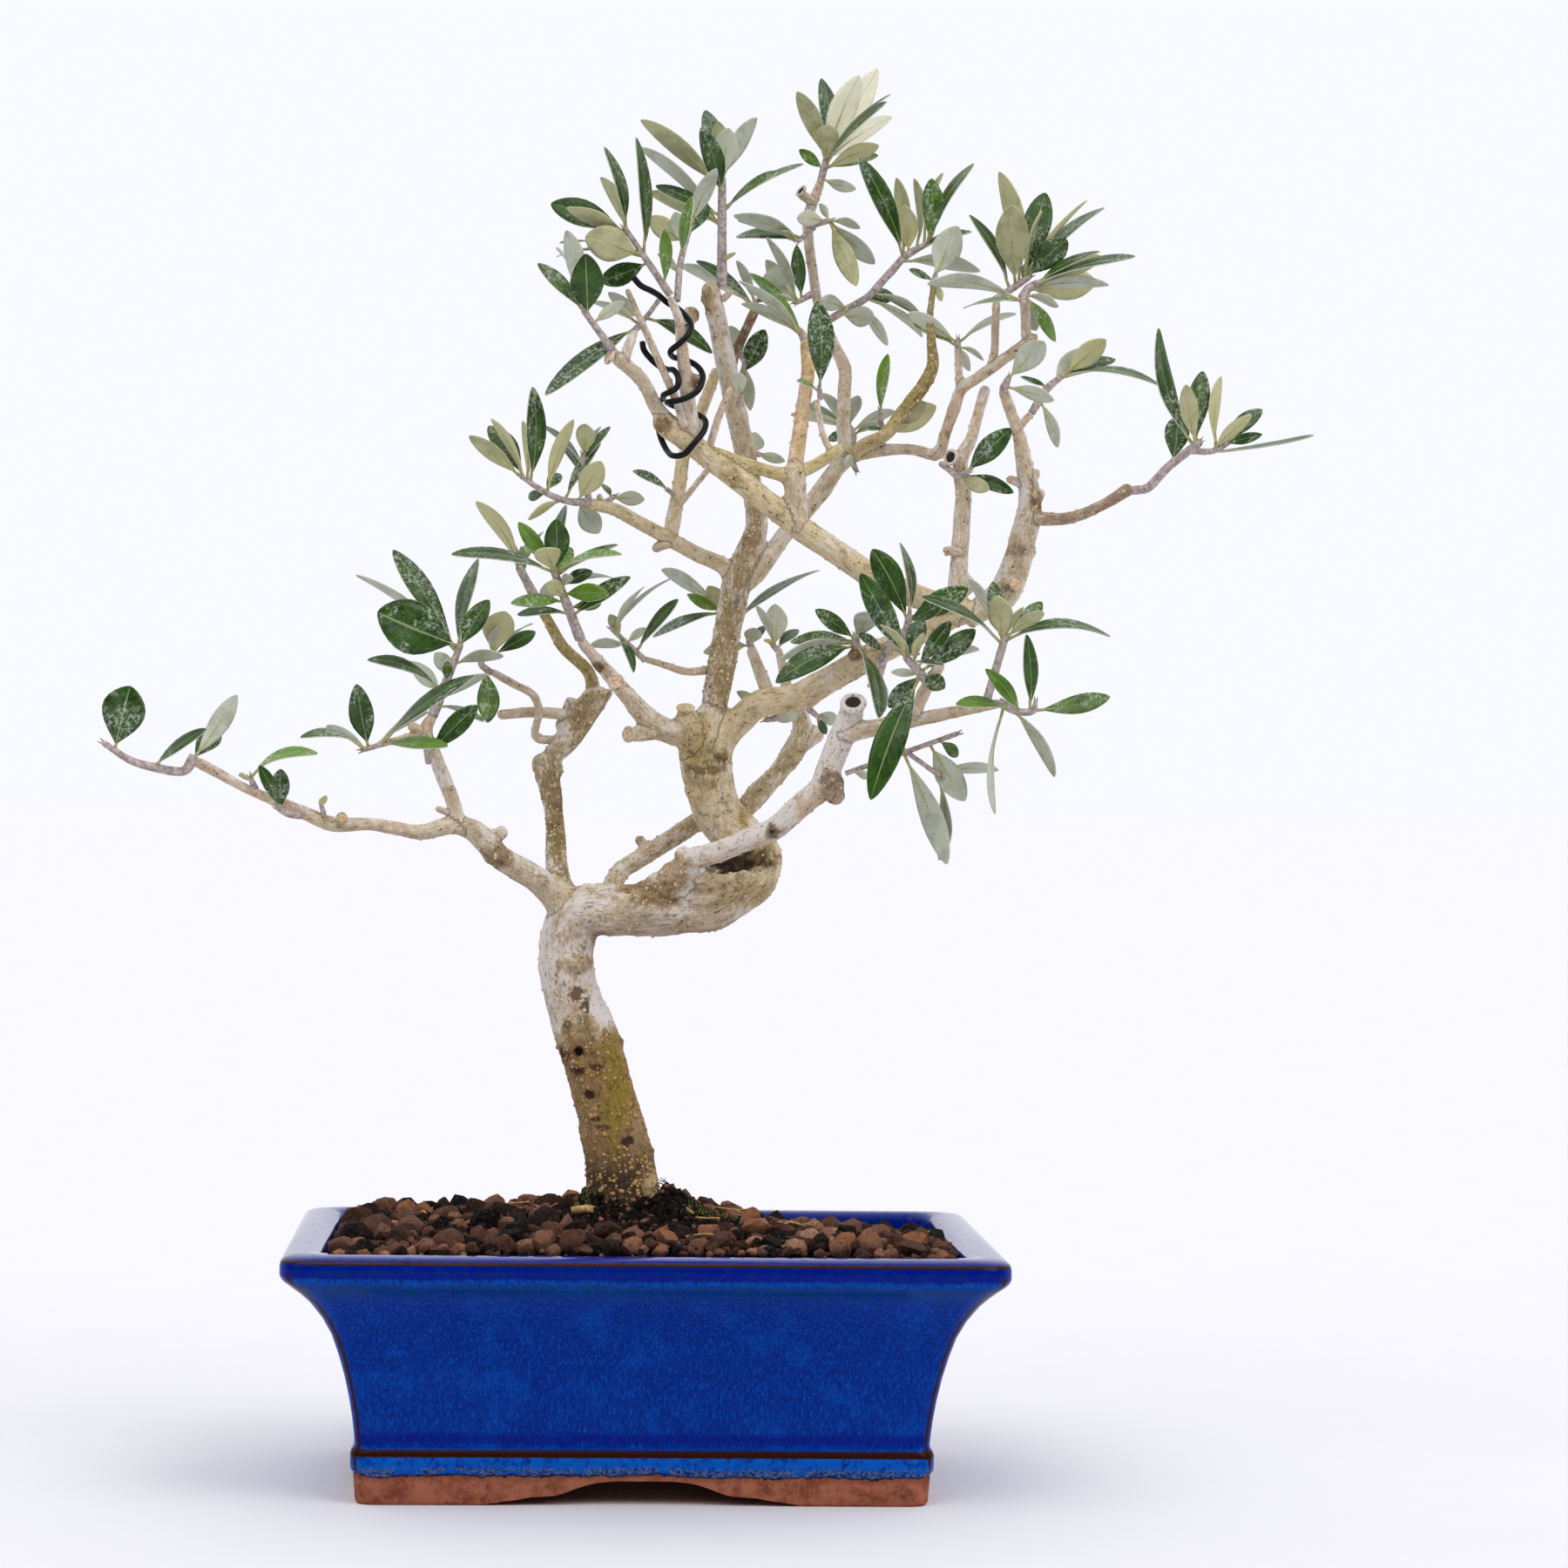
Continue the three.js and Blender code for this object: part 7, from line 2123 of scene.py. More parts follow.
BLEMISHES = (
    Blemish((-20.5, -9.7, 137.6), 7, 5, "#8A6A48", 0.7, -0.5),
    # a small sunk pit; its near-black colour paints the shade inside it
    Blemish((-21, -10, 137.7), 1.5, 1.4, "#2A1A10", 1.0, 1.4),
    Blemish((-21, -9, 145), 6, 4, "#8C7846", 0.7),
    Blemish((-11, -5, 158), 6, 14, "#F0E6DE", 0.8, 0.0, 0.6),
    Blemish((-21.5, -8.6, 165.5), 6.5, 2.6, "#A08A68", 0.6, -0.3),
    Blemish((-14, -6, 173), 3, 3, "#5A4834", 0.8, 0.5),
    Blemish((-9, -9, 124), 4.6, 17, "#96802A", 0.85),
    Blemish((-11.5, -8, 139), 3.5, 5, "#96803A", 0.8),
    Blemish((-17.5, -9, 123.7), 1.4, 1.2, "#6E4E3A", 0.6, 0.7),
    Blemish((-5.3, -10, 109), 1.6, 1.3, "#6E4E3A", 0.6, 0.6),
    Blemish((3.5, -7, 94), 4, 7, "#D8BE92", 0.85),
    Blemish((2.5, -13.5, 189), 8.5, 4.6, "#8C6C34", 0.8, 0.1),
    Blemish((-6, -9, 191.5), 5, 2.2, "#8A6A44", 0.7),
    Blemish((8.5, -18, 197), 6, 6, "#A8865A", 0.7),
    Blemish((32, -7, 201), 11, 5.6, "#8A6A3C", 0.75),
    # near-black, sunk patches behind the front branch: painted shade in the hollow there
    Blemish((25, -7.6, 198.4), 7, 2.6, "#150E08", 1.0, 0.8, -3.0),
    Blemish((32.5, -6.5, 200.2), 8, 3.6, "#150E08", 1.0, 0.8, -3.0),
    # a small pit: its near-black middle paints the shade inside it
    Blemish((38.4, -35.4, 209.3), 2.4, 2.4, "#4A3C30", 0.9, 0.4),
    Blemish((38.4, -36, 209.3), 0.9, 0.9, "#1E1712", 0.9, 0.8),
    Blemish((30, -8, 190), 13, 5, "#A8925E", 0.6),
    Blemish((-48, -17, 200), 5, 5, "#7E6242", 0.75),
    Blemish((16, 9.8, 238), 5, 8, "#A8904E", 0.55),
    Blemish((18.2, 10.5, 228.8), 8, 1.5, "#6E5430", 0.8, 0.4),
    Blemish((18.2, 10.5, 233), 8, 4, "#96803F", 0.4),
    Blemish((17.5, 11, 224.6), 7, 2.6, "#8E7A50", 0.55),
    Blemish((24, 12, 233), 2.4, 2.4, "#684C2E", 0.8, -0.4),
    Blemish((66.6, -4, 267.5), 3, 3, "#6A4A34", 0.8),
    Blemish((25, 15, 218), 3, 8, "#E4D8C2", 0.6),
    Blemish((32, 11, 215), 2, 5, "#A88A4E", 0.7, -0.4),
    Blemish((15.5, 8, 380), 4, 5, "#A07E56", 0.7),
    Blemish((13.1, -9, 353.8), 2.6, 2.6, "#6A4A30", 0.9, -0.6),
    Blemish((-16.9, -7, 261), 2.2, 2, "#5A342A", 0.9, -0.2),
    Blemish((57, -41, 224), 4.5, 5, "#5E4A38", 0.75, -0.4),
    Blemish((53, -39, 217), 8, 6, "#BFA084", 0.5),
    Blemish((3, -10, 339.5), 3.4, 3, "#7A5636", 0.8, 0.3),
    Blemish((26, -12, 322), 4, 3.4, "#94843C", 0.6),
    Blemish((118, -7, 301), 3, 3.4, "#7A5844", 0.7, 0.3),
    Blemish((124, -9, 317), 2.4, 4, "#8C6A4A", 0.8),
    Blemish((114, -6, 289), 3, 2.4, "#6A5040", 0.8, 0.4),
    Blemish((-29, 14, 212), 3, 10, "#8E7A50", 0.7),
    Blemish((-20.2, 23.1, 243.7), 5, 8, "#8E7A50", 0.6),
    Blemish((29, 15, 284), 1.8, 2.4, "#D8CCC0", 0.7),
)

# lumps that stand out of the bark, as places and radii
KNOBS = (
    (-9.5, -1.5, 140, 3.4), (12, 10, 377, 3.2), (18, 10.5, 383, 3.0), (13.5, -9, 353.5, 2.4),
    (57.5, -40, 224.5, 3.3), (58, -40, 220.8, 2.9), (38.5, -32, 209.5, 3.6), (-16, -6, 181, 4.6),
    (-11, -7.5, 183, 5.2), (-6, -9, 185, 5.6), (-1, -10.5, 187.5, 5.8), (4, -13, 190.5, 5.8),
    (8.5, -16, 194.5, 5.2), (12.5, -19, 198, 4.6), (1, -14, 184, 4.5), (11, -20, 201.5, 3.0),
    (17, -6, 195.5, 4.8), (22, -3, 197.5, 5.0), (27, -2, 199.5, 5.0), (32, -1, 201.5, 4.8),
    (37, 0, 204, 4.6), (-34.5, -6, 192.8, 3.6), (-47, -15, 207.8, 2.4), (-49, -14, 201, 4.2),
    (-1.6, 22, 205.3, 2.0), (67, -1, 266, 3.2), (12.3, 12.8, 244, 4.1), (12.2, 12.5, 240, 4.6),
    (118.4, -13.2, 332.8, 2.4), (122, -12.2, 324.6, 2.3), (123, -11.2, 318.6, 2.5),
    (122, -5.5, 301, 3.0), (117.5, -5.5, 289.8, 3.6), (96.0, -5.0, 300.5, 1.6),
    (102, -1.5, 290, 3.7), (93.2, 13, 333.5, 2.4), (100.2, 9.6, 358, 1.9), (15, 11, 222, 3.0),
    (-34, 22, 230, 3.9), (-33.2, 22, 226.5, 3.8), (-30.4, 22, 228.5, 3.4),
    (-24.8, -7.6, 139, 2.7), (-17, -8.3, 138.6, 2.7), (-21, -8.3, 142, 2.6),
    (-21, -8.3, 133.4, 2.8),
    (-27.5, 27.5, 243, 2.9), (-26, 27.5, 247, 2.7), (-25, 27.5, 250, 2.5), (-14, 26, 253, 2.6),
    (-12.2, 25.5, 254, 1.5), (-18.5, 26, 253.4, 2.2), (-12.5, -3, 178, 3.4),
)


class CutKind(Enum):
    """What is seen where a branch was taken off."""

    CLEAN = "pale wood"
    # a hollow is shown as a flat near-black disc: painted shade
    HOLLOW = "a black hollow"


class Cut(NamedTuple):
    """The end of a branch that was taken off: its middle, which way it looks, its radius."""

    place: tuple[float, float, float]
    way: tuple[float, float, float]
    radius: float
    kind: CutKind


CUTS = (
    Cut((62.6, -47.6, 250.2), (-0.1, -0.8, 0.75), 3.3, CutKind.HOLLOW),
    Cut((12.3, 11.2, 249.0), (0, -0.4, 1), 2.5, CutKind.CLEAN),
    Cut((-10.9, -7.2, 256.6), (0.1, -1, 0.1), 2.3, CutKind.CLEAN),
    Cut((-6.6, -3.0, 239.9), (-0.8, -0.75, 0), 2.2, CutKind.CLEAN),
    Cut((96.8, -2.0, 331.4), (-0.75, -0.8, 0.2), 2.3, CutKind.HOLLOW),
    Cut((-96.8, -37.8, 211.9), (0, -1, 0.2), 1.5, CutKind.CLEAN),
    Cut((48.8, 28.2, 421), (-0.8, -0.5, 0.6), 1.8, CutKind.HOLLOW),
    Cut((-14.8, -22.0, 359.6), (-0.9, -0.5, 0.4), 2.0, CutKind.CLEAN),
    Cut((117.5, -9.2, 290.5), (0.3, -1, 0.1), 2.2, CutKind.CLEAN),
)


@dataclass
class Wood:
    """The trunk and all its branches, joined into two skins of bark: the stout limbs and the slim twigs.
    """

    bench: Bench
    thick: float = 2.6
    thick_voxel: float = 0.82
    thin_voxel: float = 0.5
    step: float = 1.2
    asked: int = 10  # rows of the branches that a point of the skin looks at, and blends
    blended: int = 6
    gold_top: float = 145.0  # golden pores end and cream ones begin at this height
    tree_top: float = 500.0
    gold_size: tuple[float, float] = (0.34, 0.98)
    cream_size: tuple[float, float] = (0.30, 0.74)

    def kind(self, name: str, spot: Vector) -> tuple[Vector, float, float]:
        """Gives the bark's colour, whiteness and pores at a place on a branch.

        Args:
            name: The branch.
            spot: The place and the radius there.

        Returns:
            The colour as a linear vector, the share of white and that of pores.
        """
        under = over = KINDS.get(name, BarkKind.TWIG if spot.w < 2.3 else BarkKind.LIMB)
        share = 0.0
        if name in BARK_STEPS:
            steps = zip(BARK_STEPS[name], BARK_STEPS[name][1:])
            (low, under), (high, over) = next(step for step in steps if spot.z <= step[1][0])
            share = max(0.0, (spot.z - low) / (high - low))
        colour = Vector(srgb(under.value[0])).lerp(Vector(srgb(over.value[0])), share)
        white, pored = Vector(under.value[1:]).lerp(Vector(over.value[1:]), share)
        return colour, white, pored

    def routes(self) -> dict[str, list[Vector]]:
        """Smooths every branch, swells it at its nodes and rounds its end."""
        result = {}
        for number, (name, rows) in enumerate({"trunk": TRUNK, **BRANCHES}.items()):
            route = smooth_route(rows, self.step)
            for spot in route:
                node = lumps(spot.xyz, 9, number * 3.1)
                slim = min(1.0, 3.0 / spot.w)
                spot.w *= 1 + slim * (0.04 * node + 0.16 * max(0.0, node) ** 2)
            result[name] = round_end(route)
        return result

    def skin(
        self, routes: Iterable[list[Vector]], knobs: Sequence[Row], voxel: float, passes: int
    ) -> bmesh.types.BMesh:
        """Joins the routes' tubes and the knobs on them into one closed skin.

        Args:
            routes: The branches.
            knobs: Lumps on them, as places and radii.
            voxel: How fine the skin is.
            passes: How many times it is smoothed.

        Returns:
            The skin in millimetres.
        """
        bm = bmesh.new()
        for route in routes:
            tube = bmesh.new()
            sweep(tube, route, 20 if route[0].w > self.thick else 12)
            mesh = as_mesh(tube, "tube")
            bm.from_mesh(mesh)
            bpy.data.meshes.remove(mesh)
        for x, y, z, radius in knobs:
            place = Matrix.Translation((x, y, z))
            bmesh.ops.create_icosphere(bm, subdivisions=2, radius=radius, matrix=place)
        bmesh.ops.recalc_face_normals(bm, faces=bm.faces[:])

        def settings(passing: bpy.types.Object) -> None:
            """Remeshes the tubes as one."""
            modifier = passing.modifiers.new("join", "REMESH")
            modifier.mode = "VOXEL"
            modifier.voxel_size = voxel
            modifier.adaptivity = 0.0

        bm = applied(bm, settings)
        for _ in range(passes):
            bmesh.ops.smooth_vert(
                bm, verts=bm.verts[:], factor=0.5,
                use_axis_x=True, use_axis_y=True, use_axis_z=True,
            )
        return bm

    def mark(self, bm: bmesh.types.BMesh, routes: dict[str, list[Vector]]) -> None:
        """Gives every point of a skin its bark, its place along its branch, and its relief.

        Args:
            bm: The skin.
            routes: All branches by name.
        """
        frames = []
        for name, route in routes.items():
            run = 0.0
            for i, (spot, frame) in enumerate(zip(route, stations(route))):
                run += (spot - route[max(i - 1, 0)]).xyz.length
                turn = frame.to_3x3().normalized().transposed()
                frames.append((spot, turn, run, *self.kind(name, spot)))
        tree = kdtree.KDTree(len(frames))
        for i, entry in enumerate(frames):
            tree.insert(entry[0].xyz, i)
        tree.balance()
        grain = bm.verts.layers.float_vector.new("grain")
        hue = bm.verts.layers.float_color.new("hue")
        chalk_and_rim_light = bm.verts.layers.float.new("chalk_and_rim_light")
        pored = bm.verts.layers.float.new("pored")
        bm.normal_update()
        moves = []
        for vert in bm.verts:
            near = tree.find_n(vert.co, self.asked)
            near.sort(key=lambda hit: hit[2] - frames[hit[1]][0].w)
            spot, turn, run, _, _, corky = frames[near[0][1]]
            local = turn @ (vert.co - spot.xyz)
            vert[grain] = Vector((local.x, local.y, local.z + run))
            total, blend, white = 0.0, Vector((0, 0, 0, 0)), 0.0
            for _, i, distance in near[: self.blended]:
                weight = 1 / (0.8 + max(0.0, distance - frames[i][0].w)) ** 2
                total += weight
                blend += frames[i][3] * weight
                white += frames[i][4] * weight
            # painted light: faces turned up or to the sides get more white, standing for top and rim light
            painted_rim_light = 0.10 * vert.normal.z + 0.24 * (abs(vert.normal.x) - 0.55)
            white = white / total + painted_rim_light + 0.24 * lumps(vert.co, 13, 5)
            colour, sunk = blend / total, 0.0
            for blemish in BLEMISHES:
                off = vert.co - Vector(blemish.place)
                reach = max(blemish.wide, blemish.high) + 3
                if off.length > reach * 1.3:
                    continue
                far = Vector((off.x / blemish.wide, off.y / reach, off.z / blemish.high)).length
                torn = 0.5 * lumps(vert.co, 3.4, blemish.wide) + 0.35 * lumps(vert.co, 1.2, 9)
                cover = within(1 - (far + torn - 0.7) / 0.55)
                colour = colour.lerp(Vector(srgb(blemish.colour)), cover * blemish.cover)
                white += blemish.white * cover * blemish.cover
                sunk += cover * blemish.sunk
                corky *= 1 - cover * min(1.0, 3 * max(0.0, blemish.sunk))
            vert[hue], vert[chalk_and_rim_light], vert[pored] = colour, white, corky
            size = min(1.0, spot.w / 9)
            swell = 0.40 * size * lumps(vert.co, 9, 1) + 0.24 * size * lumps(vert.co, 3, 2)
            swell += 0.08 * lumps(vert.co, 1.4, 4) - sunk
            moves.append((vert, vert.normal * swell))
        for vert, move in moves:
            vert.co += move

    def pores(
        self, skins: Sequence[bmesh.types.BMesh], rng: random.Random, low: float, high: float,
        size: tuple[float, float],
    ) -> bmesh.types.BMesh:
        """Raises little corky pores out of the bark.

        Args:
            skins: The finished skins in millimetres, marked with their share of pores.
            rng: Where the chance comes from.
            low: The height that they begin at.
            high: The height that they end at.
            size: The least and greatest radius.

        Returns:
            The pores in one mesh.
        """
        seed = bmesh.new()
        bmesh.ops.create_icosphere(seed, subdivisions=1, radius=1)
        form = as_mesh(seed, "pore")
        bm = bmesh.new()
        for skin in skins:
            pored = skin.verts.layers.float["pored"]
            for vert in skin.verts:
                if not low < vert.co.z < high or rng.random() > vert[pored]:
                    continue
                copy = form.copy()
                turn = vert.normal.to_track_quat("Z", "X").to_matrix().to_4x4()
                radius = size[0] + (size[1] - size[0]) * rng.random() ** 1.7
                shape = Matrix.Diagonal((1, rng.uniform(0.7, 1.2), rng.uniform(0.45, 0.75), 1))
                copy.transform(Matrix.Translation(vert.co) @ turn @ shape @ Matrix.Scale(radius, 4))
                bm.from_mesh(copy)
                bpy.data.meshes.remove(copy)
        bpy.data.meshes.remove(form)
        return bm

    def cut_ends(self, routes: dict[str, list[Vector]]) -> dict[str, bmesh.types.BMesh]:
        """Makes the ends of branches that were taken off: a face of wood in a lip of bark, or in a hollow
        end a near-black disc that paints the shade inside it.

        Args:
            routes: All branches by name, for the bark of the lips.

        Returns:
            The lips, the clean faces and the hollow ones.
        """
        parts = {"lips": bmesh.new(), **{kind.name: bmesh.new() for kind in CutKind}}
        for cut in CUTS:
            turn = Vector(cut.way).to_track_quat("Z", "X").to_matrix().to_4x4()
            stand = Matrix.Translation(cut.place) @ turn
            thick = cut.radius * 0.27
            start = stand @ Matrix.Translation((cut.radius, 0, 0)) @ Matrix.Rotation(
                math.pi / 2, 4, "X")
            bm = parts["lips"]
            ring = bmesh.ops.create_circle(bm, segments=10, radius=thick, matrix=start)
            edges = list({edge for vert in ring["verts"] for edge in vert.link_edges})
            bmesh.ops.spin(
                bm, geom=[*ring["verts"], *edges], cent=cut.place, axis=turn.col[2].xyz,
                angle=math.tau, steps=24, use_merge=True,
            )
            # a hollow end's disc is near-black: painted shade in place of a recess
            flat = Matrix.Diagonal((1, 1, 0.22 if cut.kind is CutKind.CLEAN else 0.1, 1))
            bmesh.ops.create_uvsphere(
                parts[cut.kind.name], u_segments=24, v_segments=10, radius=cut.radius,
                matrix=stand @ flat,
            )
        lips = parts["lips"]
        bmesh.ops.remove_doubles(lips, verts=lips.verts[:], dist=1e-4)
        bmesh.ops.recalc_face_normals(lips, faces=lips.faces[:])
        self.mark(lips, routes)
        return parts

    def build(
        self, bark: bpy.types.Material, pores: Sequence[bpy.types.Material],
        woods: Sequence[bpy.types.Material],
    ) -> None:
        """Makes both skins, the pores on them and the cut ends, and dresses them.

        Args:
            bark: For the skins.
            pores: For those low on the trunk, and for those of the leader and limbs.
            woods: For clean cuts, and for hollow ones as painted shade.
        """
        rng = random.Random(7)
        routes = self.routes()
        stout = [r for r in routes.values() if r[0].w >= self.thick]
        slim = [r for r in routes.values() if r[0].w < self.thick]
        limbs = self.skin(stout, KNOBS, self.thick_voxel, 2)
        twigs = self.skin(slim, (), self.thin_voxel, 1)
        self.mark(limbs, routes)
        self.mark(twigs, routes)

        golden = self.pores([limbs], rng, 0, self.gold_top, self.gold_size)
        pale = self.pores([limbs, twigs], rng, self.gold_top, self.tree_top, self.cream_size)
        ends = self.cut_ends(routes)
        for bm, name, material in (
            (limbs, "limb_bark", bark), (twigs, "twig_bark", bark),
            (golden, "golden_pores", pores[0]), (pale, "cream_pores", pores[1]),
            (ends["lips"], "bark_lips", bark), (ends["CLEAN"], "cut_faces", woods[0]),
            (ends["HOLLOW"], "hollow_ends", woods[1]),
        ):
            dress(self.bench.finish(bm, name, [material]), "bark", "trunk_and_branches")


# ------------------------------------------------------------------ shoots and leaves


@dataclass
class Foliage:
    """Every leafy shoot: thin stems with their nodes and buds, stalks and leaves."""

    bench: Bench
    blade: float = 0.38
    across: int = 6
    along: int = 13
    stalk: float = 0.09
    rib: float = 0.6
    fold: float = 0.16
    curl: float = 0.10
    step: float = 1.2
    stem_sides: int = 8
    film_length: float = 24.0  # leaves longer than this have less of the light tone
    young_tone: float = 0.35

    def spot_on(self, stems: Sequence[Sequence[Row]], target: Vector) -> Vector:
        """Finds the nearest place on the middle line of a shoot's stems.

        Args:
            stems: The shoot's stems as rows.
            target: The place to come near to.

        Returns:
            The place on the line.
        """
        best, distance = target, math.inf
        for rows in stems:
            for start, end in zip(rows, rows[1:]):
                a, b = Vector(start[:3]), Vector(end[:3])
                share = (target - a).dot(b - a) / max((b - a).length_squared, 1e-9)
                place = a.lerp(b, within(share))
                if (place - target).length < distance:
                    best, distance = place, (place - target).length
        return best

    def leaf(self, root: Vector, row: tuple[Any, ...], rng: random.Random) -> bmesh.types.BMesh:
        """Shapes one leaf from a flat grid: blunt, folded at its midrib, rolled at its rim.

        Args:
            root: Where its stalk leaves the stem.
            row: Its row in the shoot's table.
            rng: Where its small chances come from.

        Returns:
            The leaf with its stalk, in millimetres.
        """
        tip, width, bend = Vector(row[3:6]), row[6], row[8]
        kind: LeafKind = row[9]
        way = (tip - root).normalized()
        length = (tip - root).length
        front = Vector((0, -1, 0))
        front = (front - way * front.dot(way)).normalized()
        upward = way.cross(front)
        if upward.z < -0.05:
            upward = -upward
        turn = math.radians(row[7])
        face = front * math.cos(turn) + upward * math.sin(turn)
        side = way.cross(face)
        twist = rng.uniform(-0.22, 0.22)
        drift = rng.uniform(-0.03, 0.03) * length
        widest = rng.uniform(0.5, 0.62)
        bm = bmesh.new()
        uv = bm.loops.layers.uv.new("blade")
        tone = bm.verts.layers.float.new("tone")
        grid = bmesh.ops.create_grid(
            bm, x_segments=self.across, y_segments=self.along, size=1, calc_uvs=True,
        )
        seed = rng.uniform(0, 90)

        def middle(share: float) -> Vector:
            """Gives the place of the midrib at a share of the leaf's length."""
            bow = bend * 4 * share * (1 - share)
            return root.lerp(tip, share) + face * bow + side * drift * math.sin(share * math.pi)

        for vert in grid["verts"]:
            u, s = vert.co.x, (vert.co.y + 1) / 2
            s = (1 - math.cos(math.pi * s)) / 2
            share = self.stalk + (1 - self.stalk) * s
            rise = min(1.0, s / widest)
            fall = min(1.0, (1 - s) / (1 - widest))
            part = math.sin(rise * math.pi / 2) ** 1.1 * math.sin(fall * math.pi / 2) ** 0.62
            half = width / 2 * max(part, 0.02)
            turned = Matrix.Rotation(twist * (share - 0.3), 3, way)
            lift = self.fold * abs(u) * half - self.curl * u * u * half
            wave = 0.05 * half * math.sin(5 * s + seed) * u
            vert.co = middle(share) + turned @ (side * u * half + face * (lift + wave))
            vert[tone] = 0.0
        for loop in (loop for face_ in bm.faces for loop in face_.loops):
            spot = loop[uv].uv
            spot.y = (1 - math.cos(math.pi * spot.y)) / 2
        bm.normal_update()
        if sum(poly.normal.dot(face) for poly in bm.faces) < 0:
            bmesh.ops.reverse_faces(bm, faces=bm.faces[:])
        bmesh.ops.solidify(bm, geom=bm.faces[:], thickness=self.blade)
        bmesh.ops.recalc_face_normals(bm, faces=bm.faces[:])
        bm.normal_update()
        under = {LeafKind.FULL: 1, LeafKind.YOUNG: 2, LeafKind.PALE: 3}[kind]
        for poly in bm.faces:
            poly.material_index = 0 if poly.normal.dot(face) > 0.15 else under
        known = set(bm.faces)
        rib = []
        for k in range(9):
            share = k / 8 * 0.93
            radius = max(0.14, self.rib * (1 - share) ** 1.2) * (0.7 + 0.3 * min(1, length / 25))
            sunk = face * (self.blade * 0.5 + radius * 0.35) * min(1.0, share / self.stalk)
            rib.append(Vector((*(middle(share) - sunk), radius)))
        sweep(bm, rib, 5)
        for poly in set(bm.faces) - known:
            poly.material_index = 4
        level = rng.random() ** 1.5 * min(1.0, (self.film_length / length) ** 2)
        level += self.young_tone if kind is LeafKind.YOUNG else 0.0
        for vert in bm.verts:
            vert[tone] = min(1.0, level)
        return bm

    def shoot(
        self, name: str, growth: Growth, finishes: Sequence[bpy.types.Material]
    ) -> None:
        """Builds one shoot in place of its solid.

        Args:
            name: The shoot's name.
            growth: Its stems and leaves.
            finishes: Upper face, the three undersides, stalk and shoot bark.
        """
        rng = random.Random(name)
        bm = bmesh.new()
        bm.loops.layers.uv.new("blade")
        bm.verts.layers.float.new("tone")
        for rows in growth.stems:
            stem = smooth_route(rows, self.step)
            start = stem[0].copy()
            start.xyz -= (stem[1] - stem[0]).xyz.normalized() * self.step
            for spot in stem:
                spot.w *= 1 + 0.10 * lumps(spot.xyz, 2.5, 8)
            route = round_end([start, *stem])
            sweep(bm, route, self.stem_sides)
            self.bud(bm, stem[-1], (stem[-1] - stem[-2]).xyz.normalized(), rng)
        bmesh.ops.recalc_face_normals(bm, faces=bm.faces[:])
        for face in bm.faces:
            face.material_index = 5
        passing = bpy.data.meshes.new("leaf")
        for row in growth.leaves:
            root = self.spot_on(growth.stems, Vector(row[:3]))
            leaf = self.leaf(root, row, rng)
            leaf.to_mesh(passing)
            leaf.free()
            bm.from_mesh(passing)
        bpy.data.meshes.remove(passing)
        piece = self.bench.finish(bm, "foliage_" + name, finishes)
        dress(piece, "leaf", "shoot_" + name)

    @staticmethod
    def bud(bm: bmesh.types.BMesh, spot: Vector, way: Vector, rng: random.Random) -> None:
        """Sets a pointed pair of bud scales on the end of a stem.

        Args:
            bm: The mesh that it is made in.
            spot: The stem's end and its radius.
            way: Which way the stem runs.
            rng: Where its small chances come from.
        """
        side = way.orthogonal().normalized()
        for sign in (-1, 1):
            lean = (way + side * sign * 0.25).normalized()
            rows = []
            for share, part in ((0, 0.6), (0.3, 0.8), (0.7, 0.5), (1, 0.1)):
                place = spot.xyz + side * sign * 0.25 + lean * share * 2.6
                rows.append(Vector((*place, 0.75 * part * rng.uniform(0.9, 1.1))))
            sweep(bm, rows, 6, 0.6)

    def build(self, finishes: Sequence[bpy.types.Material]) -> None:
        """Builds all shoots.

        Args:
            finishes: Upper face, the three undersides, stalk and shoot bark.
        """
        for name, growth in SHOOTS.items():
            self.shoot(name, growth, finishes)


# ------------------------------------------------------------------ the training wire


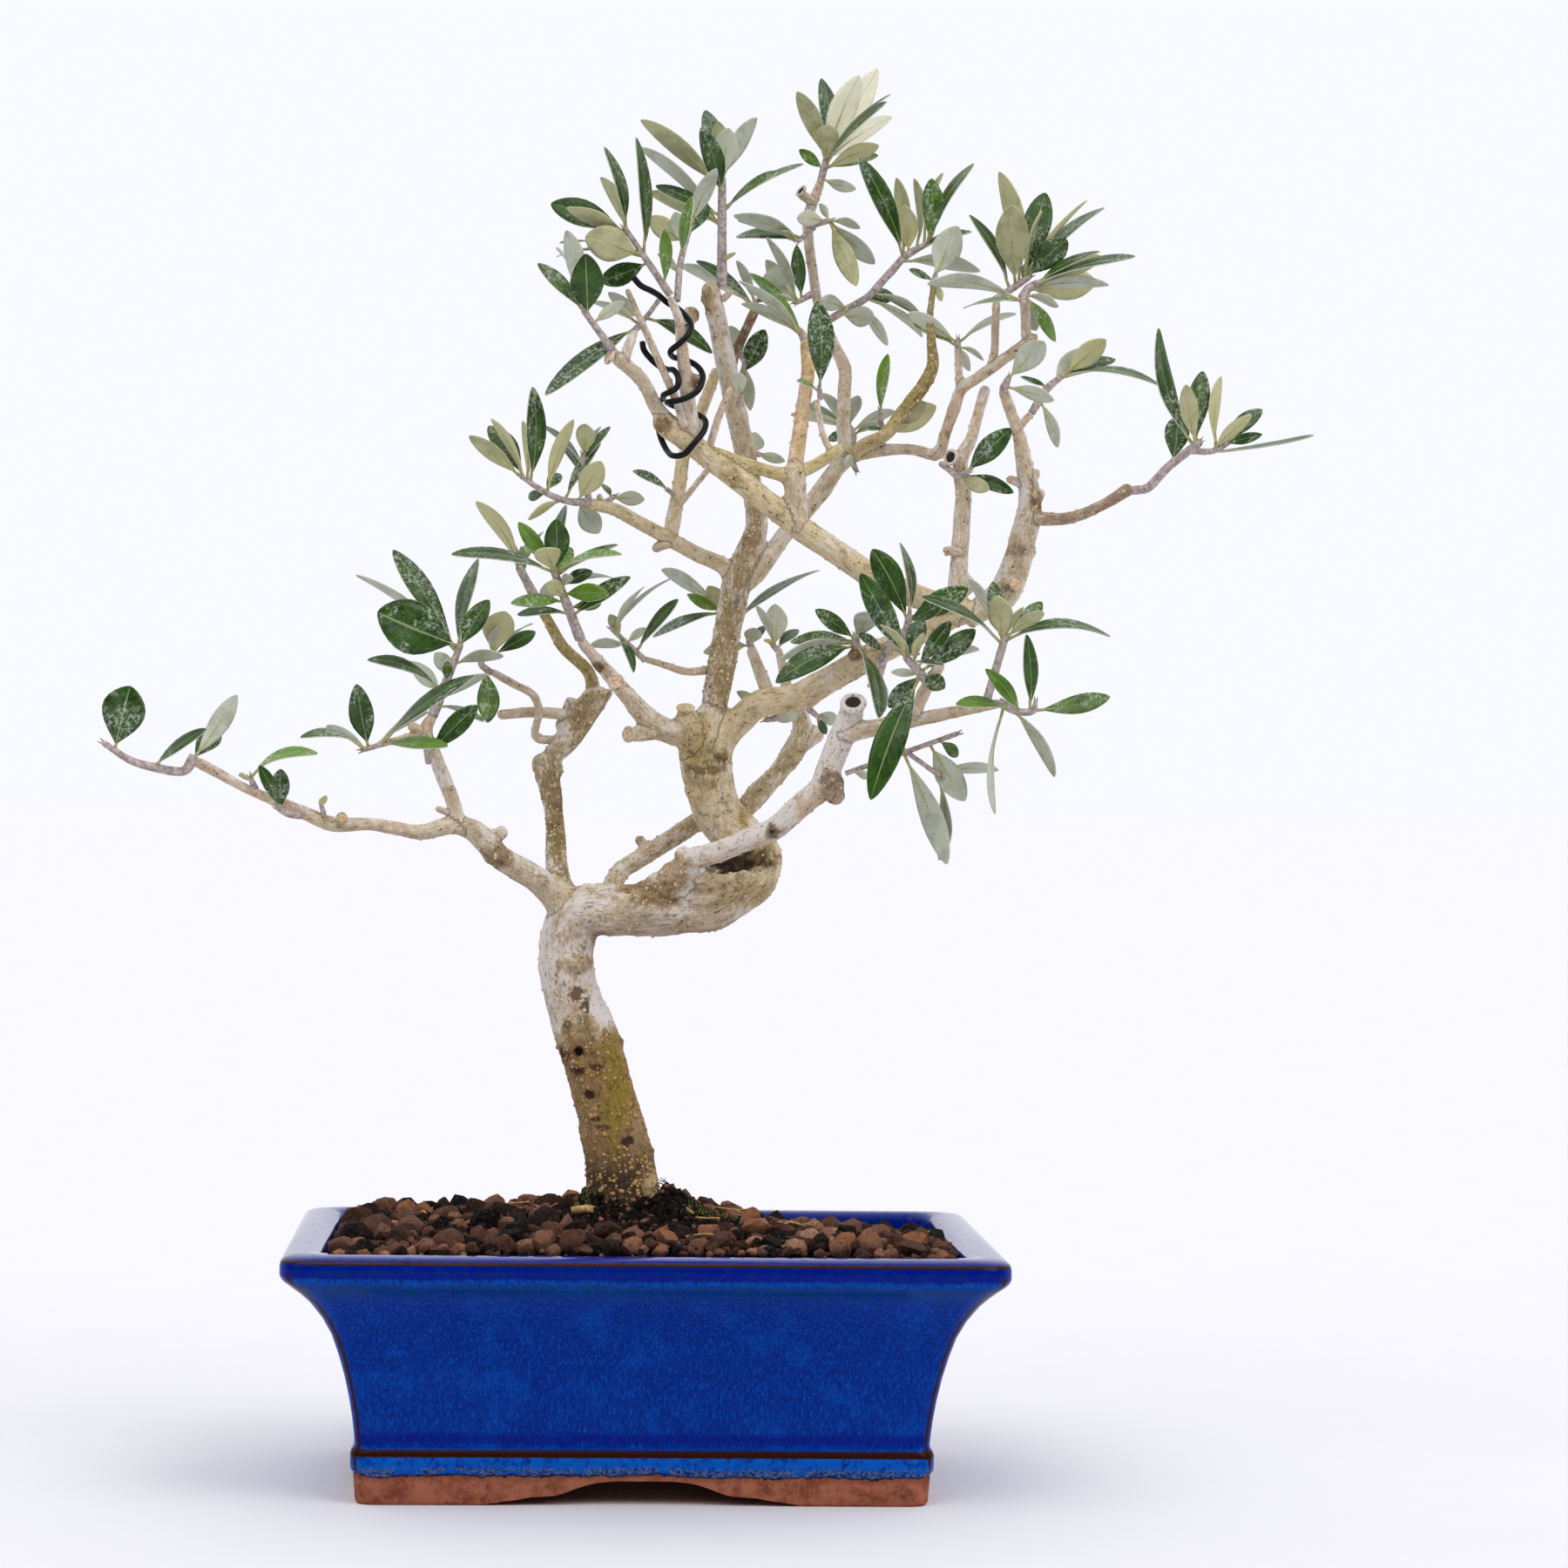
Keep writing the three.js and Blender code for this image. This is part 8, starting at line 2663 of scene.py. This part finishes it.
@dataclass
class TrainingWire:
    """One soft wire with two legs, wound up two shoots of the crown to hold them bent."""

    bench: Bench
    radius: float = 1.0
    sides: int = 14
    step: float = 0.7

    # typed in millimetres, each leg from one end to the other
    legs = (
        (
            (-7.5, -16, 386), (-5, -15, 383.5), (-1.5, -13.5, 382), (1, -10, 381),
            (4, -7, 379), (7, -6.5, 377.5), (10, -8, 374.5), (11.5, -11.5, 371),
            (10, -15, 367.5), (7.5, -15, 365), (5, -12.5, 363), (6, -8.2, 361.5),
            (9.5, -6, 361), (13.5, -7, 359), (15.5, -10, 355.5), (14, -14, 350.5),
            (11.5, -14.5, 348.5), (8, -15.5, 347), (5, -14, 346.5), (4.3, -10.3, 346.7),
            (4.8, -5.5, 346.7), (8.5, -3.5, 345.5), (13, -3.5, 344), (16.5, -7, 341.5),
            (16, -11.5, 337.5), (13, -14, 333.5), (10, -13.5, 330),
        ),
        (
            (13, -14, 333.5), (10, -13.5, 330), (6.5, -10.5, 329.5), (4.5, -6, 331.5),
            (2.5, -2.5, 336), (1.5, -1, 340.5), (1, -2.5, 345.5), (3, -7, 348.5),
            (3, -11, 349), (4.5, -14.5, 349.5), (7, -15.5, 351), (7.5, -14.5, 354),
            (6, -11, 357), (4, -8, 357.5), (1.5, -8, 358.5), (-1.5, -8.5, 361),
            (-3.5, -9, 363.5), (-4, -8, 366),
        ),
    )

    def build(self, lacquer: bpy.types.Material) -> None:
        """Bends the wire and dresses it.

        Args:
            lacquer: Its black finish.
        """
        bm = bmesh.new()
        for leg in self.legs:
            rows = [(*place, self.radius) for place in leg]
            sweep(bm, smooth_route(rows, self.step), self.sides)
        bmesh.ops.recalc_face_normals(bm, faces=bm.faces[:])
        dress(self.bench.finish(bm, "black_wire", [lacquer]), "wire", "training_wire")


# ------------------------------------------------------------------ camera and studio


@dataclass(frozen=True)
class Viewpoint:
    """Where the camera stands against the pot's middle, how it looks, and its lens."""

    place: tuple[float, float, float] = (-38.7, -1362.4, 223.6)
    yaw: float = 3.48
    pitch: float = 0.04
    roll: float = 0.81
    focal_pixels: float = 4830.0
    sensor: float = 36.0

    def build(self, bench: Bench) -> None:
        """Sets up the scene's camera.

        Args:
            bench: Takes its place into the frame.
        """
        yaw, pitch, roll = (math.radians(a) for a in (self.yaw, self.pitch, self.roll))
        ahead = Vector((
            math.sin(yaw) * math.cos(pitch), math.cos(yaw) * math.cos(pitch), math.sin(pitch)))
        right = Vector((math.cos(yaw), -math.sin(yaw), 0))
        up = right.cross(ahead)
        level, upright = right, up
        right = level * math.cos(roll) + upright * math.sin(roll)
        up = upright * math.cos(roll) - level * math.sin(roll)
        turn = Matrix((right, up, -ahead)).transposed().to_4x4()
        data = bpy.data.cameras.new("viewpoint")
        data.sensor_width = self.sensor
        data.lens = self.focal_pixels * self.sensor / FRAME_SIDE
        data.clip_end = 50
        camera = bpy.data.objects.new("viewpoint", data)
        camera.matrix_world = Matrix.Translation(bench.to_frame @ Vector(self.place)) @ turn
        bpy.context.scene.collection.objects.link(camera)
        bpy.context.scene.camera = camera


@dataclass(frozen=True)
class Sun:
    """Broad daylight from one side: its height and bearing in degrees, spread and strength."""

    name: str
    bearing: float
    height: float
    spread: float
    strength: float
    colour: str = "#FFFFFF"

    def build(self) -> None:
        """Hangs the light. A bearing of 0 is from the front and 90 from the right."""
        data = bpy.data.lights.new(self.name, "SUN")
        data.energy = self.strength
        data.angle = math.radians(self.spread)
        data.color = srgb(self.colour)[:3]
        lamp = bpy.data.objects.new(self.name, data)
        turn = Matrix.Rotation(math.radians(self.bearing), 4, "Z")
        lamp.matrix_world = turn @ Matrix.Rotation(math.radians(90 - self.height), 4, "X")
        bpy.context.scene.collection.objects.link(lamp)


@dataclass(frozen=True)
class Studio:
    """A white table in a bright white room that is darker on the viewer's side."""

    backdrop: str = "#F9FAFF"
    room: str = "#F9F9FF"
    dim: float = 0.10
    behind: float = 0.95
    above: float = 0.95
    floor_side: float = 60.0
    floor_drop: float = 0.0002

    suns = (
        Sun("soft_sun_left", -42, 48, 50, 0.85, "#FFFDF8"),
        Sun("soft_sun_right", 52, 40, 40, 1.0, "#FFFDF8"),
    )

    def room_light(self) -> bpy.types.World:
        """Makes the room: plain white to look at, and unevenly bright to be lit by."""
        world = bpy.data.worlds.new("white_room")
        world.use_nodes = True
        tree = world.node_tree
        way = add_node(tree, "ShaderNodeTexCoord").outputs["Generated"]
        parts = add_node(tree, "ShaderNodeSeparateXYZ", {0: way})
        rises = []
        for axis, low, high, most in (("Y", -0.1, 0.25, self.behind), ("Z", 0.3, 0.8, self.above)):
            inputs = {
                "Value": parts.outputs[axis], "From Min": low, "From Max": high,
                "To Min": self.dim, "To Max": most,
            }
            rise = add_node(tree, "ShaderNodeMapRange", inputs, interpolation_type="SMOOTHSTEP")
            rises.append(rise.outputs["Result"])
        bright = add_node(tree, "ShaderNodeMath", dict(enumerate(rises)), operation="MAXIMUM")
        lit = {"Color": srgb(self.room), "Strength": bright.outputs[0]}
        lighting = add_node(tree, "ShaderNodeBackground", lit)
        seen = add_node(tree, "ShaderNodeBackground", {"Color": srgb(self.backdrop)})
        inputs = {
            0: add_node(tree, "ShaderNodeLightPath").outputs["Is Camera Ray"],
            1: lighting.outputs[0], 2: seen.outputs[0],
        }
        both = add_node(tree, "ShaderNodeMixShader", inputs)
        tree.links.new(both.outputs[0], tree.nodes["World Output"].inputs["Surface"])
        return world

    def build(self) -> None:
        """Lights the room, lays the table and sets how colours are shown."""
        scene = bpy.context.scene
        scene.view_settings.view_transform = "Standard"
        scene.world = self.room_light()
        for sun in self.suns:
            sun.build()
        bm = bmesh.new()
        bmesh.ops.create_grid(bm, x_segments=1, y_segments=1, size=self.floor_side / 2)
        bmesh.ops.translate(bm, verts=bm.verts[:], vec=(0, 0, -self.floor_drop))
        mesh = as_mesh(bm, "table")
        mesh.materials.append(FLOOR.make())
        table = bpy.data.objects.new("table", mesh)
        scene.collection.objects.link(table)


def main() -> None:
    """Builds the camera, the studio and every piece of the tree and its pot."""
    logging.basicConfig(level=logging.INFO, format="%(message)s")
    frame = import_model()
    low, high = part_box("pot")
    centre = (low + high) / 2
    bench = Bench(Matrix.Translation((centre.x, centre.y, 0)) @ Matrix.Scale(MM, 4))
    Viewpoint().build(bench)
    Studio().build()
    Pot(bench).build(CobaltGlaze().make())
    Filling(bench).build(Humus().make(), FiredGrain().make(), MOSS.make(), STRAW.make())
    plastic = MESH_PLASTIC.make()
    for side in ("left", "right"):
        lattice = frame["nodes"]["drain_mesh_" + side]
        lattice.data.materials.clear()
        lattice.data.materials.append(plastic)
        log.info("%s: kept with its own material", lattice.name)
    cork, wood = (GOLD_CORK.make(), CREAM_CORK.make()), (CUT_WOOD.make(), HOLLOW_SHADE.make())
    Wood(bench).build(Bark().make(bench.to_frame), cork, wood)
    finishes = (UPPER_SKIN, UNDER_SKIN, YOUNG_SKIN, CREAM_GLOW_SKIN, STALK, SHOOT_BARK)
    Foliage(bench).build([finish.make() for finish in finishes])
    TrainingWire(bench).build(WIRE_LACQUER.make())


if __name__ == "__main__":
    main()
